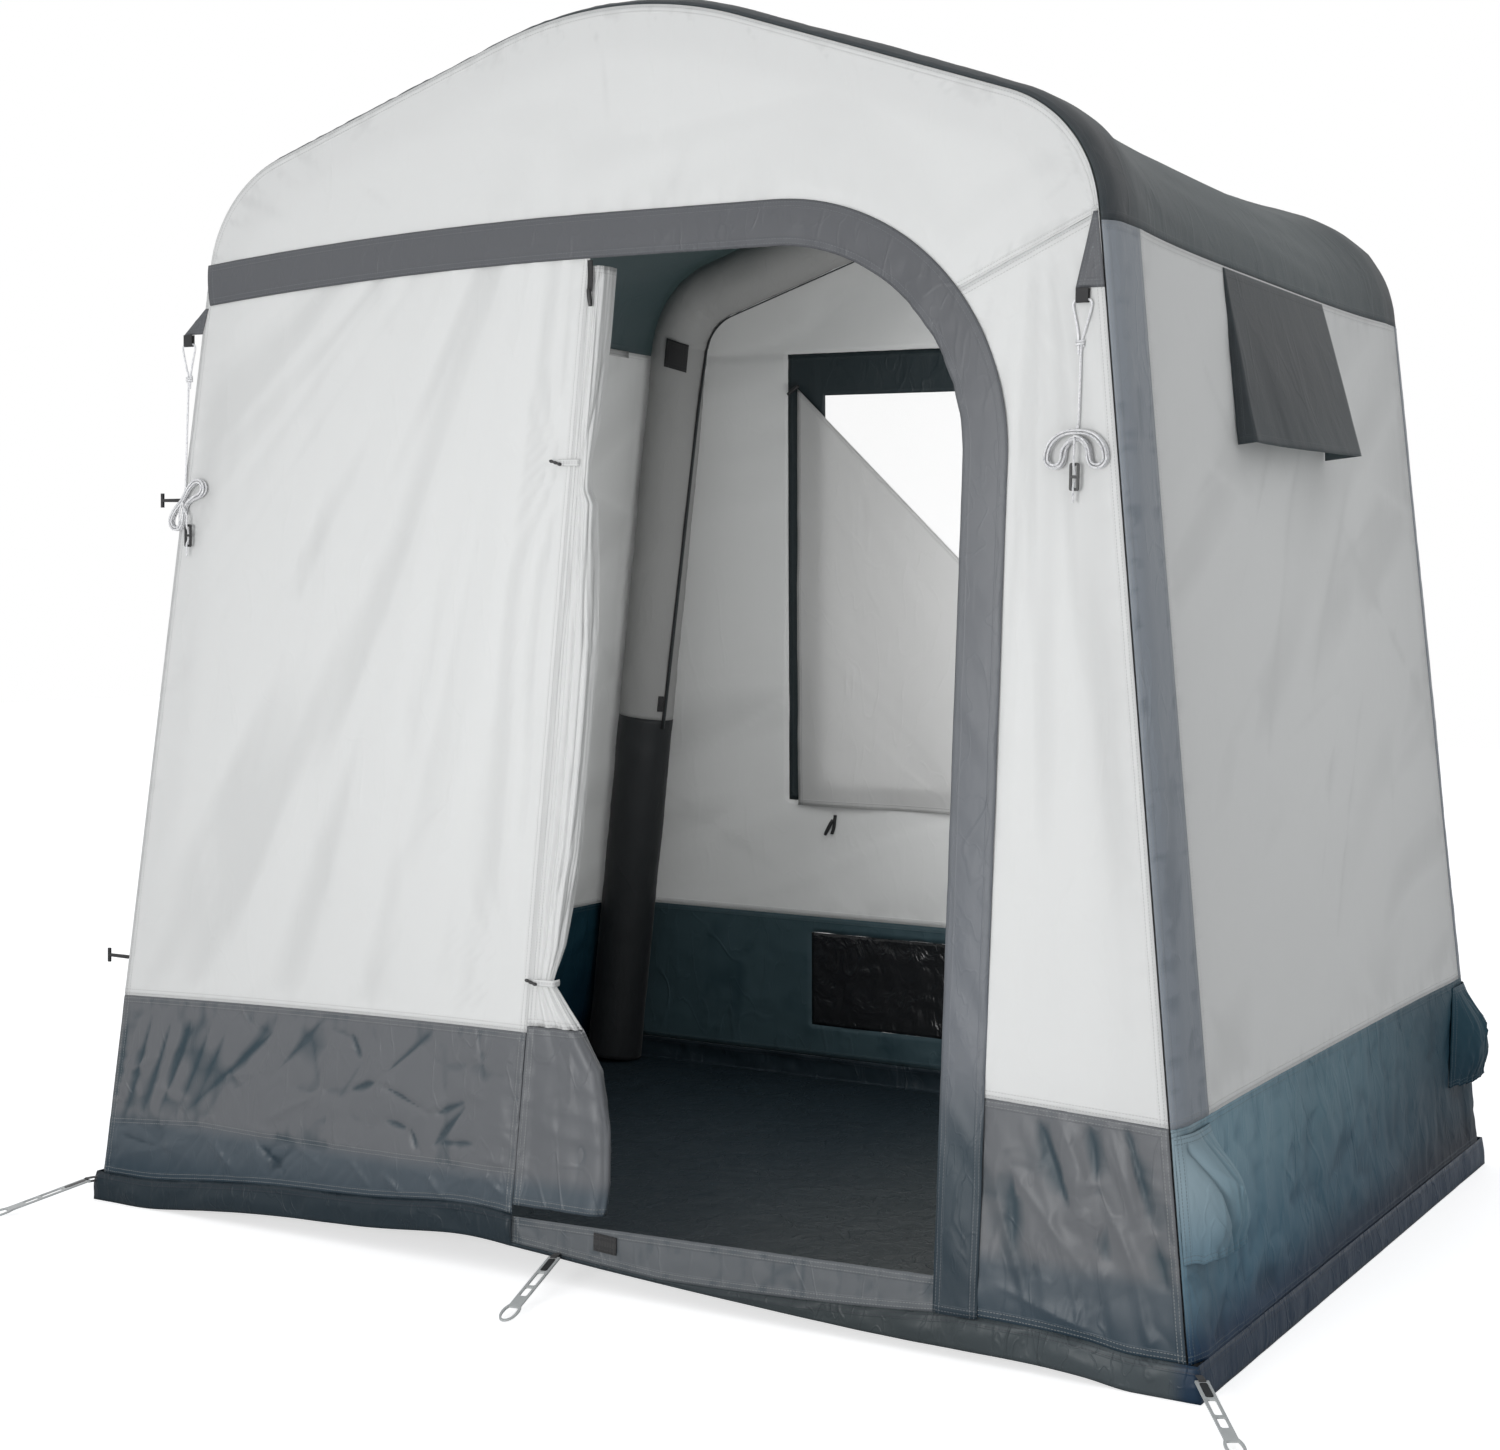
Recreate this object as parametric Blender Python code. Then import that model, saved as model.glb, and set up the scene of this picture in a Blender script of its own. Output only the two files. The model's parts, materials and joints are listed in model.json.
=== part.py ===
# Inflatable storage tent: two air arches hold up a sewn shell with a drawn door, a rear window,
# a hooded side vent, guy lines and peg ladders.
# Metres. The origin is on the ground at the middle of the base, +X to the right as one faces
# the door, -Y out of the door, +Z up.

import math

import bpy
import numpy as np
from mathutils import Matrix, Vector

# Shell
half_width = 1.000          # foot of each side wall
half_depth = 0.810          # foot of the front and back walls
height = 1.965              # top of the ridge
wall_lean = 0.1195          # inward lean of the side walls, per metre of height
end_lean = 0.0384           # inward lean of the front and back, per metre of height
roof_slope = 0.335
ridge_radius = 0.70
shoulder_radius = 0.22
eave_height = 1.580         # seam of roof and side wall
skirt_height = 0.360        # seam of wall and dark skirt
skirt_rise = 0.022          # how far that seam arches up along the front
tub_height = 0.050          # turned-up edge of the groundsheet
base_lift = 0.052           # how far the front edge of the base stands off the ground, at most
base_profile = [            # that lift along the front, in shares of the half width and of the most
    (-1.0, 0.0), (-0.90, 0.0), (-0.84, 0.07), (-0.73, 0.31), (-0.60, 0.52), (-0.40, 0.70), (-0.22, 1.0),
    (-0.09, 0.88), (0.06, 0.69), (0.26, 0.49), (0.51, 0.30), (0.73, 0.26), (0.83, 0.17), (0.90, 0.0),
    (1.0, 0.0)]
front_steps = 24            # steps of the tub along the front
base_curl = 0.300           # depth over which the floor curls up to that edge
edge_inset = 0.016          # how far the cloth is drawn in at the front and back seams
edge_width = 0.050
roof_sag = 0.022
shoulder_sag = 0.028
wall_sag = 0.014
band_width_front = 0.120    # dark bands on the side walls, over the arch legs
band_width_rear = 0.060
cloth = 0.003
gap = 0.0003
tub_gap = 0.0013            # play over the tub edge, whose curve the panels follow in other steps

# Air arches
beam_radius = 0.0625
beam_seat = 0.0005          # slack between an arch and the cloth around it
sleeve_cloth = 0.002
bladder_wall = 0.0015
bladder_slack = 0.0004
beam_foot = 0.0222          # height of the foot of an arch
boot_height = 0.795         # top of the black lower part of a sleeve
beam_sides = 12
bladder_sides = 8

# Door opening and the storm flap over its zip
zip_x = 0.640
head_height = 1.605
head_drop = 0.060           # fall of the door head towards the left corner, per square metre
corner_radius = 0.350
flap_half_width = 0.034
flap_cloth = 0.0025
flap_foot = 0.062
seam_start_angle = 40.0     # place on the door corner where the gable seam begins, in degrees
seam_end_height = 1.590
door_edge_foot = -0.118     # edge of the hanging part of the door at the hem and at the head
door_edge_head = -0.030
sill_left_top = 0.094
sill_right_top = 0.113
sill_seat = 0.006           # height of the tub edge under the sill, at the left and at the right end
sill_seat_right = 0.050
sill_seat_start = 0.150     # where that edge begins to rise

# Gathered door
door_hem = 0.034            # turned-back edge of the fixed cloth that the gathered door is sewn to
roll_top = 1.560
roll_hem = 0.112
roll_skirt_seam = 0.392
roll_half_depth = 0.026
roll_points = 24
roll_folds = 5
toggle_heights = (1.261, 0.462)
door_strap_stand = 0.0036   # a toggle's strap round the free edge: play, depth behind it and length
door_strap_depth = 0.014
door_strap_length = 0.030
door_strap_half = (0.0008, 0.0026)      # half thickness and half height
door_bar_width = 0.005
door_bar_half = (0.0017, 0.0110)

# Rear window, its curtain and the low hatch
window_half_width = 0.510
window_bottom = 0.615
window_border = 0.090
window_border_foot = 0.040
curtain_left = -0.480
curtain_right = 0.440
curtain_bottom = 0.605
curtain_top = 1.505
curtain_cloth = 0.004
curtain_fold = 0.007
hatch_half_width = 0.455
hatch_bottom = 0.120
hatch_top = 0.325

# Side vent and hood
vent_front = -0.190
vent_rear = 0.170
vent_bottom = 1.360
vent_top = 1.520
hood_front = -0.270
hood_rear = 0.290
hood_foot_rear = 0.225
hood_foot = 1.305
hood_reach_front = 0.028
hood_reach_rear = 0.062
hood_cloth = 0.002

# Valves and their flaps
valve_height = 0.265
valve_radius = 0.0125
valve_bore = 0.0085
valve_reach = 0.014
cap_radius = 0.0175
cap_length = 0.011
pocket_top = 0.350
pocket_length = 0.170
pocket_top_width = 0.110
pocket_foot_width = 0.200
pocket_bulge = 0.046
pocket_cloth = 0.002

# Guy lines
cord_diameter = 0.0032
guy_x = {"right": 0.777, "left": -0.832}
guy_tab_foot = {"right": (0.765, 0.807), "left": (-0.846, -0.806)}
guy_loop_height = 1.470
guy_strap_width = 0.018
guy_knot_height = 1.408
hank_top = {"right": 1.300, "left": 1.218}
hank_tilt = {"right": 0.0, "left": -50.0}
hank_bend = {"right": (0.0310, 90.0), "left": (0.0900, 24.0)}   # radius and half angle of the bundle
hank_turns = 6
hank_layer_step = 0.0039
hank_waist = (0.0021, 0.0062)
hank_lobe = (0.0098, 0.0142)
loop_points = 24
runner_height = 0.038
runner_width = 0.014
runner_thickness = 0.003
runner_bar = 0.004
runner_cord_shift = 0.0034
runner_fall = 0.036         # from the cord's exit of the hank to the top of the runner
runner_shift = {"right": 0.0, "left": 0.016}
tail_length = 0.016
guy_tab_top = {"right": 1.590, "left": 1.529}

# Peg ladders
ladder_length = 0.178
ladder_width = 0.019
ladder_thickness = 0.003
ladder_rail = 0.0026
ladder_ring = 0.0135
ladder_height = 0.036       # height of the webbing tab that holds it
ladder_tab = 0.010          # width of that tab
ladder_rise = 0.25          # share of the base edge's lift that the tab follows
webbing = 0.0012
fold_gap = 0.0052

roof_angle = math.atan(roof_slope)
leg_angle = math.atan(wall_lean)
shoulder_turn = math.pi / 2 - leg_angle - roof_angle
sharp_ridge = height - ridge_radius + ridge_radius / math.cos(roof_angle)
shoulder_z = (sharp_ridge - roof_slope * half_width) / (1 - roof_slope * wall_lean)
shoulder_x = half_width - wall_lean * shoulder_z
shoulder_cut = shoulder_radius * math.tan(shoulder_turn / 2)
ridge_arc = ridge_radius * roof_angle
roof_run = (shoulder_x - ridge_radius * math.sin(roof_angle)) / math.cos(roof_angle) - shoulder_cut
shoulder_start = ridge_arc + roof_run
shoulder_end = shoulder_start + shoulder_radius * shoulder_turn
half_length = shoulder_end + shoulder_z / math.cos(leg_angle) - shoulder_cut
full_depth = 2 * half_depth
beam_zone = 2 * beam_radius
seam = (cloth + gap) * half_depth / (half_depth - end_lean * height)


def material(name, color, roughness, alpha=1.0):
    made = bpy.data.materials.new(name)
    made.use_nodes = True
    shader = made.node_tree.nodes["Principled BSDF"]
    shader.inputs["Base Color"].default_value = (*color, 1.0)
    shader.inputs["Roughness"].default_value = roughness
    shader.inputs["Alpha"].default_value = alpha
    return made


def outline(s, inset=0.0):
    """Point and outward normal of the arch outline, s metres along it from the ridge."""
    a = np.abs(np.asarray(s, float))
    side = np.where(np.asarray(s) < 0, -1.0, 1.0)
    ridge = np.clip(a / ridge_radius, 0, roof_angle)
    slope = np.clip(a - ridge_arc, 0, roof_run)
    turn = np.clip((a - shoulder_start) / shoulder_radius, 0, shoulder_turn)
    leg = np.clip(a - shoulder_end, 0, None)
    x = ridge_radius * np.sin(ridge) + slope * math.cos(roof_angle)
    x = x + shoulder_radius * (np.sin(roof_angle + turn) - math.sin(roof_angle))
    x = x + leg * math.sin(leg_angle)
    z = height - ridge_radius * (1 - np.cos(ridge)) - slope * math.sin(roof_angle)
    z = z - shoulder_radius * (math.cos(roof_angle) - np.cos(roof_angle + turn))
    z = z - leg * math.cos(leg_angle)
    heading = ridge + turn
    nx = np.sin(heading)
    nz = np.cos(heading)
    return side * (x - inset * nx), z - inset * nz, side * nx, nz


def leg_s(z):
    """Distance along the outline of a height on the straight leg."""
    return half_length - z / math.cos(leg_angle)


def front_y(z):
    return -(half_depth - end_lean * np.asarray(z, float))


def back_y(z):
    return -front_y(z)


def sag(s):
    a = np.abs(s)
    knots = [0, shoulder_start, (shoulder_start + shoulder_end) / 2, leg_s(eave_height),
             (leg_s(eave_height) + half_length) / 2, half_length]
    depths = [roof_sag, roof_sag, shoulder_sag, wall_sag, wall_sag, 0]
    return np.interp(a, knots, depths)


def skin(s, t, inset=0.0):
    """Point of the shell, s along the arch and t back from the front plane, moved inward by inset."""
    s, t = np.broadcast_arrays(np.asarray(s, float), np.asarray(t, float))
    edge = np.minimum(t, full_depth - t)
    drawn = edge_inset * (1 - np.clip(edge / edge_width, 0, 1)) ** 2
    across = np.clip((t - beam_zone) / (full_depth - 2 * beam_zone), 0, 1)
    hang = sag(s) * (1 - (2 * across - 1) ** 4)
    x, z, nx, nz = outline(s, drawn + hang + inset)
    y = front_y(z) * (1 - t / half_depth)
    return np.stack([x, y, z], -1)


def lift(x):
    """Height of the lifted front edge of the base above the ground."""
    curve = smooth_line(base_profile, 120)
    share = np.interp(np.asarray(x, float) / half_width, curve[:, 0], curve[:, 1])
    return base_lift * np.clip(share, 0, None)


def floor_z(x, y):
    curl = np.clip((-np.asarray(y, float) - (half_depth - base_curl)) / base_curl, 0, 1) ** 2
    return lift(x) * curl


def rim(s):
    """Edge of the flat front and back cloth, in x and z."""
    x, z, nx, nz = outline(s, edge_inset)
    return np.stack([x, z], -1)


def rim_at(z, side):
    """The same edge on a leg, from its height. The inset moves points along the slanted normal."""
    z = np.asarray(z, float)
    x = half_width - wall_lean * z - edge_inset / math.cos(leg_angle)
    return np.stack([side * x, z], -1)


def skirt_line(x):
    return skirt_height + skirt_rise * (1 - np.clip(np.abs(x) / (half_width - 0.05), 0, 1) ** 2)


def head_line(x):
    return head_height - head_drop * np.minimum(np.asarray(x, float), 0) ** 2


def door_edge(z):
    """Right edge of the fixed part of the door cloth."""
    share = (np.asarray(z, float) - roll_hem) / (roll_top - roll_hem)
    return door_edge_foot + (door_edge_head - door_edge_foot) * share


def solid(name, points, faces, finish, smooth=True):
    """One closed body from points and faces, with its faces turned outward."""
    mesh = bpy.data.meshes.new(name)
    mesh.from_pydata([tuple(p) for p in points], [], faces)
    mesh.validate()
    mesh.update()
    signed = 0.0
    for face in mesh.polygons:
        first = mesh.vertices[face.vertices[0]].co
        for k in range(1, len(face.vertices) - 1):
            second = mesh.vertices[face.vertices[k]].co
            third = mesh.vertices[face.vertices[k + 1]].co
            signed += first.dot(second.cross(third))
    if signed < 0:
        mesh.flip_normals()
    if smooth:
        mesh.shade_smooth()
        mesh.set_sharp_from_angle(angle=math.radians(35))
    mesh.materials.append(finish)
    made = bpy.data.objects.new(name, mesh)
    bpy.context.scene.collection.objects.link(made)
    return made


def sheet(name, outer, inner, finish, hole=None):
    """Closed sheet between two grids of points. hole is the range of cells left open."""
    rows, columns = outer.shape[:2]
    keep = np.ones((rows - 1, columns - 1), bool)
    if hole:
        keep[hole[0]:hole[1], hole[2]:hole[3]] = False
    points = np.concatenate([outer.reshape(-1, 3), inner.reshape(-1, 3)])
    back = rows * columns
    faces = []

    def at(i, j):
        return i * columns + j

    def kept(i, j):
        return 0 <= i < rows - 1 and 0 <= j < columns - 1 and keep[i, j]

    for i in range(rows - 1):
        for j in range(columns - 1):
            if not keep[i, j]:
                continue
            a, b, c, d = at(i, j), at(i, j + 1), at(i + 1, j + 1), at(i + 1, j)
            faces.append((a, b, c, d))
            faces.append((a + back, d + back, c + back, b + back))
            if not kept(i - 1, j):
                faces.append((b, a, a + back, b + back))
            if not kept(i + 1, j):
                faces.append((d, c, c + back, d + back))
            if not kept(i, j - 1):
                faces.append((a, d, d + back, a + back))
            if not kept(i, j + 1):
                faces.append((c, b, b + back, c + back))
    used = sorted({k for face in faces for k in face})
    place = {k: n for n, k in enumerate(used)}
    faces = [tuple(place[k] for k in face) for face in faces]
    return solid(name, points[used], faces, finish)


def rings(name, loops, finish, closed=False):
    """Body carried through rings of equal count, capped at both ends or joined end to end."""
    loops = np.asarray(loops)
    count, sides = loops.shape[:2]
    faces = []
    for i in range(count if closed else count - 1):
        a = i * sides
        b = (i + 1) % count * sides
        for j in range(sides):
            k = (j + 1) % sides
            faces.append((a + j, a + k, b + k, b + j))
    if not closed:
        faces.append(tuple(range(sides - 1, -1, -1)))
        faces.append(tuple((count - 1) * sides + j for j in range(sides)))
    return solid(name, loops.reshape(-1, 3), faces, finish)


def shell_panel(name, s_values, t_values, finish, hole=None):
    s, t = np.meshgrid(s_values, t_values, indexing="ij")
    return sheet(name, skin(s, t), skin(s, t, cloth), finish, hole)


def flat_grid(grid, y_of_z, shift):
    """Points of an x, z grid laid on the front or back plane, shifted along Y."""
    return np.stack([grid[..., 0], y_of_z(grid[..., 1]) + shift, grid[..., 1]], -1)


def front_panel(name, grid, finish, out=0.0, thickness=cloth):
    outer = flat_grid(grid, front_y, -out)
    return sheet(name, outer, outer + (0, thickness, 0), finish)


def back_panel(name, grid, finish, inside=0.0, thickness=cloth, hole=None):
    """inside is the distance of the sheet's outer face in from the back plane."""
    outer = flat_grid(grid, back_y, -inside)
    return sheet(name, outer, outer - (0, thickness, 0), finish, hole)


def between(lower, upper, rows):
    share = np.linspace(0, 1, rows)[None, :, None]
    return lower[:, None, :] * (1 - share) + upper[:, None, :] * share


def spaced(points, count):
    """The same number of equal steps along a line of points."""
    length = np.concatenate([[0], np.cumsum(np.linalg.norm(np.diff(points, axis=0), axis=1))])
    wanted = np.linspace(0, length[-1], count)
    return np.stack([np.interp(wanted, length, points[:, k]) for k in range(points.shape[1])], -1)


def prism(name, polygon, place, thickness, finish):
    """Flat plate: the polygon in the first two axes of place, thick along the third, from zero."""
    count = len(polygon)
    lower = [place @ Vector((x, y, 0)) for x, y in polygon]
    upper = [place @ Vector((x, y, thickness)) for x, y in polygon]
    faces = [tuple(range(count)), tuple(range(2 * count - 1, count - 1, -1))]
    for k in range(count):
        n = (k + 1) % count
        faces.append((k, k + count, n + count, n))
    return solid(name, np.array(lower + upper), faces, finish, smooth=False)


def frame(origin, first, second):
    """Matrix with its axes along first, second and their cross product."""
    x = Vector(first).normalized()
    z = x.cross(Vector(second)).normalized()
    y = z.cross(x)
    placed = Matrix((x, y, z)).transposed().to_4x4()
    placed.translation = Vector(origin)
    return placed


def on_axis(thing, pivot):
    """Moves an object's origin to its joint without moving its shape."""
    thing.data.transform(Matrix.Translation(-Vector(pivot)))
    thing.location = pivot
    return thing


def cord(name, points, finish, resolution=2):
    line = bpy.data.curves.new(name, "CURVE")
    line.dimensions = "3D"
    line.bevel_depth = cord_diameter / 2
    line.bevel_resolution = resolution
    line.use_fill_caps = True
    spline = line.splines.new("POLY")
    spline.points.add(len(points) - 1)
    for target, point in zip(spline.points, points):
        target.co = (*point, 1.0)
    line.materials.append(finish)
    made = bpy.data.objects.new(name, line)
    bpy.context.scene.collection.objects.link(made)
    return made


def smooth_line(points, count):
    """Even points on a smooth curve through a few chosen ones."""
    p = np.asarray(points, float)
    ends = np.concatenate([[2 * p[0] - p[1]], p, [2 * p[-1] - p[-2]]])
    fine = []
    for k in range(len(p) - 1):
        a, b, c, d = ends[k:k + 4]
        for u in np.linspace(0, 1, 12, endpoint=False):
            fine.append(0.5 * (2 * b + (c - a) * u + (2 * a - 5 * b + 4 * c - d) * u ** 2
                               + (3 * b - a - 3 * c + d) * u ** 3))
    fine.append(p[-1])
    return spaced(np.array(fine), count)


def clear_scene():
    for thing in list(bpy.data.objects):
        bpy.data.objects.remove(thing, do_unlink=True)


def front_stations():
    """Places along the front edge that the tub shares with the panels on it."""
    doorway = [door_edge_foot - gap, door_edge_foot + gap, zip_x - gap, zip_x + gap]
    return np.unique(np.concatenate([np.linspace(-1, 1, front_steps + 1) * half_width, doorway]))


def stations_within(left, right):
    """Two ends of a panel's lower edge, and the tub's stations well inside them."""
    stations = front_stations()
    margin = 0.25 * half_width / front_steps
    inner = stations[(stations > left + margin) & (stations < right - margin)]
    return np.concatenate([[left], inner, [right]])


def base_loop():
    """Corner of the tub at each station round the base, as x and y shares of its half sizes."""
    front = front_stations()[:-1] / half_width
    side = np.linspace(-1, 1, 7)[:-1]
    back = np.linspace(1, -1, 9)[:-1]
    loop = [(x, -1.0) for x in front]
    loop += [(1.0, y) for y in side]
    loop += [(x, 1.0) for x in back]
    loop += [(-1.0, -y) for y in side]
    return np.array(loop)


def sill_foot(x):
    """Height of the tub edge above its own base under the sill, rising towards the right."""
    share = np.clip((x - sill_seat_start) / (zip_x - sill_seat_start), 0, 1)
    return sill_seat + (sill_seat_right - sill_seat) * share ** 1.15


def tub_top(x, y_share):
    """Height of the tub edge above its own base: low under the sill, full elsewhere."""
    doorway = (x > door_edge_foot) & (x < zip_x) & (y_share < -0.999)
    return np.where(doorway, sill_foot(x), tub_height)


def build_groundsheet(finish):
    loop = base_loop()

    def ring(share, up, inset):
        x = loop[:, 0] * half_width * share
        y = loop[:, 1] * half_depth * share
        z = floor_z(x, y) + up
        x = x - np.sign(x) * np.abs(loop[:, 0]) ** 12 * (inset + wall_lean * z) * share
        y = y - np.sign(y) * np.abs(loop[:, 1]) ** 12 * (inset + end_lean * z) * share
        return np.stack([x, y, z], -1)

    top = tub_top(loop[:, 0] * half_width, loop[:, 1])
    shares = (0.35, 0.72, 0.90)
    loops = [ring(0.0, cloth, cloth)[:1]]
    loops += [ring(share, cloth, cloth) for share in shares]
    loops += [ring(1.0, cloth, cloth), ring(1.0, top, cloth), ring(1.0, top, 0.0), ring(1.0, 0.0, 0.0)]
    loops += [ring(share, 0.0, cloth) for share in reversed(shares)]
    loops += [ring(0.0, 0.0, cloth)[:1]]
    count = len(loop)
    points = np.concatenate(loops)
    faces = []
    starts = np.cumsum([0] + [len(part) for part in loops])
    for k in range(len(loops) - 1):
        a, b = starts[k], starts[k + 1]
        for j in range(count):
            n = (j + 1) % count
            if k == 0:
                faces.append((a, b + j, b + n))
            elif k == len(loops) - 2:
                faces.append((a + j, b, a + n))
            else:
                faces.append((a + j, b + j, b + n, a + n))
    return solid("groundsheet", points, faces, finish)


def leg_heights(low, high, count):
    return leg_s(np.linspace(low, high, count))


def depth_stations(start, end, count):
    """Stations from front to back, closer together over the arches."""
    marks = [0.012, 0.028, edge_width, beam_zone, 0.21]
    near = [t for t in marks if start + 0.004 < t < end - 0.004]
    far = [full_depth - t for t in marks if start + 0.004 < full_depth - t < end - 0.004]
    middle = np.linspace(0.21, full_depth - 0.21, count)[1:-1]
    inner = [t for t in middle if start < t < end]
    return np.array(sorted([start, end, *near, *far, *inner]))


def arch_stations(end):
    """Stations along the arch from one leg to the other, shared by the roof and the sleeves."""
    half = [0.0, ridge_arc / 2, ridge_arc, ridge_arc + roof_run / 2]
    half += list(np.linspace(shoulder_start, shoulder_end, 6))
    half = [s for s in half if s < end - 0.01] + [end]
    return np.array([-s for s in reversed(half[1:])] + half)


def build_shell(white, dark, skirt):
    eave = leg_s(eave_height)
    depths = depth_stations(seam, full_depth - seam, 6)
    shell_panel("roof", arch_stations(eave), depths, dark)
    for side, name in ((-1, "left"), (1, "right")):
        low = side * leg_heights(tub_height + tub_gap, skirt_height - gap, 5)
        shell_panel("skirt_" + name, low, depths, skirt)
        bands = ((seam, band_width_front, "front"),
                 (full_depth - band_width_rear, full_depth - seam, "rear"))
        up = side * leg_heights(skirt_height, eave_height - gap, 9)
        for start, end, place in bands:
            stations = depth_stations(start, end, 6)
            shell_panel("leg_band_" + place + "_" + name, up, stations, dark)
        build_side_wall(name, side, white)


def build_side_wall(name, side, finish):
    start = band_width_front + gap
    end = full_depth - band_width_rear - gap
    heights = list(np.linspace(skirt_height, vent_bottom, 7)) + [vent_top, eave_height - gap]
    vent = [half_depth + vent_front, half_depth + vent_rear]
    hood = [half_depth + y for y in (hood_front, hood_foot_rear, hood_rear)]
    stations = sorted([start, beam_zone + 0.04, 0.30, 0.42, *hood, *vent, 1.24, 1.38, end])
    hole = None
    if side > 0:
        row = heights.index(vent_bottom)
        column = stations.index(vent[0])
        hole = (row, row + 1, column, column + 1)
    shell_panel("wall_" + name, side * leg_s(np.array(heights)), stations, finish, hole)


def zip_path(count=10):
    """Centre line of the door zip and its storm flap, from the left corner to the foot."""
    left = rim_at(head_line(-0.8), -1)[0] + 0.004
    head = [(x, float(head_line(x))) for x in np.linspace(left, zip_x - corner_radius, 12)]
    middle = (zip_x - corner_radius, head_height - corner_radius)
    angles = np.radians(np.linspace(90, 0, count))[1:]
    corner = [(middle[0] + corner_radius * math.cos(a), middle[1] + corner_radius * math.sin(a))
              for a in angles]
    down = [(zip_x, z) for z in np.linspace(middle[1], flap_foot, 5)[1:]]
    return np.array(head + corner + down)


def seam_start():
    angle = math.radians(seam_start_angle)
    middle = np.array([zip_x - corner_radius, head_height - corner_radius])
    return middle + corner_radius * np.array([math.cos(angle), math.sin(angle)])


def build_front(white, skirt, band):
    start = seam_start()
    shoulder = rim_at(seam_end_height, 1)
    path = zip_path(19)
    upper_half = path[path[:, 1] > start[1] + 0.001]
    upper_half = upper_half[upper_half[:, 0] < start[0]]
    lower = np.concatenate([upper_half, [start, shoulder]])
    lower[0] = rim_at(lower[0, 1], -1)
    upper = rim(np.linspace(-leg_s(lower[0, 1]), leg_s(seam_end_height), 61))
    grid = between(spaced(lower, 31), spaced(upper, 31), 3)
    grid[0, :] = grid[0, 0]
    grid[0, :, 1] += np.linspace(0, 0.004, 3)
    grid[-1, :] = grid[-1, 0]
    grid[-1, :, 1] += np.linspace(0, 0.004, 3)
    front_panel("gable_front", grid, white)

    rest = path[path[:, 1] < start[1] - 0.001]
    rest = rest[rest[:, 0] > zip_x - corner_radius]
    rest = rest[rest[:, 1] > skirt_line(zip_x) + 0.01]
    foot = (zip_x, float(skirt_line(zip_x)) + gap)
    inner = spaced(np.concatenate([[start], rest, [foot]]), 15)
    outer = rim_at(np.linspace(seam_end_height, float(skirt_line(0.94)) + gap, 15), 1)
    inner[0] += (0.0004, -0.0006)
    outer[0] += (0, -0.0006)
    front_panel("front_wall_right", between(inner, outer, 3), white)

    heights = np.linspace(0, 1, 12)
    columns = 8
    grid = np.zeros((12, columns, 2))
    low = skirt_line(door_edge(skirt_height)) + gap
    high = head_line(door_edge(head_height)) - gap
    for k, share in enumerate(np.linspace(0, 1, columns)):
        for i, up in enumerate(heights):
            left_x = rim_at(skirt_height + up * (head_line(-0.8) - skirt_height), -1)[0]
            right_x = door_edge(low + up * (high - low)) - gap
            x = left_x + share * (right_x - left_x)
            bottom, top = skirt_line(x) + gap, head_line(x) - gap
            grid[i, k] = (x, bottom + up * (top - bottom))
    outer = flat_grid(grid, front_y, 0)
    inner = outer + (0, cloth, 0)
    inner[:, -1, 0] -= cloth
    hem = door_hem * np.array([0, 1, 0])
    outer = np.concatenate([outer, outer[:, -1:] + hem], 1)
    inner = np.concatenate([inner, inner[:, -1:] + hem - (0, cloth, 0)], 1)
    sheet("front_wall_left", outer, inner, white)

    def lower_panel(name, trim_left, trim_right):
        foot = stations_within(trim_left(0), trim_right(0))
        shares = (foot - foot[0]) / (foot[-1] - foot[0])
        grid = np.zeros((len(shares), 4, 2))
        for i, share in enumerate(shares):
            for j, up in enumerate(np.linspace(0, 1, 4)):
                left_x = trim_left(up)
                right_x = trim_right(up)
                x = left_x + share * (right_x - left_x)
                low = lift(x) + tub_height + tub_gap
                grid[i, j] = (x, low + up * (skirt_line(x) - gap - low))
        front_panel(name, grid, skirt)

    def corner_x(side):
        def at(up):
            return rim_at(tub_height + up * (skirt_height - tub_height), side)[0]
        return at

    lower_panel("skirt_front_left", corner_x(-1), lambda up: door_edge_foot - gap)
    lower_panel("skirt_front_right", lambda up: zip_x, corner_x(1))

    xs = stations_within(door_edge_foot + 2 * gap, zip_x - 2 * gap)
    share = (xs - xs[0]) / (xs[-1] - xs[0])
    low = np.stack([xs, lift(xs) + sill_foot(xs) + tub_gap], -1)
    high = np.stack([xs, sill_left_top + share * (sill_right_top - sill_left_top)], -1)
    front_panel("door_sill", between(low, high, 3), skirt)

    path = spaced(zip_path(10), 40)
    along = np.gradient(path, axis=0)
    along /= np.linalg.norm(along, axis=1)[:, None]
    across = np.stack([-along[:, 1], along[:, 0]], -1)
    grid = between(path - flap_half_width * across, path + flap_half_width * across, 2)
    front_panel("storm_flap", grid, band, gap + flap_cloth, flap_cloth)


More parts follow.
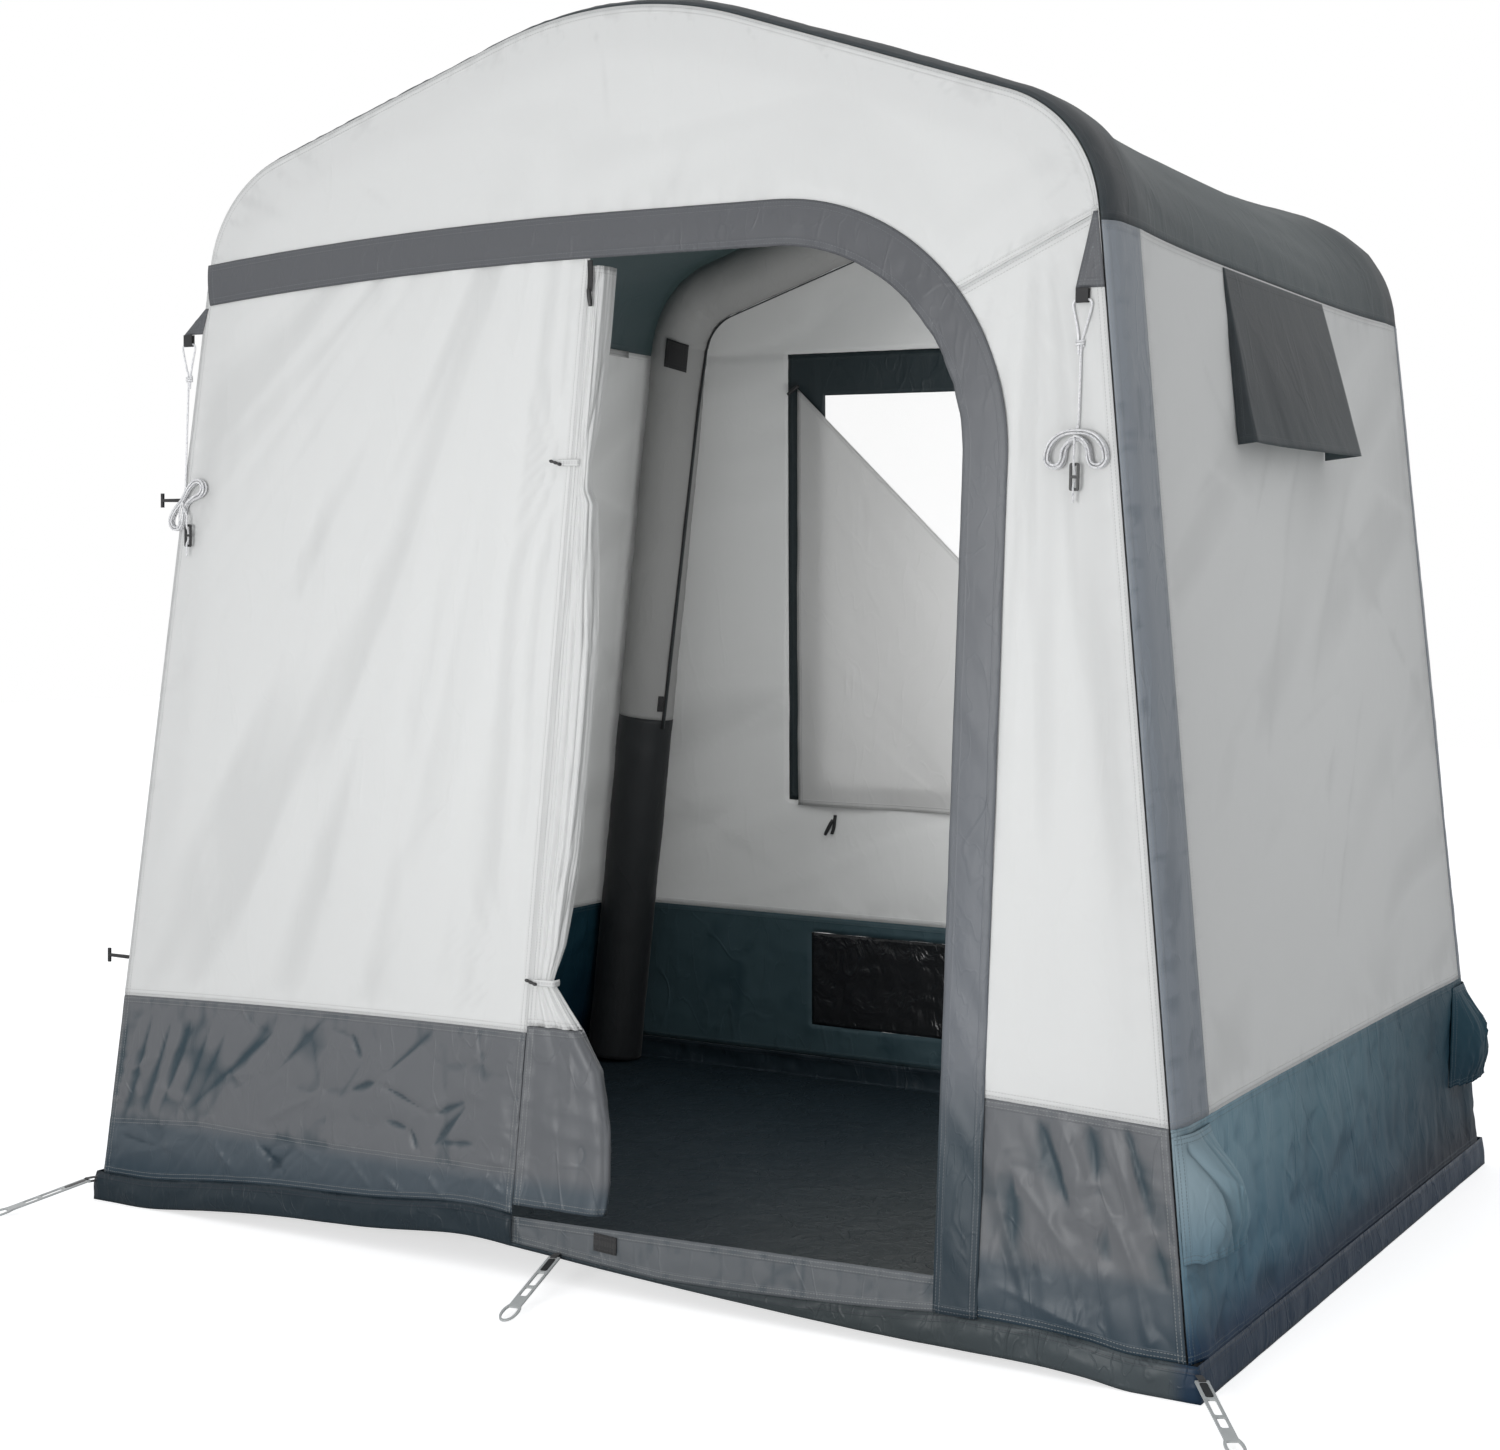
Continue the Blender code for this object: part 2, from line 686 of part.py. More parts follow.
def build_back(white, skirt, dark, clear, film):
    top = rim(arch_stations(leg_s(eave_height)))
    window = window_half_width + gap
    near = int(np.argmin(np.abs(top[:, 0] - window)))
    far = len(top) - 1 - near
    rows = [skirt_height + gap, window_bottom - gap, eave_height - gap]
    grid = np.zeros((len(rows) + 2, len(top), 2))
    for i, z in enumerate(rows):
        edge = rim_at(z, 1)[0]
        marks = [top[0, 0], top[far, 0], top[near, 0], top[-1, 0]]
        grid[i, :, 0] = np.interp(top[:, 0], marks, [-edge, -window, window, edge])
        grid[i, :, 1] = z
    top[[0, -1], 1] += 0.010
    top[[0, -1], 0] *= rim_at(eave_height + 0.010, 1)[0] / rim_at(eave_height, 1)[0]
    grid[-1] = top
    grid[-2] = (grid[-3] + top) / 2
    back_panel("wall_back", grid, white, hole=(1, 2, far, near))

    heights = np.array([tub_height + tub_gap, hatch_bottom - gap, hatch_top + gap, skirt_height - gap])
    grid = np.zeros((len(heights), 6, 2))
    for i, z in enumerate(heights):
        edge = rim_at(z, 1)[0]
        hatch = hatch_half_width + gap
        grid[i, :, 0] = (-edge, -hatch, -hatch / 3, hatch / 3, hatch, edge)
        grid[i, :, 1] = z
    back_panel("skirt_back", grid, skirt, hole=(1, 2, 1, 4))

    def block(x0, x1, z0, z1, nx=2, nz=2):
        x, z = np.meshgrid(np.linspace(x0, x1, nx), np.linspace(z0, z1, nz), indexing="ij")
        return np.stack([x, z], -1)

    back_panel("hatch_film", block(-hatch_half_width, hatch_half_width, hatch_bottom, hatch_top), film,
               thickness=0.002)
    inner_x = window_half_width - window_border
    border_top = eave_height - 2 * gap
    xs = np.array([-window_half_width, -inner_x, inner_x, window_half_width])
    zs = np.array([window_bottom, window_bottom + window_border_foot, border_top - window_border, border_top])
    x, z = np.meshgrid(xs, zs, indexing="ij")
    back_panel("window_border", np.stack([x, z], -1), dark, hole=(1, 2, 1, 2))
    pane = block(xs[1] + gap, xs[2] - gap, zs[1] + gap, zs[2] - gap)
    back_panel("window_pane", pane, clear, inside=0.001, thickness=0.001)


def build_curtain(finish):
    """Loose corner dropped: the cloth left hanging is a triangle, in soft upright folds."""
    columns = 17
    rows = 9
    x = np.linspace(curtain_left, curtain_right, columns)
    share = (x - x[0]) / (x[-1] - x[0])
    top = curtain_top - share * (curtain_top - curtain_bottom - 0.03)
    up = np.linspace(0, 1, rows)
    z = curtain_bottom + up[None, :] * (top - curtain_bottom)[:, None]
    x = np.repeat(x[:, None], rows, 1)
    fold = np.sin(2 * math.pi * (share[:, None] * 2.6 + 0.35 * up[None, :])) * (1 - up[None, :])
    inside = cloth + 2 * gap + curtain_cloth + curtain_fold * (1 + fold)
    near = np.stack([x, back_y(z) - inside, z], -1)
    far = near + (0, curtain_cloth, 0)
    made = sheet("window_curtain", far, near, finish)
    pivot_z = curtain_bottom
    return on_axis(made, (0, float(back_y(pivot_z)) - cloth - curtain_fold, pivot_z))


def beam_line(stations, rear):
    """Centre line of an arch and the direction that points out of the shell at each station."""
    inset = cloth + beam_seat + beam_radius
    x, z, nx, nz = outline(stations, inset)
    back = cloth + gap + beam_seat + beam_radius
    y = front_y(z) + back
    if rear:
        y = -y
    centre = np.stack([x, y, z], -1)
    out = np.stack([nx, np.zeros_like(nx), nz], -1)
    return centre, out


def tube_rings(centre, out, radius, sides):
    angle = (np.arange(sides) + 0.5) * 2 * math.pi / sides
    depth = np.array([0.0, 1.0, 0.0])
    around = np.cos(angle)[None, :, None] * out[:, None, :] + np.sin(angle)[None, :, None] * depth
    return centre[:, None, :] + radius * around


def hollow_tube(name, stations, rear, radius, wall, finish, closed_start=False, closed_end=False,
                sides=beam_sides):
    centre, out = beam_line(stations, rear)
    outer = tube_rings(centre, out, radius, sides)
    inner_centre = centre.copy()
    along = np.gradient(centre, axis=0)
    along /= np.linalg.norm(along, axis=1)[:, None]
    if closed_start:
        inner_centre[0] = centre[0] + along[0] * wall
    if closed_end:
        inner_centre[-1] = centre[-1] - along[-1] * wall
    inner = tube_rings(inner_centre, out, radius - wall, sides)
    count = len(stations)
    faces = []
    for base, turn in ((0, 1), (count * sides, -1)):
        for i in range(count - 1):
            for j in range(sides):
                k = (j + 1) % sides
                a = base + i * sides
                quad = (a + j, a + k, a + sides + k, a + sides + j)
                faces.append(quad[::turn])
    ends = ((0, closed_start, 1), ((count - 1) * sides, closed_end, -1))
    for first, closed, turn in ends:
        second = first + count * sides
        if closed:
            faces.append(tuple(first + j for j in range(sides))[::-turn])
            faces.append(tuple(second + j for j in range(sides))[::turn])
            continue
        for j in range(sides):
            k = (j + 1) % sides
            faces.append((first + j, second + j, second + k, first + k)[::turn])
    points = np.concatenate([outer.reshape(-1, 3), inner.reshape(-1, 3)])
    return solid(name, points, faces, finish)


def drill(thing, cutter):
    hole = thing.modifiers.new("valve_hole", "BOOLEAN")
    hole.operation = "DIFFERENCE"
    hole.solver = "EXACT"
    hole.object = cutter


def build_arches(sleeve, boot, bladder):
    """Returns the pieces that the inflation valves pass through, for each end."""
    drilled = {"front": [], "rear": []}
    top = leg_s(boot_height)
    foot = leg_s(beam_foot)
    inner_radius = (beam_radius - sleeve_cloth) * math.cos(math.pi / beam_sides) - bladder_slack
    whole = np.sort(np.append(arch_stations(foot), leg_s(valve_height)))
    made = hollow_tube("beam_sleeve_front", whole, False, beam_radius, sleeve_cloth, sleeve,
                       closed_start=True, closed_end=True)
    drilled["front"].append(made)
    hollow_tube("beam_sleeve_rear", arch_stations(top), True, beam_radius, sleeve_cloth, sleeve)
    for side, name in ((-1, "left"), (1, "right")):
        up = np.array([foot, leg_s(valve_height), top + gap]) * side
        made = hollow_tube("sleeve_boot_" + name, up, True, beam_radius, sleeve_cloth, boot,
                           closed_start=True)
    drilled["rear"].append(made)
    for rear, place in ((False, "front"), (True, "rear")):
        stations = arch_stations(foot - (sleeve_cloth + bladder_slack))
        stations = np.sort(np.append(stations, leg_s(valve_height)))
        made = hollow_tube("air_bladder_" + place, stations, rear, inner_radius, bladder_wall, bladder,
                           closed_start=True, closed_end=True, sides=bladder_sides)
        drilled[place].append(made)
    return drilled


def valve_axis(rear):
    """Point on the outer face of the skirt and outward direction of an inflation valve."""
    s = leg_s(valve_height)
    centre, out = beam_line(np.array([s]), rear)
    reach = beam_radius + beam_seat + cloth
    return Vector(centre[0]), Vector(out[0]), reach


def turned(name, profile, origin, axis, finish, sides=16, closed=True):
    """Body turned about an axis. profile is a loop of (radius, distance along the axis)."""
    axis = Vector(axis).normalized()
    side = axis.orthogonal().normalized()
    other = axis.cross(side)
    loops = []
    for k in range(sides):
        angle = 2 * math.pi * k / sides
        ray = side * math.cos(angle) + other * math.sin(angle)
        loops.append([Vector(origin) + ray * r + axis * d for r, d in profile])
    count = len(profile)
    points = [p for loop in loops for p in loop]
    faces = []
    spans = count if closed else count - 1
    for k in range(sides):
        n = (k + 1) % sides
        for j in range(spans):
            m = (j + 1) % count
            faces.append((k * count + j, n * count + j, n * count + m, k * count + m))
    if not closed:
        faces.append(tuple(k * count for k in range(sides)))
        faces.append(tuple(k * count + count - 1 for k in reversed(range(sides))))
    return solid(name, np.array(points), faces, finish)


def build_valves(drilled, plastic, soft, cloth_finish):
    hole = valve_radius + gap
    skirt = bpy.data.objects["skirt_right"]
    for rear, place in ((False, "front"), (True, "rear")):
        centre, out, reach = valve_axis(rear)
        profile = [(hole, beam_radius * 0.5), (hole, reach + 0.02)]
        cutter = turned("valve_cutter_" + place, profile, centre, out, plastic, closed=False)
        cutter.hide_render = True
        cutter.display_type = "WIRE"
        for thing in [*drilled[place], skirt]:
            drill(thing, cutter)
        start = beam_radius - 0.012
        end = reach + valve_reach
        profile = [(valve_bore, start), (valve_radius, start), (valve_radius, end), (valve_bore, end)]
        turned("air_valve_" + place, profile, centre, out, plastic)
        seat = end + gap
        inner = valve_radius + 2 * gap
        lip = end - cap_length + 0.004
        profile = [(0.0006, seat + 0.003), (cap_radius * 0.8, seat + 0.003), (cap_radius, seat + 0.001),
                   (cap_radius, lip), (inner, lip), (inner, seat), (0.0006, seat)]
        made = turned("valve_cap_" + place, profile, centre, out, soft)
        on_axis(made, centre + out * seat)
        build_pocket(place, rear, cloth_finish)


def build_pocket(place, rear, finish):
    """Flap over a valve: sewn along its top, puffed out, its hem gathered by elastic."""
    columns = 17
    rows = 7
    across, down = np.meshgrid(np.linspace(0, 1, columns), np.linspace(0, 1, rows), indexing="ij")
    width = pocket_top_width + (pocket_foot_width - pocket_top_width) * down
    t = 0.006 + across * width
    if rear:
        t = full_depth - t
    z = pocket_top - pocket_length * down
    s = leg_s(z)
    belly = np.sin(math.pi * across) ** 0.8 * np.sin(math.pi * 0.86 * down ** 0.75)
    gathers = 0.0022 * np.sin(2 * math.pi * 5.5 * across) * down ** 3 * np.sin(math.pi * across)
    out = 2 * gap + pocket_bulge * belly + gathers
    inner = skin(s, t, -out)
    outer = skin(s, t, -out - pocket_cloth)
    made = sheet("valve_flap_" + place, outer, inner, finish)
    middle = skin(leg_s(pocket_top), full_depth - 0.06 if rear else 0.06, -2 * gap - pocket_cloth / 2)
    return on_axis(made, tuple(middle))


def build_vent(mesh_finish, dark):
    s = leg_s(np.array([vent_bottom + gap, vent_top - gap]))
    t = half_depth + np.array([vent_front + gap, (vent_front + vent_rear) / 2, vent_rear - gap])
    grid_s, grid_t = np.meshgrid(s, t, indexing="ij")
    sheet("vent_mesh", skin(grid_s, grid_t, 0.001), skin(grid_s, grid_t, 0.002), mesh_finish)

    rows = 7
    columns = 9
    gusset = 2
    along = np.linspace(0, 1, columns)
    across = np.concatenate([np.zeros(gusset), along, np.ones(gusset)])
    rise = np.linspace(0, 1, gusset + 1)[:-1]
    share = np.concatenate([rise, np.ones(columns), rise[::-1]])
    face = np.concatenate([np.zeros(gusset), [0.7], np.ones(columns - 2), [0.7], np.zeros(gusset)])
    turn = np.concatenate([-np.ones(gusset), [-0.7], np.zeros(columns - 2), [0.7], np.ones(gusset)])
    down = np.linspace(0, 1, rows)[None, :]
    across, share, face, turn = across[:, None], share[:, None], face[:, None], turn[:, None]
    rear_edge = hood_rear + (hood_foot_rear - hood_rear) * down
    t = half_depth + hood_front + across * (rear_edge - hood_front)
    top = eave_height - 0.004
    z = top + (hood_foot - top) * down
    reach = (hood_reach_front + (hood_reach_rear - hood_reach_front) * across) * down
    creases = 0.0015 * np.sin(9 * across + 4 * down) * down
    out = 0.0010 + (0.0012 + reach + creases) * share
    inner = skin(leg_s(z), t, -out)
    outer = skin(leg_s(z), t + turn * hood_cloth, -out - face * hood_cloth)
    sheet("vent_hood", outer, inner, dark)


def roll_ring(z, half_wide, half_deep, centre_t, wave, phase):
    """Outline of the gathered door at one height: a flat oval with upright folds."""
    angle = np.arange(roll_points) * 2 * math.pi / roll_points
    ripple = 1 + wave * np.sin(roll_folds * angle + phase)
    left = float(door_edge(z))
    free = np.where(np.cos(angle) > 0, 0.5 + 0.5 * ripple, 1)
    x = left + half_wide + half_wide * np.cos(angle) * free
    y = front_y(z) + centre_t - half_deep * np.sin(angle) * ripple / (1 + wave)
    return np.stack([x, y, np.full(roll_points, z)], -1)


def roll_right_edge(z):
    """Free edge of the gathered door: drawn in at the toggles, flared at the hem."""
    heights = [roll_hem, 0.16, 0.25, 0.33, roll_skirt_seam, toggle_heights[1], 0.52, 0.67, 0.98, 1.20,
               toggle_heights[0], 1.32, 1.42, 1.51, roll_top]
    edges = [0.060, 0.066, 0.061, 0.044, 0.002, -0.055, -0.036, -0.013, 0.006, 0.004, -0.030, -0.014,
             0.000, 0.012, 0.004]
    return float(np.interp(z, heights, edges))


def build_door(white, skirt, black):
    least = 0.012            # half width of the bundle at its narrowest
    pinch_reach = 0.160      # how far from a toggle the bundle is pinched, and to what share of its depth
    pinch_depth = 0.42
    fold_depth = 0.20

    def ring_at(z):
        edge = roll_right_edge(z)
        wide = max((edge - float(door_edge(z))) / 2, least)
        pinch = min(1.0, min(abs(z - h) for h in toggle_heights) / pinch_reach)
        deep = roll_half_depth * (pinch_depth + (1 - pinch_depth) * math.sin(pinch * math.pi / 2))
        return roll_ring(z, wide, deep, 0.005 + deep, fold_depth, 1.3 * z)

    upper = [roll_skirt_seam + gap, *toggle_heights, 0.42, 0.50, 0.56, 0.64, 0.76, 0.90, 1.04, 1.14, 1.21,
             1.31, 1.38, 1.46, 1.52, roll_top]
    rings("door_roll", [ring_at(z) for z in sorted(upper)], white)
    lower = np.linspace(roll_hem, roll_skirt_seam, 7)
    rings("door_roll_skirt", [ring_at(z) for z in lower], skirt)

    for name, z in zip(("upper", "lower"), toggle_heights):
        edge = ring_at(z)[:, 0].max() + door_strap_stand
        face = -3 * door_strap_half[0]
        start = edge - door_strap_length
        path = [(edge, door_strap_depth, 0), (edge, 0.004, 0), (edge - 0.003, face + 0.0004, 0),
                (edge - 0.008, face, 0), (start, face, 0), (start - 0.0001, face, 1),
                (start - door_bar_width, face, 1)]
        loops = []
        for k, (x, t, bar) in enumerate(path):
            before = path[max(k - 1, 0)]
            after = path[min(k + 1, len(path) - 1)]
            way = np.array([after[0] - before[0], after[1] - before[1]])
            way /= np.linalg.norm(way)
            half, tall = (door_strap_half, door_bar_half)[bar]
            y = float(front_y(z))
            side = np.array([-way[1], way[0]]) * half
            loops.append([(x + side[0], y + t + side[1], z - tall), (x - side[0], y + t - side[1], z - tall),
                          (x - side[0], y + t - side[1], z + tall), (x + side[0], y + t + side[1], z + tall)])
        rings("door_toggle_" + name, loops, black)


def toggle(name, place, length, bar, thickness, finish, root_radius=0.003):
    """T-shaped toggle on its short strap, pointing along the first axis of place."""
    half = 0.0026
    polygon = []
    if root_radius:
        for k in range(7):
            angle = math.pi / 2 + math.pi * k / 6
            polygon.append((root_radius * math.cos(angle), root_radius * math.sin(angle)))
    else:
        polygon = [(0, half), (0, -half)]
    polygon += [(length - 0.005, -half), (length - 0.005, -bar / 2), (length, -bar / 2),
                (length, bar / 2), (length - 0.005, bar / 2), (length - 0.005, half)]
    shifted = place @ Matrix.Translation((0, 0, -thickness / 2)) if root_radius else place
    return prism(name, polygon, shifted, thickness, finish)


def build_toggles(black):
    for name, z in (("upper", 1.210), ("lower", 0.425)):
        on_skin = skin(-leg_s(z), 0.012)
        origin = (on_skin[0] - 0.0046, on_skin[1], on_skin[2])
        made = toggle("edge_toggle_" + name, frame(origin, (-1, 0, 0), (0, 0, 1)), 0.048, 0.024, 0.004,
                      black)
        on_axis(made, origin)
    slider_path = leg_s(boot_height + 0.02)
    centre, out = beam_line(np.array([-slider_path]), True)
    along = Vector((wall_lean, -end_lean, 1.0)).normalized()
    facet = math.pi / beam_sides
    toward = -math.cos(2 * facet) * Vector(out[0]) - Vector((0, math.sin(2 * facet), 0))
    origin = Vector(centre[0]) + toward * (beam_radius * math.cos(facet) + gap)
    w, h = 0.012, 0.034
    polygon = [(-w / 2, 0), (w / 2, 0), (w / 2, h), (-w / 2, h)]
    place = frame(origin, along.cross(toward), along)
    made = prism("sleeve_zip_slider", polygon, place, 0.004, black)
    on_axis(made, tuple(origin))


def fold_strap(name, place, length, width, finish):
    """Webbing doubled over: its fold is centred on the origin, its ends reach back by length."""
    inner = fold_gap / 2
    outer = inner + webbing
    profile = [(-length, outer), (-length, inner)]
    for k in range(7):
        angle = math.pi / 2 - math.pi * k / 6
        profile.append((inner * math.cos(angle), inner * math.sin(angle)))
    profile += [(-length, -inner), (-length, -outer)]
    for k in range(7):
        angle = -math.pi / 2 + math.pi * k / 6
        profile.append((outer * math.cos(angle), outer * math.sin(angle)))
    shifted = place @ Matrix.Translation((0, 0, -width / 2))
    return prism(name, profile, shifted, width, finish)


def ladder_places():
    """Name, x, side and direction of each peg ladder, seen from above."""
    return [
        ("front_right", half_width, (0.56, -0.83)),
        ("front_left", -half_width, (-0.27, -0.96)),
        ("front_middle", -0.029, (0.19, -0.98)),
    ]


def build_ladders(clear_plastic, black):
    for name, x, way in ladder_places():
        way = Vector((*way, 0)).normalized()
        start = 0.017
        z = ladder_height + float(floor_z(x, -half_depth)) * ladder_rise
        edge = Vector((math.copysign(min(abs(x), half_width - wall_lean * z), x), float(front_y(z)), z))
        pivot = edge + way * start
        across = Vector((0, 0, 1)).cross(way)
        drop = pivot.z - ladder_thickness / 2 - 0.0006
        pitch = math.asin(drop / (ladder_length + ladder_ring))
        forward = way * math.cos(pitch) - Vector((0, 0, 1)) * math.sin(pitch)
        place = frame(pivot, way, (0, 0, 1))
        turned = ladder_tab / 2 * abs(way.x) if abs(x) < half_width else 0.0
        fold_strap("peg_tab_" + name, place, start - gap - turned, ladder_tab, black)
        build_ladder("peg_ladder_" + name, frame(pivot, forward, across), clear_plastic)


def build_ladder(name, place, finish):
    """Flat strap with a bar in the tab's fold, three slots and a ring for the peg."""
    half = ladder_width / 2
    inner = half - ladder_rail
    line = bpy.data.curves.new(name, "CURVE")
    line.dimensions = "2D"
    line.fill_mode = "BOTH"
    line.extrude = ladder_thickness / 2

    def spline(points):
        made = line.splines.new("POLY")
        made.points.add(len(points) - 1)
        for target, (x, y) in zip(made.points, points):
            target.co = (x, y, 0, 1)
        made.use_cyclic_u = True

    bar = 0.0016
    neck = ladder_length - ladder_ring
    reach = math.sqrt(ladder_ring ** 2 - half ** 2)
    outer = [(-bar, -half), (ladder_length - reach, -half)]
    start = math.atan2(-half, -reach)
    for k in range(1, 12):
        angle = start + (2 * math.pi - 2 * (math.pi + start)) * k / 12
        outer.append((ladder_length + ladder_ring * math.cos(angle), ladder_ring * math.sin(angle)))
    outer += [(ladder_length - reach, half), (-bar, half)]
    spline(outer)
    edges = [bar, 0.030, 0.033, 0.078, 0.081, 0.122, 0.125, neck - 0.002]
    for low, high in zip(edges[::2], edges[1::2]):
        spline([(low, -inner), (low, inner), (high, inner), (high, -inner)])
    hole = ladder_ring - ladder_rail
    spline([(ladder_length + hole * math.cos(a), hole * math.sin(a))
            for a in np.arange(12) * 2 * math.pi / 12])
    line.materials.append(finish)
    made = bpy.data.objects.new(name, line)
    bpy.context.scene.collection.objects.link(made)
    made.matrix_world = place
    return made


def guy_route(side):
    """Guy line from the hank up through the strap and back down to the tail at its knot."""
    sign = 1 if side == "right" else -1
    half = guy_strap_width / 2 + 0.0042
    loop_z = guy_loop_height
    y_top = float(front_y(guy_loop_height)) - fold_gap / 2 - webbing - gap
    knot = guy_knot_height
    beside = cord_diameter + 0.0007
    points = [(0, hank_top[side] + gap), (0, (hank_top[side] + knot) / 2), (0.0002, knot),
              (0.0050, knot + 0.022), (half, loop_z - 0.010), (half, loop_z - 0.004),
              (half - 0.0032, loop_z), (0, loop_z), (0.0032 - half, loop_z), (-half, loop_z - 0.004),
              (-half, loop_z - 0.010), (-0.0062, knot + 0.022), (-beside, knot), (-beside, knot - 0.012)]
    route = []
    for x, z in points:
        low = float(front_y(z)) - cord_diameter / 2 - 0.0012
        route.append((guy_x[side] + sign * x, min(low, y_top), z))
    return route


def hank_cells():
    """Seats of the loops in the bundle as waist, lobe and depth, snaking from layer to layer."""
    cells = []
    for k in range(hank_turns):
        layer = k // 2
        turn = (1, 0)[k % 2] if layer % 2 == 0 else (0, 1)[k % 2]
        cells.append((hank_waist[turn], hank_lobe[turn], layer * hank_layer_step))
    return np.array(cells)


def hank_points(side):
    """One unbroken cord: into the bundle at its waist, round the loops, out and through the runner.

    Each loop moves to the next seat within its own stretch of the far half of the bundle, so that
    no two stretches of cord ever share a seat."""
    sign = 1 if side == "right" else -1
    cells = hank_cells()
    top = hank_top[side]
    waist_z = top - cord_diameter / 2 - hank_waist[1] - 0.0050
    quarter = loop_points // 6
    step = (loop_points / 2 - 0.8) / (hank_turns - 1)
    points = []
    for k in range(hank_turns):
        last = k == hank_turns - 1
        count = loop_points // 2 + 1 if last else loop_points
        for i in range(count):
            begin = loop_points / 2 + 0.8 + (hank_turns - 2 - k) * step
            move = cells[k + 1] - cells[k] if not last else np.array([0, 0, hank_layer_step])
            if last:
                begin = quarter * 2 - 0.5
            share = float(np.clip((i - begin) / step, 0, 1))
            points.append(hank_point(i, cells[k] + move * share, quarter, *hank_bend[side]))
    points = np.array(points)
    tilt = math.radians(hank_tilt[side]) * sign
    x, z = points[:, 0].copy(), points[:, 2].copy()
    points[:, 0] = x * math.cos(tilt) + z * math.sin(tilt)
    points[:, 2] = z * math.cos(tilt) - x * math.sin(tilt)
    points[:, 0] = guy_x[side] + sign * (points[:, 0] - points[0, 0])
    points[:, 2] += waist_z
    low = points[:, 2].min()
    back = float(front_y(low)) - cord_diameter / 2 - 0.0012
    points[:, 1] = back - points[:, 1]
    start = [(guy_x[side], min(back, points[0, 1]), top), (guy_x[side], points[0, 1], top - cord_diameter)]
    return np.concatenate([start, points, leave_hank(side, points[-1])])


def hank_point(i, cell, quarter, radius, half_angle):
    """Point i of a loop about the waist of the bundle: along the top, round, below and back."""
    waist, wide, depth = cell
    k = i if i < loop_points / 2 else loop_points - i
    side = 1 if i < loop_points / 2 else -1
    reach = math.radians(half_angle)
    if quarter < k < 2 * quarter:
        turn = math.pi * (k - quarter) / quarter
        out = wide * math.cos(turn)
        on = wide * math.sin(turn)
        x = (radius + out) * math.sin(reach) + on * math.cos(reach)
        z = (radius + out) * math.cos(reach) - on * math.sin(reach) - radius
        return side * x, depth, z
    share = min(k, 3 * quarter - k) / quarter
    above = 1 if k <= quarter else -1
    r = radius + above * (waist + (wide - waist) * math.sin(math.pi / 2 * share) ** 1.6)
    return side * r * math.sin(reach * share), depth, r * math.cos(reach * share) - radius


def leave_hank(side, last):
    """From the waist of the bundle down through the slots of the runner to the end of the cord."""
    x = guy_x[side] + runner_shift[side]
    y = last[1]
    runner_top = last[2] - runner_fall
    points = []
    for share in (0.2, 0.4, 0.6):
        ease = share * share * (3 - 2 * share) / 0.648
        points.append((last[0] + (x - last[0]) * ease, y, last[2] - runner_fall * share))
    points.append((x, y, runner_top + 0.006))
    for z, behind in runner_weave(runner_top):
        points.append((x, y + 2 * runner_cord_shift * behind, z))
    bottom = runner_top - runner_height
    points += [(x, y, bottom - 0.006), (x, y, bottom - tail_length)]
    return points


def runner_weave(top):
    """Heights at which the cord lies in front of or behind the bars of the runner."""
    slot = (runner_height - 3 * runner_bar) / 2
    bars = [top - runner_bar / 2, top - runner_bar * 1.5 - slot, top - runner_bar * 2.5 - 2 * slot]
    weave = []
    for bar, behind in zip(bars, (0, 1, 0)):
        weave += [(bar + runner_bar / 2 + 0.0004, behind), (bar - runner_bar / 2 - 0.0004, behind)]
    return weave


def build_runner(side, exit_point, finish):
    """Flat slider with two slots, that the cord weaves through."""
    line = bpy.data.curves.new("guy_runner_" + side, "CURVE")
    line.dimensions = "2D"
    line.fill_mode = "BOTH"
    line.extrude = runner_thickness / 2
    half = runner_width / 2
    slot = (runner_height - 3 * runner_bar) / 2
    corners = [(-half, 0), (half, 0), (half, runner_height), (-half, runner_height)]
    outer = []
    for k, (cx, cz) in enumerate(corners):
        inward = (1 if cx < 0 else -1, 1 if cz == 0 else -1)
        start = math.radians((180, 270, 0, 90)[k])
        for j in range(5):
            angle = start + math.pi / 2 * j / 4
            outer.append((cx + 0.003 * (inward[0] + math.cos(angle)), cz + 0.003 * (inward[1] + math.sin(angle))))
    loops = [outer]
    for k in range(2):
        low = runner_bar + k * (slot + runner_bar)
        loops.append([(-0.0036, low), (-0.0036, low + slot), (0.0036, low + slot), (0.0036, low)])
    for loop in loops:
        made = line.splines.new("POLY")
        made.points.add(len(loop) - 1)
        for target, (x, z) in zip(made.points, loop):
            target.co = (x, z, 0, 1)
        made.use_cyclic_u = True
    line.materials.append(finish)
    made = bpy.data.objects.new("guy_runner_" + side, line)
    bpy.context.scene.collection.objects.link(made)
    x, y, z = exit_point
    origin = (x + runner_shift[side], y + runner_cord_shift, z - runner_fall - runner_height)
    made.matrix_world = frame(origin, (1, 0, 0), (0, 0, 1))


def least_gap(points, diameter):
    """Smallest clear distance between stretches of the cord that lie apart along it."""
    a = points[:-1]
    b = points[1:]
    steps = np.linspace(0, 1, 5)
    samples = (a[:, None] * (1 - steps)[None, :, None] + b[:, None] * steps[None, :, None]).reshape(-1, 3)
    length = np.concatenate([[0], np.cumsum(np.linalg.norm(np.diff(samples, axis=0), axis=1))])
    apart = np.linalg.norm(samples[:, None] - samples[None], axis=2)
    far = np.abs(length[:, None] - length[None]) > 5 * diameter
    return float(apart[far].min()) - diameter


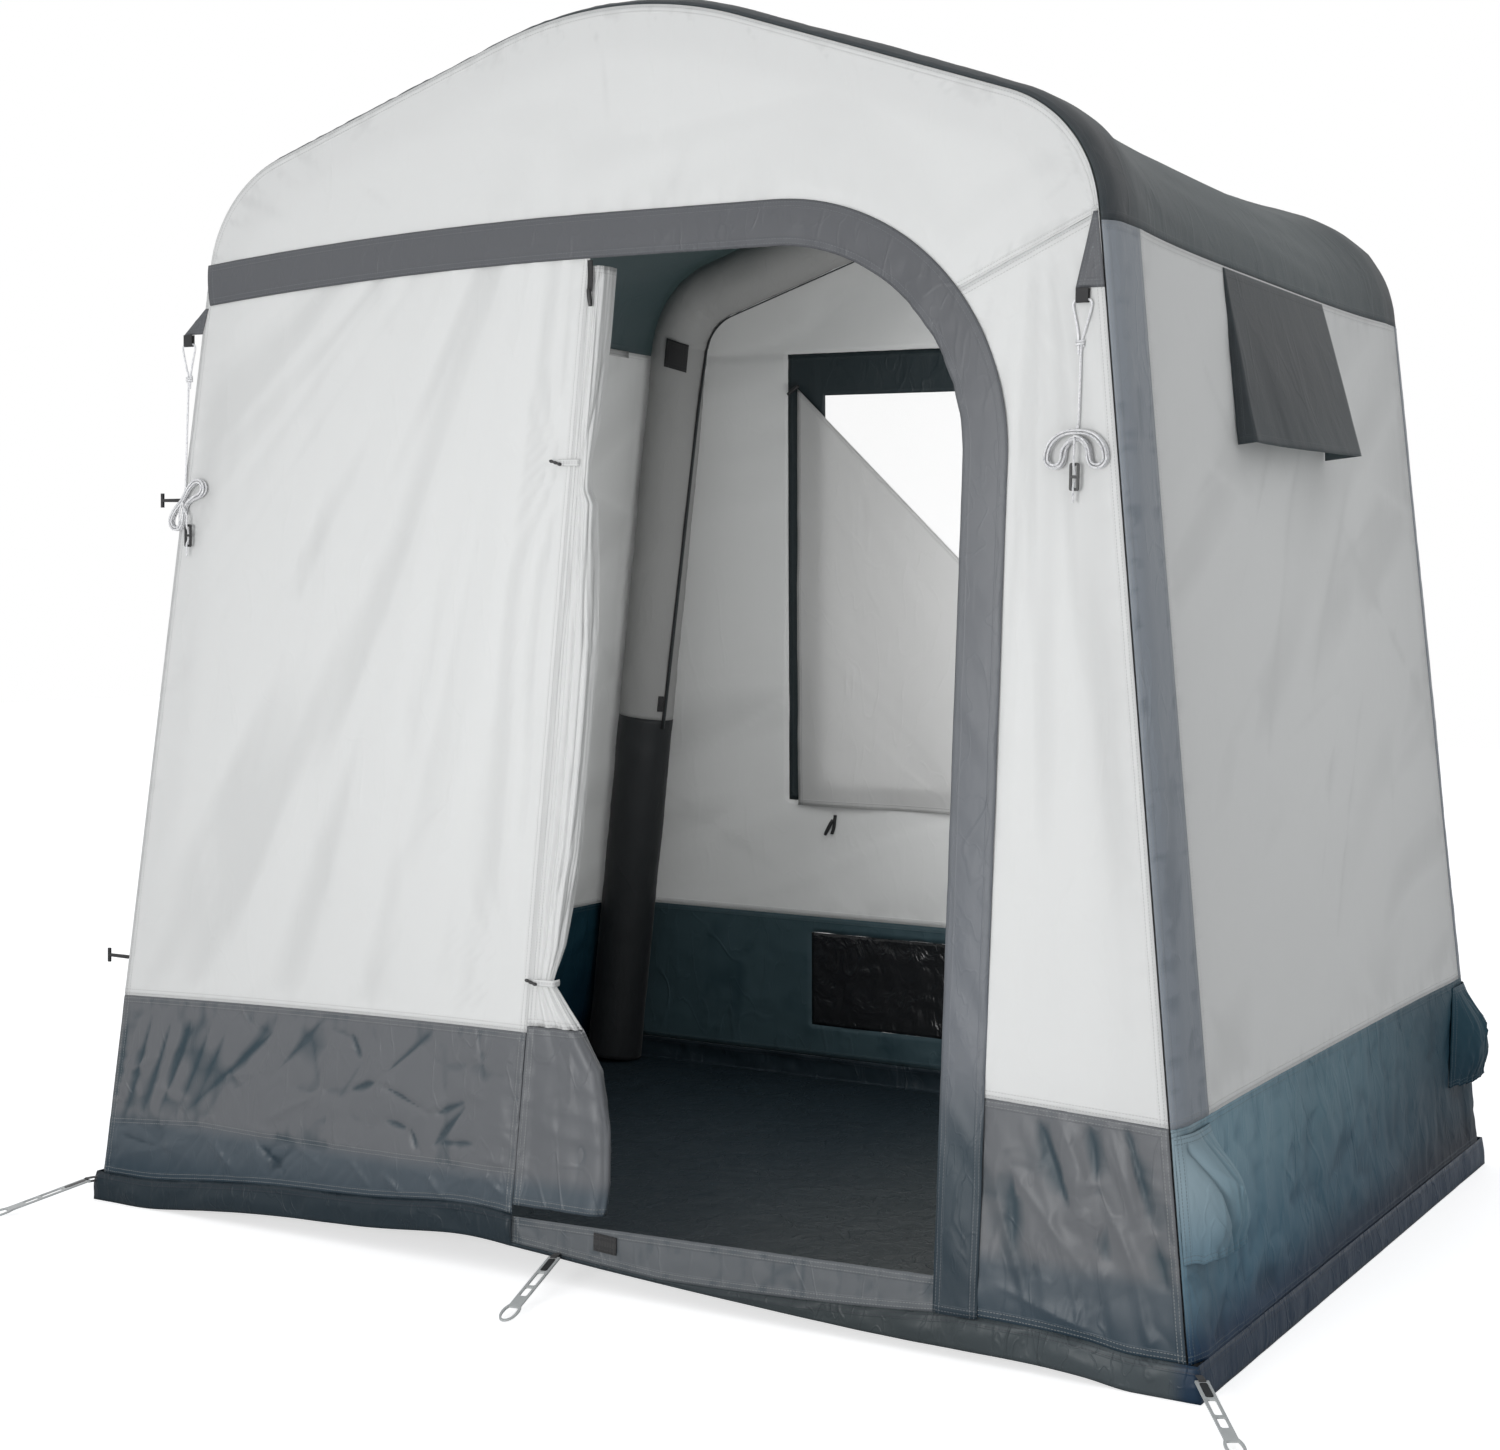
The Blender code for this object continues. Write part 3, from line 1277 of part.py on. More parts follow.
def build_guys(rope, dark, black):
    for side in ("left", "right"):
        x = guy_x[side]
        cord("guy_line_" + side, smooth_line(guy_route(side), 44), rope)
        turns = hank_points(side)
        print("guy_hank_" + side, "least gap mm", round(1000 * least_gap(turns, cord_diameter), 2))
        cord("guy_hank_" + side, turns, rope, 1)
        end = turns[:-len(leave_hank(side, turns[-1]))][-1]
        build_runner(side, (x, end[1], end[2]), black)

        z = guy_loop_height
        y = float(front_y(z)) - fold_gap / 2 - webbing - gap
        place = frame((x, y, z), (0, 0, -1), (0, -1, 0))
        fold_strap("guy_strap_" + side, place, 0.016, guy_strap_width, black)

        corner = math.copysign(rim_at(guy_tab_top[side], 1)[0] - 0.004, x)
        low = 0.0168
        high = guy_tab_top[side] - z
        inner, outer = sorted(guy_tab_foot[side])
        polygon = [(inner, low), (outer, low), (corner + 0.003, high), (corner - 0.003, high)]
        place = frame((0, float(front_y(z)) - gap, z), (1, 0, 0), (0, end_lean, 1))
        prism("guy_tab_" + side, polygon, place, 0.002, dark)


def build_all():
    clear_scene()
    white = material("white_cloth", (0.74, 0.74, 0.73), 0.65)
    dark = material("dark_cloth", (0.10, 0.12, 0.135), 0.6)
    skirt = material("skirt", (0.085, 0.11, 0.13), 0.55)
    floor = material("groundsheet", (0.02, 0.027, 0.036), 0.5)
    sleeve = material("sleeve_cloth", (0.33, 0.33, 0.33), 0.7)
    boot = material("boot_cloth", (0.012, 0.014, 0.016), 0.7)
    bladder = material("bladder_film", (0.75, 0.78, 0.8), 0.3)
    clear = material("clear_film", (0.9, 0.93, 0.95), 0.1, 0.3)
    film = material("black_film", (0.012, 0.012, 0.013), 0.25)
    curtain = material("curtain_cloth", (0.45, 0.45, 0.44), 0.6)
    black = material("black_plastic", (0.02, 0.02, 0.02), 0.5)
    plastic = material("ladder_plastic", (0.62, 0.64, 0.64), 0.35)
    mesh_finish = material("vent_mesh", (0.03, 0.035, 0.04), 0.8)
    rope = material("guy_rope", (0.85, 0.85, 0.86), 0.8)

    build_groundsheet(floor)
    build_shell(white, dark, skirt)
    build_front(white, skirt, dark)
    build_back(white, skirt, dark, clear, film)
    build_curtain(curtain)
    drilled = build_arches(sleeve, boot, bladder)
    build_valves(drilled, plastic, black, skirt)
    build_vent(mesh_finish, dark)
    build_door(white, skirt, black)
    build_toggles(black)
    build_ladders(plastic, black)
    build_guys(rope, dark, black)


build_all()
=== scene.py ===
# Inflatable storage tent: the looks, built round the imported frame. Metres, +Z up, -Y out of the door.
import json
import math

import bmesh
import bpy
import numpy as np
from mathutils import Matrix, Vector


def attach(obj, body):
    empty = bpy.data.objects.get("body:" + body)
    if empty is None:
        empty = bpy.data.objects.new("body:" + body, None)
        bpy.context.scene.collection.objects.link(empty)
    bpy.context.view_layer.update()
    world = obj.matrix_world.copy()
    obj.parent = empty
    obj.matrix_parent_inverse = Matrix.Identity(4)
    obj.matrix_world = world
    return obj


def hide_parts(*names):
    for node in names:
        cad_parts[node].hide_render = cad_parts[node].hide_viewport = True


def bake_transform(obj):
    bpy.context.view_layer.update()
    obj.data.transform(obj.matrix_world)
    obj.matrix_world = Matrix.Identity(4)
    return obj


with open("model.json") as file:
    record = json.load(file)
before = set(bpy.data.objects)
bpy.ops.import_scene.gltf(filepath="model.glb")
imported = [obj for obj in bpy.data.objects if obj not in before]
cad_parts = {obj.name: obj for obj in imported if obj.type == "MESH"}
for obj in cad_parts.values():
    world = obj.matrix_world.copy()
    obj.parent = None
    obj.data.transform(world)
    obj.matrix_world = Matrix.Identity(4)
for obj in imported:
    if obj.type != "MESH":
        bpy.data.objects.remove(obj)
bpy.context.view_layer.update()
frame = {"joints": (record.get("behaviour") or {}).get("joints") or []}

# The tent's own shape: what every cloth panel is laid on
shell = {
    "halfWidth": 1.000,
    "halfDepth": 0.81,
    "height": 1.965,
    "wallLean": 0.1195,
    "endLean": 0.0384,
    "roofSlope": 0.335,
    "ridgeRadius": 0.70,
    "shoulderRadius": 0.22,
    "eave": 1.58,
    "skirtTop": 0.36,
    "skirtRise": 0.022,
    "tub": 0.05,
    "baseLift": 0.052,
    "baseCurl": 0.300,
    "edgeInset": 0.016,
    "edgeWidth": 0.05,
    "roofSag": 0.022,
    "shoulderSag": 0.028,
    "wallSag": 0.014,
    "tubeRadius": 0.0625,
    "seam": 0.0036,
}
# lift of the base's front edge, in shares of the half width and of the highest lift
baseProfile = [(-1.0, 0.0), (-0.90, 0.0), (-0.84, 0.07), (-0.73, 0.31), (-0.60, 0.52), (-0.40, 0.70), (-0.22, 1.0),
               (-0.09, 0.88), (0.06, 0.69), (0.26, 0.49), (0.51, 0.30), (0.73, 0.26), (0.83, 0.17), (0.90, 0.0),
               (1.0, 0.0)]
fullDepth = 2 * shell["halfDepth"]
tubeZone = 2 * shell["tubeRadius"]
roofAngle = math.atan(shell["roofSlope"])
legAngle = math.atan(shell["wallLean"])
shoulderTurn = math.pi / 2 - legAngle - roofAngle
sharpRidge = shell["height"] - shell["ridgeRadius"] + shell["ridgeRadius"] / math.cos(roofAngle)
shoulderZ = (sharpRidge - shell["roofSlope"] * shell["halfWidth"]) / (1 - shell["roofSlope"] * shell["wallLean"])
shoulderX = shell["halfWidth"] - shell["wallLean"] * shoulderZ
shoulderCut = shell["shoulderRadius"] * math.tan(shoulderTurn / 2)
ridgeArc = shell["ridgeRadius"] * roofAngle
roofRun = (shoulderX - shell["ridgeRadius"] * math.sin(roofAngle)) / math.cos(roofAngle) - shoulderCut
shoulderStart = ridgeArc + roofRun
shoulderEnd = shoulderStart + shell["shoulderRadius"] * shoulderTurn
halfLength = shoulderEnd + shoulderZ / math.cos(legAngle) - shoulderCut


def archPoint(s, inset):
    # the arch outline s metres from the ridge: ridge arc, straight roof, shoulder arc, leaning leg
    a = np.abs(s)
    side = np.where(s < 0, -1.0, 1.0)
    ridge = np.clip(a / shell["ridgeRadius"], 0, roofAngle)
    slope = np.clip(a - ridgeArc, 0, roofRun)
    turn = np.clip((a - shoulderStart) / shell["shoulderRadius"], 0, shoulderTurn)
    leg = np.clip(a - shoulderEnd, 0, None)
    x = shell["ridgeRadius"] * np.sin(ridge) + slope * math.cos(roofAngle) + leg * math.sin(legAngle)
    x = x + shell["shoulderRadius"] * (np.sin(roofAngle + turn) - math.sin(roofAngle))
    z = shell["height"] - shell["ridgeRadius"] * (1 - np.cos(ridge)) - slope * math.sin(roofAngle)
    z = z - shell["shoulderRadius"] * (math.cos(roofAngle) - np.cos(roofAngle + turn)) - leg * math.cos(legAngle)
    nx, nz = np.sin(ridge + turn), np.cos(ridge + turn)
    return side * (x - inset * nx), z - inset * nz, side * nx, nz


def legS(z):
    # distance along the arch of a height on the straight leg
    return halfLength - np.asarray(z, float) / math.cos(legAngle)


def frontY(z):
    # the front wall leans back: half the depth, less the lean times the height
    return -(shell["halfDepth"] - shell["endLean"] * np.asarray(z, float))


def sagAt(s):
    # how deep the cloth sags at s: straight lines between the depths at six marks
    knots = [0, shoulderStart, (shoulderStart + shoulderEnd) / 2, float(legS(shell["eave"]))]
    knots += [(knots[3] + halfLength) / 2, halfLength]
    depths = [shell["roofSag"], shell["roofSag"], shell["shoulderSag"], shell["wallSag"], shell["wallSag"], 0]
    return np.interp(np.abs(s), knots, depths)


def skin(s, t, inset=0.0):
    # s along the arch, t back from the front plane: drawn in at both edges, sagging between the two tubes
    s, t = np.broadcast_arrays(np.asarray(s, float), np.asarray(t, float))
    drawn = shell["edgeInset"] * (1 - np.clip(np.minimum(t, fullDepth - t) / shell["edgeWidth"], 0, 1)) ** 2
    across = np.clip((t - tubeZone) / (fullDepth - 2 * tubeZone), 0, 1)
    x, z = archPoint(s, drawn + sagAt(s) * (1 - (2 * across - 1) ** 4) + inset)[:2]
    return np.stack([x, frontY(z) * (1 - t / shell["halfDepth"]), z], -1)


def liftAt(x):
    # a smooth curve through the profile
    curve = smoothed(baseProfile, 12)
    share = np.interp(np.asarray(x, float) / shell["halfWidth"], curve[:, 0], curve[:, 1])
    return shell["baseLift"] * np.clip(share, 0, None)


def floorZ(x, y):
    # the floor curls up to its front edge: that edge's lift times the square of the way along the curl
    reach = (-np.asarray(y, float) - (shell["halfDepth"] - shell["baseCurl"])) / shell["baseCurl"]
    return liftAt(x) * np.clip(reach, 0, 1) ** 2


def rimAt(z, side):
    # edge of the flat front and back cloth on a leg, from its height
    z = np.asarray(z, float)
    x = shell["halfWidth"] - shell["wallLean"] * z - shell["edgeInset"] / math.cos(legAngle)
    return np.stack([side * x, z], -1)


def skirtLine(x):
    # top seam of the front skirts: a parabola, highest in the middle
    share = np.clip(np.abs(x) / (shell["halfWidth"] - 0.05), 0, 1)
    return shell["skirtTop"] + shell["skirtRise"] * (1 - share ** 2)


# Noise and folds, all as whole arrays

def lattice(i, j, seed):
    # a repeatable number from 0 to 1 for each cell of a grid
    wave = np.sin(i * 12.9898 + j * 78.233 + seed * 37.719) * 4375.85453
    return wave - np.floor(wave)


def softNoise(x, y, seed):
    # the numbers at a cell's four corners, eased into each other, from -1 to 1
    i, j = np.floor(x), np.floor(y)
    u, v = x - i, y - j
    u, v = u * u * (3 - 2 * u), v * v * (3 - 2 * v)
    low = lattice(i, j, seed) * (1 - u) + lattice(i + 1, j, seed) * u
    high = lattice(i, j + 1, seed) * (1 - u) + lattice(i + 1, j + 1, seed) * u
    return 2 * (low * (1 - v) + high * v) - 1


def foldField(x, y, angle, long, wide, seed):
    # long soft folds running at angle from the first axis, bent a little, with sharper lines among them
    turn = math.radians(angle)
    along = x * math.cos(turn) + y * math.sin(turn)
    across = y * math.cos(turn) - x * math.sin(turn)
    across = across + 0.35 * wide * softNoise(along / long * 1.7, across / wide * 0.3, seed + 5)
    soft = softNoise(along / long, across / wide, seed)
    fine = softNoise(along / long * 1.3 + 9, across / wide * 2.3, seed + 1)
    line = 1 - np.abs(softNoise(along / long * 0.8, across / wide * 0.7, seed + 2))
    return 0.60 * soft + 0.22 * fine + 0.45 * (line ** 6 - 0.15)


def fanField(x, z, apex, wide, seed):
    # folds that spread from a point: noise over the angle about it, which changes slowly with distance
    dx, dz = x - apex[0], z - apex[1]
    reach = np.hypot(dx, dz) + 0.05
    angle = np.arctan2(dx, -dz)
    soft = softNoise(angle * apex[2] / wide, reach / 0.5, seed)
    fine = softNoise(angle * apex[2] / wide * 2.6, reach / 0.3, seed + 1)
    return 0.75 * soft + 0.3 * fine


def pucker(along, edge, pitch, reach, seed):
    # short ripples square to a seam, dying out away from it
    wave = softNoise(along / pitch, 0.5 * edge / pitch, seed) + 0.5 * softNoise(along / pitch * 2.1, 0 * edge, seed + 3)
    return wave * np.exp(-edge / reach)


def crumple(x, y, size, seed):
    # flat facets with sharp creases between: the largest of some tilted planes in each patch
    a = np.abs(softNoise(x / size + 0.4 * softNoise(x / size, y / size, seed), y / size, seed + 1))
    b = np.abs(softNoise((x + y) / size * 0.8, (y - x) / size * 0.8 + 7, seed + 2))
    return np.minimum(a, b) + 0.4 * np.abs(softNoise(x / size * 2.3 + 3, y / size * 2.1, seed + 4))


def creaseLines(x, y, lines):
    # sharp ridges along short lines: each falls away from its line as exp(-distance / width) and fades at its ends
    height = np.zeros(x.shape)
    for x0, y0, x1, y1, rise, wide in lines:
        length = math.hypot(x1 - x0, y1 - y0)
        ux, uy = (x1 - x0) / length, (y1 - y0) / length
        along = np.clip(((x - x0) * ux + (y - y0) * uy) / length, 0, 1)
        across = np.abs((x - x0) * uy - (y - y0) * ux) / (wide * (0.6 + 0.8 * along))
        height += rise * np.exp(-across) * np.sin(math.pi * along) ** 0.7
    return height


def tracedCreases(x, y, lines, wide):
    # creases at chosen places: each row is its two ends and its height, in millimetres
    lines = np.asarray(lines, float) / 1000
    return creaseLines(x, y, np.concatenate([lines, np.full((len(lines), 1), wide)], 1))


def scatterLines(seed, count, boxX, boxY, angles, lengths, rise, wide):
    # ridges and valleys thrown over a box, each at one of the given angles
    rng = np.random.default_rng(seed)
    x, y = rng.uniform(*boxX, count), rng.uniform(*boxY, count)
    angle = np.radians(rng.choice(angles, count) + rng.normal(0, 9, count))
    half = 0.5 * rng.uniform(*lengths, count)
    size = rise * rng.uniform(0.4, 1.0, count) * rng.choice([-0.7, 1.0], count)
    dx, dy = half * np.cos(angle), half * np.sin(angle)
    return np.stack([x - dx, y - dy, x + dx, y + dy, size, wide * rng.uniform(0.6, 1.5, count)], -1)


# Meshes from grids of points

def measured(points):
    # distances in metres along both directions of the grid, and to its nearest edges
    stepU = np.linalg.norm(np.diff(points, axis=0), axis=2)
    stepV = np.linalg.norm(np.diff(points, axis=1), axis=2)
    u = np.concatenate([np.zeros((1, points.shape[1])), np.cumsum(stepU, 0)])
    v = np.concatenate([np.zeros((points.shape[0], 1)), np.cumsum(stepV, 1)], 1)
    return u, v, np.minimum(u, u[-1:] - u), np.minimum(v, v[:, -1:] - v)


def gridNormals(points):
    # the cross product of the grid's two directions, made one long
    across = np.cross(np.gradient(points, axis=0), np.gradient(points, axis=1))
    return across / np.maximum(np.linalg.norm(across, axis=2, keepdims=True), 1e-12)


def linked(name, data):
    made = bpy.data.objects.new(name, data)
    bpy.context.scene.collection.objects.link(made)
    return made


def reworked(mesh, change):
    # a mesh changed through bmesh
    work = bmesh.new()
    work.from_mesh(mesh)
    change(work)
    work.to_mesh(mesh)
    work.free()


def putFloats(mesh, name, values):
    held = mesh.attributes.new(name, "FLOAT", "POINT")
    held.data.foreach_set("value", np.ascontiguousarray(values, np.float32).ravel())


def gridObject(name, points, hole=None, outward=(0, 0, 0.9), closedV=False, flip=None, fold=None, seam=None):
    # one quad per cell; the faces are turned so that they look away from the point called outward
    rows, columns = points.shape[:2]
    index = np.arange(rows * columns).reshape(rows, columns)
    if closedV:
        index = np.concatenate([index, index[:, :1]], 1)
    quads = np.stack([index[:-1, :-1], index[:-1, 1:], index[1:, 1:], index[1:, :-1]], -1)
    keep = np.ones(quads.shape[:2], bool)
    if hole:
        keep[hole[0]:hole[1], hole[2]:hole[3]] = False
    quads = quads[keep]
    flat = points.reshape(-1, 3)
    corners = flat[quads]
    normal = np.cross(corners[:, 2] - corners[:, 0], corners[:, 3] - corners[:, 1])
    away = (normal * (corners.mean(1) - np.array(outward, float))).sum()
    if (away < 0) if flip is None else flip:
        quads = quads[:, ::-1]
    mesh = bpy.data.meshes.new(name)
    mesh.vertices.add(len(flat))
    mesh.vertices.foreach_set("co", flat.astype(np.float32).ravel())
    mesh.loops.add(quads.size)
    mesh.loops.foreach_set("vertex_index", quads.astype(np.int32).ravel())
    mesh.polygons.add(len(quads))
    mesh.polygons.foreach_set("loop_start", (np.arange(len(quads)) * 4).astype(np.int32))
    mesh.update(calc_edges=True)
    mesh.shade_smooth()
    u, v, edgeU, edgeV = measured(points)
    # fold: 0 in a valley, 1 on a ridge; the finishes read it to paint shade into the valleys
    ridge = 0 * u + 0.5 if fold is None else fold
    seamEdge, seamRun = (0 * u + 1.0, 0 * u) if seam is None else seam
    for label, values in (("runU", u), ("runV", v), ("edgeU", edgeU), ("edgeV", edgeV), ("fold", ridge),
                          ("edgeS", seamEdge), ("runS", seamRun)):
        putFloats(mesh, label, values)
    if hole:
        reworked(mesh, dropLoose)
    return linked(name, mesh)


def dropLoose(work):
    # points inside a hole belong to no face
    bmesh.ops.delete(work, geom=[v for v in work.verts if not v.link_faces], context="VERTS")


def thicken(piece, thickness, offset=-1.0):
    wall = piece.modifiers.new("clothThickness", "SOLIDIFY")
    wall.thickness = thickness
    wall.offset = offset
    wall.use_even_offset = False
    return piece


def dress(piece, finish, body, slot, *nodes):
    # its material, the CAD nodes it stands for and the body it rides on; its slot is not used
    piece.data.materials.clear()
    piece.data.materials.append(finish)
    if nodes:
        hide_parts(*nodes)
    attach(piece, body)
    return piece


def declareSheet(piece, points, held="stretched", restsOn=(), area=None):
    # the cut size is the panel's own run both ways, because sewn cloth hardly stretches
    u, v = measured(points)[:2]
    width, length = float(v[:, -1].max()), float(u[-1].max())
    corners = np.stack([points[:-1, :-1], points[:-1, 1:], points[1:, 1:], points[1:, :-1]])
    real = 0.5 * np.linalg.norm(np.cross(corners[2] - corners[0], corners[3] - corners[1]), axis=-1).sum()
    real = float(real if area is None else area)
    real = min(max(real, 0.301 * width * length), width * length)


def sewn(name, points, thickness, finishName, slot, node, flat=None, hole=None, body="tent", **declared):
    # a sheet in one go: mesh, thickness, finish, body, and its cut size measured on flat or on its own points
    piece = gridObject(name, points, hole)
    thicken(piece, thickness)
    dress(piece, finish[finishName], body, slot, node)
    declareSheet(piece, points if flat is None else flat, **declared)


def evenly(points, count):
    # the same number of equal steps along a line of points
    points = np.asarray(points, float)
    length = np.concatenate([[0], np.cumsum(np.linalg.norm(np.diff(points, axis=0), axis=1))])
    wanted = np.linspace(0, length[-1], count)
    return np.stack([np.interp(wanted, length, points[:, k]) for k in range(points.shape[1])], -1)


def between(lower, upper, rows):
    # rows of points shared out evenly from one line to another
    share = np.linspace(0, 1, rows)[:, None, None]
    return lower[None] * (1 - share) + upper[None] * share


def smoothed(points, steps):
    # a smooth curve through chosen points, with the same number of steps in each span
    p = np.asarray(points, float)
    ends = np.concatenate([[2 * p[0] - p[1]], p, [2 * p[-1] - p[-2]]])
    u = np.linspace(0, 1, steps, endpoint=False)[None, :, None]
    a, b, c, d = (ends[k:len(p) - 1 + k, None] for k in range(4))
    line = 0.5 * (2 * b + (c - a) * u + (2 * a - 5 * b + 4 * c - d) * u ** 2 + (3 * b - a - 3 * c + d) * u ** 3)
    return np.concatenate([line.reshape(-1, p.shape[1]), p[-1:]])


def tubeAlong(name, line, radius, sides=10, squeeze=(1.0, 1.0), capped=True):
    # a ring of points carried along the line, turned as little as possible from step to step
    line = np.asarray(line, float)
    way = np.gradient(line, axis=0)
    way /= np.linalg.norm(way, axis=1)[:, None]
    side = np.zeros_like(line)
    start = np.cross(way[0], (0, 0, 1.0) if abs(way[0][2]) < 0.9 else (0, 1.0, 0))
    side[0] = start / np.linalg.norm(start)
    for k in range(1, len(line)):
        step = side[k - 1] - way[k] * (side[k - 1] @ way[k])
        side[k] = step / np.linalg.norm(step)
    other = np.cross(way, side)
    angle = np.arange(sides) * 2 * math.pi / sides
    wide = np.broadcast_to(np.asarray(radius, float), (len(line),))[:, None, None]
    ring = np.cos(angle)[None, :, None] * side[:, None] * squeeze[0]
    ring = ring + np.sin(angle)[None, :, None] * other[:, None] * squeeze[1]
    points = line[:, None] + ring * wide
    if capped:
        points = np.concatenate([np.repeat(line[:1, None], sides, 1), points, np.repeat(line[-1:, None], sides, 1)])
    made = gridObject(name, points, closedV=True, flip=False)
    if capped:
        closePoles(made.data)
    return made


def closePoles(mesh):
    # rings drawn in to one point are merged there, and all faces turned outwards
    def change(work):
        bmesh.ops.remove_doubles(work, verts=work.verts, dist=1e-6)
        bmesh.ops.recalc_face_normals(work, faces=work.faces)

    reworked(mesh, change)
    mesh.shade_smooth()


# Finishes. Each cloth is one Principled shader: colour that wanders a little and takes painted shade in the valleys
# of its folds, a woven and creased surface in metres of height, and rows of stitches beside its seams.
cloths = {
    "whiteCloth": {
        "color": (0.76, 0.765, 0.76), "shade": (0.70, 0.705, 0.70), "roughness": 0.60, "through": 0.34,
        "crease": 0.0006, "creaseSize": 7.0, "thread": (0.56, 0.56, 0.56), "sheen": 0.03,
    },
    "slateClothPaintedSheen": {
        "color": (0.094, 0.098, 0.106), "shade": (0.044, 0.054, 0.064), "roughness": 0.50,
        "crease": 0.0011, "creaseSize": 14.0, "thread": (0.12, 0.13, 0.14), "sheen": 0.06,
        # painted sheen and shade by height: lighter through the middle heights, darker and bluer low down, a little
        # darker at the top
        "along": (("Z", 0.10, 1.55, ((0.0, (0.10, 0.22, 0.30)), (0.12, (0.22, 0.36, 0.44)), (0.24, (1.15, 1.20, 1.25)),
                                     (0.75, (1.22, 1.23, 1.23)), (1.0, (0.80, 0.80, 0.81)))),),
    },
    # a lighter, bluer copy of the slate cloth for the leg bands: painted sheen; its tint makes it darker towards the
    # bottom
    "bandClothPaintedSheen": {
        "color": (0.205, 0.226, 0.252), "shade": (0.15, 0.172, 0.198), "roughness": 0.50,
        "crease": 0.0009, "creaseSize": 14.0, "thread": (0.22, 0.23, 0.24), "sheen": 0.05,
        "specular": 0.4,
        "along": (("Z", 0.35, 1.55, ((0.0, (0.86, 0.88, 0.90)), (1.0, (1.0, 1.0, 1.0)))),),
    },
    "roofCloth": {
        "color": (0.052, 0.06, 0.068), "shade": (0.03, 0.04, 0.048), "roughness": 0.46, "through": 0.42,
        "glow": (0.32, 0.400, 0.405), "specular": 0.6,
        "crease": 0.0008, "creaseSize": 10.0, "thread": (0.09, 0.10, 0.11), "sheen": 0.06,
    },
    "skirtCloth": {
        "color": (0.103, 0.108, 0.116), "shade": (0.022, 0.04, 0.052), "roughness": 0.42,
        "crease": 0.0018, "creaseSize": 8.0, "thread": (0.20, 0.21, 0.21), "sheen": 0.05,
        "specular": 0.38,
        "along": (("Z", 0.05, 0.17, ((0.0, (0.16, 0.30, 0.40)), (0.70, (0.50, 0.62, 0.70)), (1.0, (1.0, 1.0, 1.0)))),),
    },
    "sillCloth": {
        "color": (0.082, 0.09, 0.098), "shade": (0.042, 0.054, 0.064), "roughness": 0.42,
        "crease": 0.0014, "creaseSize": 9.0, "thread": (0.20, 0.21, 0.21), "sheen": 0.05,
    },
    "skirtBackCloth": {
        "color": (0.04, 0.07, 0.082), "shade": (0.022, 0.046, 0.058), "roughness": 0.50,
        "crease": 0.0016, "creaseSize": 8.0, "thread": (0.08, 0.10, 0.11), "sheen": 0.02,
        "specular": 0.3,
    },
    "skirtSideClothPaintedLight": {
        "color": (0.135, 0.235, 0.285), "shade": (0.07, 0.15, 0.198), "roughness": 0.50,
        "crease": 0.002, "creaseSize": 8.0, "thread": (0.10, 0.13, 0.15), "sheen": 0.0,
        "ior": 1.25,
        # painted light and shade: lighter and greyer at the front corner, darker towards the rear and towards the
        # bottom
        "along": (("Y", -0.80, 0.60, ((0.0, (1.45, 1.10, 1.02)), (0.10, (1.0, 0.97, 0.97)), (0.5, (0.55, 0.60, 0.62)),
                                      (1.0, (0.10, 0.20, 0.24)))),
                  ("Z", 0.05, 0.30, ((0.0, (0.04, 0.10, 0.20)), (0.40, (0.45, 0.58, 0.66)), (1.0, (1.0, 1.0, 1.0))))),
    },
    "tubClothPaintedLight": {
        "color": (0.015, 0.024, 0.031), "shade": (0.024, 0.031, 0.038), "roughness": 0.42,
        "crease": 0.0022, "creaseSize": 14.0, "weave": 0.00002, "thread": (0.04, 0.04, 0.05), "sheen": 0.0,
        "ior": 1.28,
        # painted light: up to three times lighter towards the right of the front, standing in for gloss, and dark navy
        # on the right side as painted shade
        "along": (("X", -0.20, 0.90, ((0.0, (1.0, 1.0, 1.0)), (0.6, (2.2, 1.7, 1.4)), (1.0, (3.4, 2.6, 2.2)))),
                  ("X", 0.95, 0.985, ((0.0, (1.0, 1.0, 1.0)), (1.0, (0.20, 0.42, 0.75))))),
    },
    "greyTape": {
        "color": (0.42, 0.42, 0.42), "shade": (0.34, 0.34, 0.34), "roughness": 0.60,
        "crease": 0.0003, "creaseSize": 40.0, "weave": 0.00004, "thread": (0.25, 0.25, 0.25), "sheen": 0.03,
    },
    "sleeveCloth": {
        "color": (0.37, 0.37, 0.365), "shade": (0.30, 0.30, 0.30), "roughness": 0.66, "through": 0.22,
        "crease": 0.0007, "creaseSize": 14.0, "weave": 0.00004, "thread": (0.20, 0.20, 0.20), "sheen": 0.05,
    },
    "bootCloth": {
        "color": (0.012, 0.014, 0.016), "shade": (0.018, 0.02, 0.022), "roughness": 0.62,
        "crease": 0.0006, "creaseSize": 14.0, "weave": 0.00005, "thread": (0.03, 0.03, 0.03), "sheen": 0.08,
    },
    "frameCloth": {
        "color": (0.012, 0.021, 0.025), "shade": (0.007, 0.014, 0.018), "roughness": 0.48,
        "crease": 0.0008, "creaseSize": 16.0, "thread": (0.02, 0.03, 0.03), "sheen": 0.05,
    },
    "curtainCloth": {
        "color": (0.72, 0.72, 0.715), "shade": (0.60, 0.60, 0.595), "roughness": 0.46, "through": 0.50,
        "crease": 0.0015, "creaseSize": 7.0, "weave": 0.00002, "thread": (0.35, 0.35, 0.35), "sheen": 0.04,
    },
    "blackTape": {
        "color": (0.016, 0.016, 0.017), "shade": (0.024, 0.024, 0.025), "roughness": 0.72,
        "crease": 0.00005, "creaseSize": 60.0, "weave": 0.00012, "thread": (0.03, 0.03, 0.03), "sheen": 0.10,
    },
}
clothRest = {"through": 0.0, "weave": 0.00003, "specular": 0.5, "ior": 1.45, "along": ()}
stitch = {"near": 0.0042, "far": 0.0105, "half": 0.00055, "pitch": 0.0048, "dash": 0.68, "fold": 0.013, "step": 0.0008}


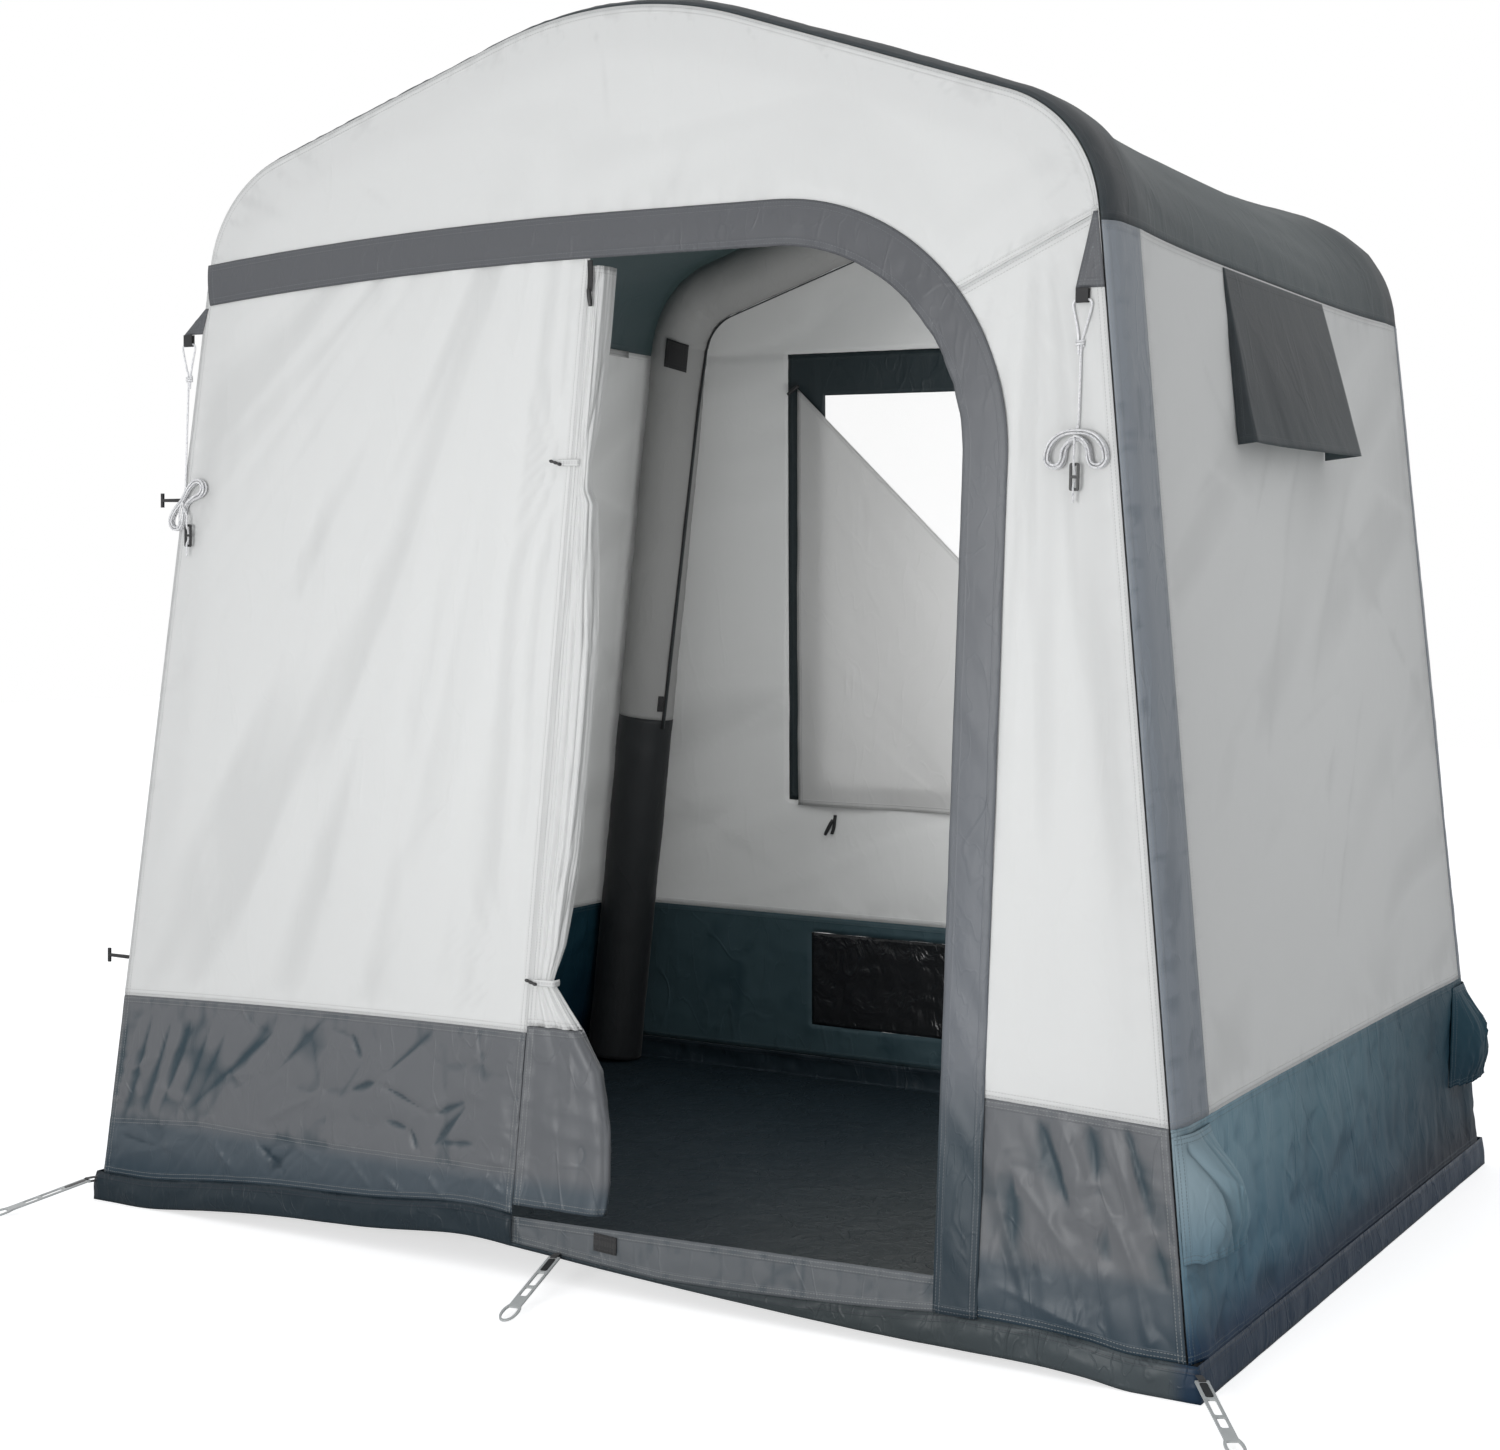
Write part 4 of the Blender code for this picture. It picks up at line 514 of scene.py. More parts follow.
class Nodes:
    # short hands for the node tree of one material
    def __init__(self, name):
        self.material = bpy.data.materials.new(name)
        self.material.use_nodes = True
        self.tree = self.material.node_tree
        self.shader = self.tree.nodes["Principled BSDF"]
        self.out = self.tree.nodes["Material Output"]

    def new(self, kind, **settings):
        node = self.tree.nodes.new(kind)
        for key, value in settings.items():
            setattr(node, key, value)
        return node

    def link(self, source, target):
        self.tree.links.new(source, target)

    def put(self, node, numbers):
        # constants straight on a node's own sockets
        for name, number in numbers.items():
            node.inputs[name].default_value = number

    def spanned(self, value, low=0.0, high=1.0, to=(0.0, 1.0), smooth=False):
        # the value moved from the span low to high into the span to
        node = self.new("ShaderNodeMapRange", interpolation_type="SMOOTHSTEP" if smooth else "LINEAR")
        self.link(value, node.inputs["Value"])
        self.put(node, {"From Min": low, "From Max": high, "To Min": to[0], "To Max": to[1]})
        return node.outputs[0]

    def math(self, operation, a, b=0.0, c=None, clamp=False):
        node = self.new("ShaderNodeMath", operation=operation, use_clamp=clamp)
        for socket, value in zip(node.inputs, (a, b, c)):
            if value is None:
                continue
            if isinstance(value, (int, float)):
                socket.default_value = value
            else:
                self.link(value, socket)
        return node.outputs[0]

    def mix(self, factor, a, b):
        node = self.new("ShaderNodeMix", data_type="RGBA")
        sockets = (node.inputs[0], node.inputs[6], node.inputs[7])
        for socket, value in zip(sockets, (factor, a, b)):
            if isinstance(value, tuple):
                socket.default_value = (*value, 1.0)
            elif isinstance(value, (int, float)):
                socket.default_value = value
            else:
                self.link(value, socket)
        return node.outputs[2]

    def tinted(self, colour, along):
        # the colour times a tint that changes along one axis of the object
        axis, low, high, stops = along
        place = self.new("ShaderNodeSeparateXYZ")
        self.link(self.place(), place.inputs[0])
        ramp = self.new("ShaderNodeValToRGB")
        self.link(self.spanned(place.outputs[axis], low, high), ramp.inputs[0])
        ramp.color_ramp.interpolation = "EASE"
        while len(ramp.color_ramp.elements) < len(stops):
            ramp.color_ramp.elements.new(0.5)
        for element, (position, tint) in zip(ramp.color_ramp.elements, stops):
            element.position = position
            element.color = (*tint, 1.0)
        node = self.new("ShaderNodeMix", data_type="RGBA", blend_type="MULTIPLY")
        node.inputs[0].default_value = 1.0
        self.link(colour, node.inputs[6])
        self.link(ramp.outputs[0], node.inputs[7])
        return node.outputs[2]

    def noise(self, vector, scale, detail=3.0, distortion=0.0, kind="FBM"):
        node = self.new("ShaderNodeTexNoise", noise_type=kind, normalize=True)
        self.link(vector, node.inputs["Vector"])
        self.put(node, {"Scale": scale, "Detail": detail, "Distortion": distortion})
        return node.outputs[0]

    def place(self, scale=(1, 1, 1), turn=(0, 0, 0)):
        node = self.new("ShaderNodeMapping")
        self.link(self.new("ShaderNodeTexCoord").outputs["Object"], node.inputs["Vector"])
        self.put(node, {"Scale": scale, "Rotation": turn})
        return node.outputs[0]

    def value(self, name):
        return self.new("ShaderNodeAttribute", attribute_name=name).outputs["Fac"]

    def bump(self, height):
        node = self.new("ShaderNodeBump")
        self.put(node, {"Strength": 1.0, "Distance": 1.0})
        self.link(height, node.inputs["Height"])
        self.link(node.outputs[0], self.shader.inputs["Normal"])
        return node.outputs[0]


def stitchRows(n):
    # two rows of dashes beside each edge, from the distances that each panel holds
    rows = []
    for edge, run in (("edgeU", "runV"), ("edgeV", "runU"), ("edgeS", "runS")):
        dash = n.math("LESS_THAN", n.math("FRACT", n.math("DIVIDE", n.value(run), stitch["pitch"])), stitch["dash"])
        for place in (stitch["near"], stitch["far"]):
            beside = n.math("ABSOLUTE", n.math("SUBTRACT", n.value(edge), place))
            rows.append(n.math("MULTIPLY", n.math("LESS_THAN", beside, stitch["half"]), dash))
    total = rows[0]
    for row in rows[1:]:
        total = n.math("MAXIMUM", total, row)
    return total


def foldedEdge(n):
    # 1 where the cloth lies double at a seam, 0 past the fold
    low, high = stitch["fold"] - stitch["step"], stitch["fold"] + stitch["step"]
    return n.math("MAXIMUM", *(n.spanned(n.value(edge), low, high, (1.0, 0.0), True) for edge in ("edgeU", "edgeV")))


def ridgeLines(n, vector, scale, half, distortion):
    # thin lines where a noise passes its middle value: 1 on the line, 0 at half the width away
    middle = n.math("ABSOLUTE", n.math("SUBTRACT", n.noise(vector, scale, 2.0, distortion), 0.5))
    return n.spanned(middle, 0.0, half, (1.0, 0.0), True)


def clothFinish(name, stretch=(1.0, 1.0, 0.45), turn=(0.0, 0.25, 0.0), sewn=True):
    look = {**clothRest, **cloths[name]}
    n = Nodes(name)
    plain = n.place()
    drawn = n.place(stretch, turn)
    crossed = n.place(stretch, tuple(-1.4 * t for t in turn))
    wander = n.noise(plain, 2.2, 4.0, 0.4)
    # painted shade: the colour goes to the cloth's shade colour in the valleys of its folds, and partly by a random
    # wander
    share = n.math("MULTIPLY_ADD", n.value("fold"), -1.9, n.math("MULTIPLY_ADD", wander, 0.6, 0.62), clamp=True)
    colour = n.mix(share, look["color"], look["shade"])
    for along in look["along"]:
        colour = n.tinted(colour, along)
    broken = n.spanned(n.noise(plain, look["creaseSize"] * 0.6, 2.0), 0.42, 0.58, smooth=True)
    lines = n.math("MULTIPLY", ridgeLines(n, drawn, look["creaseSize"], 0.04, 0.6), broken)
    fine = ridgeLines(n, crossed, look["creaseSize"] * 1.9, 0.03, 0.4)
    soft = n.noise(drawn, look["creaseSize"] * 0.8, 3.0, 0.5)
    height = n.math("MULTIPLY", lines, look["crease"] * 0.55)
    height = n.math("MULTIPLY_ADD", fine, look["crease"] * 0.22, height)
    height = n.math("MULTIPLY_ADD", soft, look["crease"] * 4.0, height)
    warp = n.new("ShaderNodeTexWave", wave_type="BANDS", bands_direction="DIAGONAL")
    n.link(plain, warp.inputs["Vector"])
    n.put(warp, {"Scale": 420.0})
    height = n.math("MULTIPLY_ADD", warp.outputs["Fac"], look["weave"], height)
    if sewn:
        thread = stitchRows(n)
        fold = foldedEdge(n)
        colour = n.mix(n.math("MULTIPLY", thread, 0.75), colour, look["thread"])
        height = n.math("MULTIPLY_ADD", fold, 0.00035, height)
        height = n.math("MULTIPLY_ADD", thread, -0.0003, height)
    normal = n.bump(height)
    n.link(colour, n.shader.inputs["Base Color"])
    rough = n.spanned(wander, to=(look["roughness"] - 0.05, look["roughness"] + 0.06))
    n.link(rough, n.shader.inputs["Roughness"])
    n.put(n.shader, {"Sheen Weight": look["sheen"], "Sheen Roughness": 0.4, "IOR": look["ior"],
                     "Specular IOR Level": look["specular"]})
    if look["through"]:
        glow = n.new("ShaderNodeBsdfTranslucent")
        if "glow" in look:
            n.put(glow, {"Color": (*look["glow"], 1)})
        else:
            n.link(colour, glow.inputs["Color"])
        n.link(normal, glow.inputs["Normal"])
        both = n.new("ShaderNodeMixShader")
        both.inputs[0].default_value = look["through"]
        n.link(n.shader.outputs[0], both.inputs[1])
        n.link(glow.outputs[0], both.inputs[2])
        n.link(both.outputs[0], n.out.inputs["Surface"])
    return n.material


def plasticFinish(name, colour, roughness, grain=0.00004, through=0.0):
    n = Nodes(name)
    place = n.place()
    wander = n.noise(place, 55.0, 3.0)
    darker = tuple(c * 0.82 for c in colour)
    n.link(n.mix(wander, colour, darker), n.shader.inputs["Base Color"])
    rough = n.spanned(n.noise(place, 90.0, 2.0), to=(roughness - 0.06, roughness + 0.08))
    n.link(rough, n.shader.inputs["Roughness"])
    n.bump(n.math("MULTIPLY", n.noise(place, 700.0, 2.0), grain))
    n.put(n.shader, {"Transmission Weight": through})
    return n.material


def ropeFinish():
    # braid: strands that cross along the cord, white with grey flecks
    n = Nodes("guyRope")
    along = n.math("DIVIDE", n.value("runU"), 0.0032)
    round_ = n.math("DIVIDE", n.value("runV"), 0.0025)
    one = n.math("SINE", n.math("MULTIPLY", n.math("ADD", along, round_), 2 * math.pi))
    two = n.math("SINE", n.math("MULTIPLY", n.math("SUBTRACT", along, round_), 2 * math.pi))
    braid = n.math("MULTIPLY", one, two)
    fleck = n.math("GREATER_THAN", n.math("MULTIPLY", n.math("ADD", braid, 1.0), n.noise(n.place(), 260.0, 1.0)), 0.86)
    n.link(n.mix(fleck, (0.80, 0.80, 0.81), (0.30, 0.32, 0.36)), n.shader.inputs["Base Color"])
    n.put(n.shader, {"Roughness": 0.75})
    n.bump(n.math("MULTIPLY", braid, 0.00018))
    return n.material


def filmFinish(name, colour, roughness, crease, alpha=1.0):
    # crinkled film: sharp creases with flat facets between
    n = Nodes(name)
    place = n.place((1.0, 1.0, 0.6), (0.0, 0.6, 0.0))
    facets = n.new("ShaderNodeTexVoronoi", feature="F1", distance="EUCLIDEAN")
    n.link(place, facets.inputs["Vector"])
    n.put(facets, {"Scale": 16.0})
    height = n.math("MULTIPLY", facets.outputs["Distance"], crease)
    ridge = n.math("ABSOLUTE", n.math("SUBTRACT", n.noise(place, 22.0, 3.0, 1.2), 0.5))
    n.bump(n.math("MULTIPLY_ADD", ridge, -crease * 2.5, height))
    wander = n.noise(n.place(), 5.0, 3.0)
    n.link(n.mix(wander, colour, tuple(c * 0.8 for c in colour)), n.shader.inputs["Base Color"])
    n.put(n.shader, {"Roughness": roughness, "Alpha": alpha})
    return n.material


def meshFinish():
    # fine net: dark threads with the holes left clear
    n = Nodes("ventNet")
    waves = []
    for axis in ("Y", "Z"):
        wave = n.new("ShaderNodeTexWave", wave_type="BANDS", bands_direction=axis, wave_profile="TRI")
        n.link(n.place(), wave.inputs["Vector"])
        n.put(wave, {"Scale": 260.0})
        waves.append(wave.outputs["Fac"])
    thread = n.math("MAXIMUM", *waves)
    n.link(n.mix(thread, (0.01, 0.012, 0.014), (0.035, 0.04, 0.045)), n.shader.inputs["Base Color"])
    n.put(n.shader, {"Roughness": 0.8})
    n.bump(n.math("MULTIPLY", thread, 0.0003))
    return n.material


finish = {name: clothFinish(name) for name in cloths}
finish["curtainCloth"] = clothFinish("curtainCloth", (1.0, 1.0, 0.4), (0.0, 0.75, 0.0))
finish["blackPlastic"] = plasticFinish("blackPlastic", (0.02, 0.02, 0.021), 0.42)
finish["milkyPlastic"] = plasticFinish("milkyPlastic", (0.56, 0.58, 0.58), 0.30, through=0.25)
finish["metalZip"] = plasticFinish("darkZip", (0.012, 0.02, 0.022), 0.45)
finish["rope"] = ropeFinish()
finish["blackFilm"] = filmFinish("blackFilm", (0.014, 0.015, 0.016), 0.24, 0.003)
finish["clearFilm"] = filmFinish("clearFilm", (0.92, 0.94, 0.95), 0.08, 0.0004, 0.05)
finish["tubeFilm"] = filmFinish("tubeFilm", (0.75, 0.78, 0.80), 0.30, 0.001)
finish["ventNet"] = meshFinish()
print("finishes:", len(finish))


# Camera and light
view = {
    "place": (2.03, -3.848, 1.069),
    "yaw": 29.7,
    "pitch": 3.17,
    "roll": 0.83,
    "focalPixels": 2416.4,
    "widthPixels": 1500,
}


def buildCamera():
    data = bpy.data.cameras.new("camera")
    camera = linked("camera", data)
    a, e, r = (math.radians(view[k]) for k in ("yaw", "pitch", "roll"))
    ahead = Vector((-math.sin(a) * math.cos(e), math.cos(a) * math.cos(e), -math.sin(e)))
    right = Vector((math.cos(a), math.sin(a), 0))
    up = right.cross(ahead)
    x = right * math.cos(r) + up * math.sin(r)
    y = up * math.cos(r) - right * math.sin(r)
    turned = Matrix((x, y, -ahead)).transposed().to_4x4()
    turned.translation = Vector(view["place"])
    camera.matrix_world = turned
    data.sensor_width = 36.0
    data.lens = view["focalPixels"] / view["widthPixels"] * data.sensor_width
    data.clip_end = 60.0
    bpy.context.scene.camera = camera


lamps = {
    "world": 0.72,
    "key": {"kind": "AREA", "place": (0.4, -4.8, 1.0), "aim": (-0.05, 0.0, 0.80), "size": 1.5, "power": 95.0},
    "inside": {"kind": "POINT", "place": (0.10, 0.05, 1.02), "aim": (0.0, 0.0, 0.0), "size": 0.7, "power": 16.6},
}


def buildLight():
    world = bpy.data.worlds.new("studio")
    bpy.context.scene.world = world
    world.use_nodes = True
    tree = world.node_tree
    tree.nodes.clear()
    path = tree.nodes.new("ShaderNodeLightPath")
    seen = tree.nodes.new("ShaderNodeBackground")
    seen.inputs["Color"].default_value = (1, 1, 1, 1)
    seen.inputs["Strength"].default_value = 1.0
    fill = tree.nodes.new("ShaderNodeBackground")
    fill.inputs["Color"].default_value = (0.97, 0.985, 1, 1)
    fill.inputs["Strength"].default_value = lamps["world"]
    both = tree.nodes.new("ShaderNodeMixShader")
    out = tree.nodes.new("ShaderNodeOutputWorld")
    seenBy = path.outputs["Is Camera Ray"]  # gloss and clear film show the white backdrop too
    for name in ("Is Glossy Ray", "Is Transmission Ray"):
        larger = tree.nodes.new("ShaderNodeMath")
        larger.operation = "MAXIMUM"
        tree.links.new(seenBy, larger.inputs[0])
        tree.links.new(path.outputs[name], larger.inputs[1])
        seenBy = larger.outputs[0]
    tree.links.new(seenBy, both.inputs[0])
    tree.links.new(fill.outputs[0], both.inputs[1])
    tree.links.new(seen.outputs[0], both.inputs[2])
    tree.links.new(both.outputs[0], out.inputs["Surface"])
    for name in ("key", "inside"):
        lamp = lamps[name]
        data = bpy.data.lights.new(name, lamp["kind"])
        if lamp["kind"] == "AREA":
            data.shape = "DISK"
            data.size = lamp["size"]
        else:
            data.shadow_soft_size = lamp["size"] / 2
        data.energy = lamp["power"]
        made = linked(name, data)
        made.location = lamp["place"]
        made.visible_camera = False
        aim = Vector(lamp["aim"]) - Vector(lamp["place"])
        made.rotation_mode = "QUATERNION"
        made.rotation_quaternion = aim.to_track_quat("-Z", "Y")


def buildFloor():
    # pale floor that meets a white background: part of its white is its own for the camera
    size, below = 14.0, -0.0008
    mesh = bpy.data.meshes.new("floor")
    corners = [(x * size, y * size, below) for x, y in ((-1, -1), (1, -1), (1, 1), (-1, 1))]
    mesh.from_pydata(corners, [], [(0, 1, 2, 3)])
    n = Nodes("floorPaint")
    n.put(n.shader, {"Base Color": (0.78, 0.78, 0.785, 1), "Roughness": 0.9, "Specular IOR Level": 0.1})
    glow = n.new("ShaderNodeEmission")
    n.put(glow, {"Color": (1, 1, 1, 1)})
    path = n.new("ShaderNodeLightPath")
    n.link(n.math("MULTIPLY", path.outputs["Is Camera Ray"], 0.60), glow.inputs["Strength"])
    both = n.new("ShaderNodeAddShader")
    n.link(n.shader.outputs[0], both.inputs[0])
    n.link(glow.outputs[0], both.inputs[1])
    n.link(both.outputs[0], n.out.inputs["Surface"])
    mesh.materials.append(n.material)
    linked("floor", mesh)


buildCamera()
buildLight()
buildFloor()
bpy.context.scene.view_settings.view_transform = "Standard"
print("camera, light and floor")


# Cloth panels. A panel is a grid of points on the tent's shape, moved along its outward normal by folds
# (long noise at an angle), a fan (noise round a point), crumples (facets) and puckers beside its seams.
folds = {
    "roof": {"soft": 0.0035, "angle": 82, "long": 0.50, "wide": 0.075, "pucker": 0.0018, "pitch": 0.011, "seed": 11,
             "lines": (26, (60, 90, 110), (0.15, 0.45), 0.0012, 0.01)},
    "legBand": {"soft": 0.0016, "angle": 10, "long": 0.30, "wide": 0.04, "pucker": 0.001, "pitch": 0.013, "seed": 23,
                "lines": (14, (5, 30, -25), (0.05, 0.14), 0.0012, 0.006)},
    "wallSide": {"soft": 0.005, "angle": 64, "long": 0.60, "wide": 0.11, "pucker": 0.0013, "pitch": 0.015, "seed": 31,
                 "lines": (34, (35, 60, 120), (0.20, 0.80), 0.0016, 0.012)},
    "skirtSide": {"soft": 0.004, "angle": 28, "long": 0.22, "wide": 0.06, "crumple": 0.004, "size": 0.085,
                  "pucker": 0.0016, "pitch": 0.014, "seed": 47,
                  "lines": (50, (50, 65, 115, 75), (0.05, 0.24), 0.003, 0.01)},
    "gable": {"soft": 0.0018, "angle": 86, "long": 0.40, "wide": 0.09, "pucker": 0.0016, "pitch": 0.013, "seed": 53,
              "lines": (24, (20, 90, 150), (0.10, 0.40), 0.0009, 0.008)},
    "wallFront": {"soft": 0.0028, "angle": 4, "long": 0.70, "wide": 0.06, "fan": 0.0045, "apex": (-0.05, 1.95, 1.0),
                  "fanWide": 0.055, "pucker": 0.0016, "pitch": 0.012, "seed": 61,
                  "lines": (44, (-14, -6, 4, 20), (0.20, 0.85), 0.0015, 0.009)},
    "wallRight": {"soft": 0.003, "angle": 84, "long": 0.60, "wide": 0.07, "fan": 0.0045, "apex": (0.70, 1.75, 1.0),
                  "fanWide": 0.05, "pucker": 0.0012, "pitch": 0.014, "seed": 67,
                  "lines": (24, (88, 75, 105), (0.15, 0.60), 0.0016, 0.009)},
    "skirtFront": {"soft": 0.004, "angle": 14, "long": 0.22, "wide": 0.06, "crumple": 0.004, "size": 0.11,
                   "pucker": 0.0018, "pitch": 0.013, "seed": 71,
                   "lines": (46, (25, 60, 95, 125, 155), (0.03, 0.10), 0.0026, 0.007)},
    "skirtRight": {"soft": 0.0065, "angle": -14, "long": 0.34, "wide": 0.045, "crumple": 0.002, "size": 0.09,
                   "pucker": 0.0012, "pitch": 0.015, "seed": 73,
                   "lines": (26, (-10, -25, 20), (0.04, 0.16), 0.0024, 0.007)},
    "sill": {"soft": 0.002, "angle": 6, "long": 0.20, "wide": 0.04, "crumple": 0.002, "size": 0.07,
             "pucker": 0.0012, "pitch": 0.014, "seed": 79, "lines": (26, (0, 30, 150), (0.05, 0.18), 0.0018, 0.006)},
    "wallBack": {"soft": 0.005, "angle": 70, "long": 0.60, "wide": 0.100, "pucker": 0.0012, "pitch": 0.015, "seed": 83,
                 "lines": (30, (60, 90, 115), (0.20, 0.70), 0.0016, 0.012)},
    "skirtBack": {"soft": 0.004, "angle": 12, "long": 0.24, "wide": 0.05, "crumple": 0.004, "size": 0.09,
                  "pucker": 0.0014, "pitch": 0.014, "seed": 89,
                  "lines": (60, (25, 60, 120, 155), (0.05, 0.22), 0.0036, 0.01)},
}
cloth = {"thickness": 0.0012, "step": 0.01, "fine": 0.006, "edge": 0.045, "reach": 0.02, "hem": 0.01, "seamRise": 0.004,
         "gap": 0.00005, "tubGap": 0.0002}


def eased(share):
    # from 0 to 1 with level ends: three squares less two cubes
    share = np.clip(share, 0, 1)
    return share * share * (3 - 2 * share)


def outwardNormals(points, outward):
    # the grid's normals, turned to look away from the point called outward
    normal = gridNormals(points)
    away = (normal * (points - np.array(outward, float))).sum(-1).mean()
    return normal if away > 0 else -normal


def relieved(points, look, outward=(0, 0, 0.9), seam=None, more=0.0, extra=0.0):
    # the panel moved along its normals, and how far each point stands up, from 0 in a valley to 1 on a ridge
    u, v, edgeU, edgeV = measured(points)
    inner = eased(np.minimum(edgeU, edgeV) / cloth["edge"])
    broad = look["soft"] * foldField(u, v, look["angle"], look["long"], look["wide"], look["seed"])
    height = broad
    if "fan" in look:
        fan = fanField(points[..., 0], points[..., 2], look["apex"], look["fanWide"], look["seed"] + 9)
        height = height + look["fan"] * fan
    if "crumple" in look:
        height = height + look["crumple"] * (crumple(u, v, look["size"], look["seed"] + 4) - 0.30)
    count, angles, lengths, rise, wide = look["lines"]
    lines = scatterLines(look["seed"] + 7, count, (0, u.max()), (0, v.max()), angles, lengths, rise, wide)
    height = (height + creaseLines(u, v, lines) + more) * inner
    height = height + extra * np.minimum(1, np.minimum(edgeU, edgeV) / cloth["hem"])
    edges = [(edgeU, v), (edgeV, u)] + ([seam] if seam else [])
    for edge, along in edges:
        ripple = pucker(along, edge, look["pitch"], cloth["reach"], look["seed"] + 2)
        height = height + look["pucker"] * ripple * (1 - np.exp(-edge / cloth["seamRise"]))
    sharp = height - 0.75 * broad * inner
    tall = 1.8 * np.sqrt(np.mean(sharp ** 2)) + 1e-6
    # the second result, how far each point stands up, is read by the finishes as painted shade in the valleys
    return points + outwardNormals(points, outward) * height[..., None], np.clip(0.5 + 0.5 * sharp / tall, 0, 1)


def stations(marks, step):
    # every mark, and equal steps of about this size between them
    runs = [np.linspace(a, b, max(1, round(abs(b - a) / step)) + 1)[:-1] for a, b in zip(marks[:-1], marks[1:])]
    return np.concatenate(runs + [[marks[-1]]])


def clothPiece(name, points, look, finishName, slot, node, hole=None, area=None, seam=None, more=0.0, extra=0.0):
    # a panel of the shell: creased, thick and dressed, its cut size measured on its smooth shape
    shaped, fold = relieved(points, folds[look], seam=seam, more=more, extra=extra)
    piece = gridObject(name, shaped, hole, fold=fold, seam=seam)
    thicken(piece, cloth["thickness"])
    dress(piece, finish[finishName], "tent", slot, node)
    declareSheet(piece, points, area=area)


# creases seen in the photo, in millimetres: two ends, across and up on the front, back and up on the side, and a
# height, below nothing for a valley
creasesStar = [
    (-394, 271, -276, 370, -4.5), (-441, 254, -390, 273, -6), (-390, 272, -274, 233, -6), (-274, 233, -212, 262, -5),
    (-319, 212, -306, 171, -5), (-276, 181, -211, 256, -6), (-444, 346, -423, 305, -4.5),
    (-369, 213, -322, 206, -4.5), (-262, 190, -190, 198, -4.5),
]
creasesLeft = [
    (-577, 358, -800, 173, -3.6), (-500, 366, -625, 239, -4), (-496, 247, -623, 182, 4.2), (-460, 345, -533, 174, 3),
    (-194, 372, -176, 290, -2.2), (-557, 152, -491, 119, 4.5), (-444, 147, -395, 98, 5), (-373, 129, -318, 87, 5.5),
    (-289, 140, -242, 94, 5.5), (-174, 155, -133, 122, 4.5), (-947, 122, -823, 102, -4.5), (-928, 88, -781, 125, 4),
    (-747, 141, -669, 80, 5), (-638, 148, -571, 99, -5), (-928, 336, -966, 153, -4.2), (-875, 335, -937, 144, -4.6),
    (-832, 332, -893, 162, -4.6), (-789, 337, -858, 160, -4.6), (-742, 335, -821, 158, -3),
    (-696, 352, -783, 175, -2), (-897, 336, -951, 148, 3), (-808, 335, -876, 161, 3),
]
creasesRight = [
    (753, 353, 811, 223, -6), (829, 352, 844, 275, -4), (880, 359, 925, 216, -6), (925, 216, 950, 141, -3.5),
    (717, 291, 722, 148, -3.6), (795, 254, 748, 148, 2.6), (860, 239, 855, 154, -2.8), (747, 176, 759, 130, -2.8),
    (818, 295, 806, 213, 2.6), (706, 290, 845, 134, 4), (845, 261, 928, 128, 4), (698, 114, 862, 66, 5.5),
    (924, 63, 940, 84, 3), (786, 357, 835, 259, 3.6), (856, 360, 905, 222, 4),
]
creasesSide = [
    (-514, 218, -439, 172, 3), (-245, 162, -348, 84, 3.4), (43, 102, -162, 75, 3), (265, 120, 62, 98, 3.6),
    (-418, 102, -349, 81, 2.6), (-4, 206, -106, 193, -3), (-582, 140, -648, 118, -3), (-647, 70, -335, 42, 4),
    (-152, 287, -250, 262, -3), (-102, 83, -404, 39, 4), (-665, 112, -735, 65, -3.4),
]


def shellPanel(name, s, t, look, finishName, slot, node, hole=None, area=None, creases=None):
    # a panel on the arched skin, from its marks along the arch and back from the front
    gridS, gridT = np.meshgrid(s, t, indexing="ij")
    points = skin(gridS, gridT)
    extra = tracedCreases(points[..., 1], points[..., 2], creases, 0.009) if creases else 0.0
    clothPiece(name, points, look, finishName, slot, node, hole, area=area, extra=extra)


vent = {"front": -0.19, "rear": 0.17, "foot": 1.36, "head": 1.52}
bandFront, bandRear = 0.12, 0.06


def buildShell():
    step = cloth["step"]
    eave = float(legS(shell["eave"]))
    ends = (shell["seam"], fullDepth - shell["seam"])
    shellPanel("roofCloth", stations([-eave, 0, eave], 0.0125), stations([*ends], 0.0125), "roof", "roofCloth",
               "dark_cloth", "roof")
    for side, name, node in ((-1, "Left", "left"), (1, "Right", "right")):
        low = side * legS(stations([shell["tub"] + cloth["tubGap"], shell["skirtTop"] - cloth["gap"]], cloth["fine"]))
        shellPanel("skirt" + name, low, stations([*ends], 0.009), "skirtSide", "skirtSideClothPaintedLight", "skirt",
                   "skirt_" + node, creases=creasesSide)
        up = side * legS(stations([shell["skirtTop"], shell["eave"] - cloth["gap"]], step))
        for start, end, place in ((ends[0], bandFront, "front"), (fullDepth - bandRear, ends[1], "rear")):
            shellPanel("legBand" + place.capitalize() + name, up, stations([start, end], step), "legBand", "bandClothPaintedSheen",
                       "dark_cloth", "leg_band_" + place + "_" + node)
        heights = stations([shell["skirtTop"], vent["foot"], vent["head"], shell["eave"] - cloth["gap"]], step)
        depth = [shell["halfDepth"] + vent["front"], shell["halfDepth"] + vent["rear"]]
        t = stations([bandFront + cloth["gap"], *depth, fullDepth - bandRear - cloth["gap"]], step)
        hole, area = None, None
        if side > 0:
            hole = (*np.searchsorted(heights, [vent["foot"] - 1e-6, vent["head"] - 1e-6]),
                    *np.searchsorted(t, [depth[0] - 1e-6, depth[1] - 1e-6]))
            opening = (vent["head"] - vent["foot"]) * (vent["rear"] - vent["front"])
            area = (heights[-1] - heights[0]) * (t[-1] - t[0]) - opening
        shellPanel("wall" + name, side * legS(heights), t, "wallSide", "whiteCloth", "white_cloth", "wall_" + node,
                   hole, area)


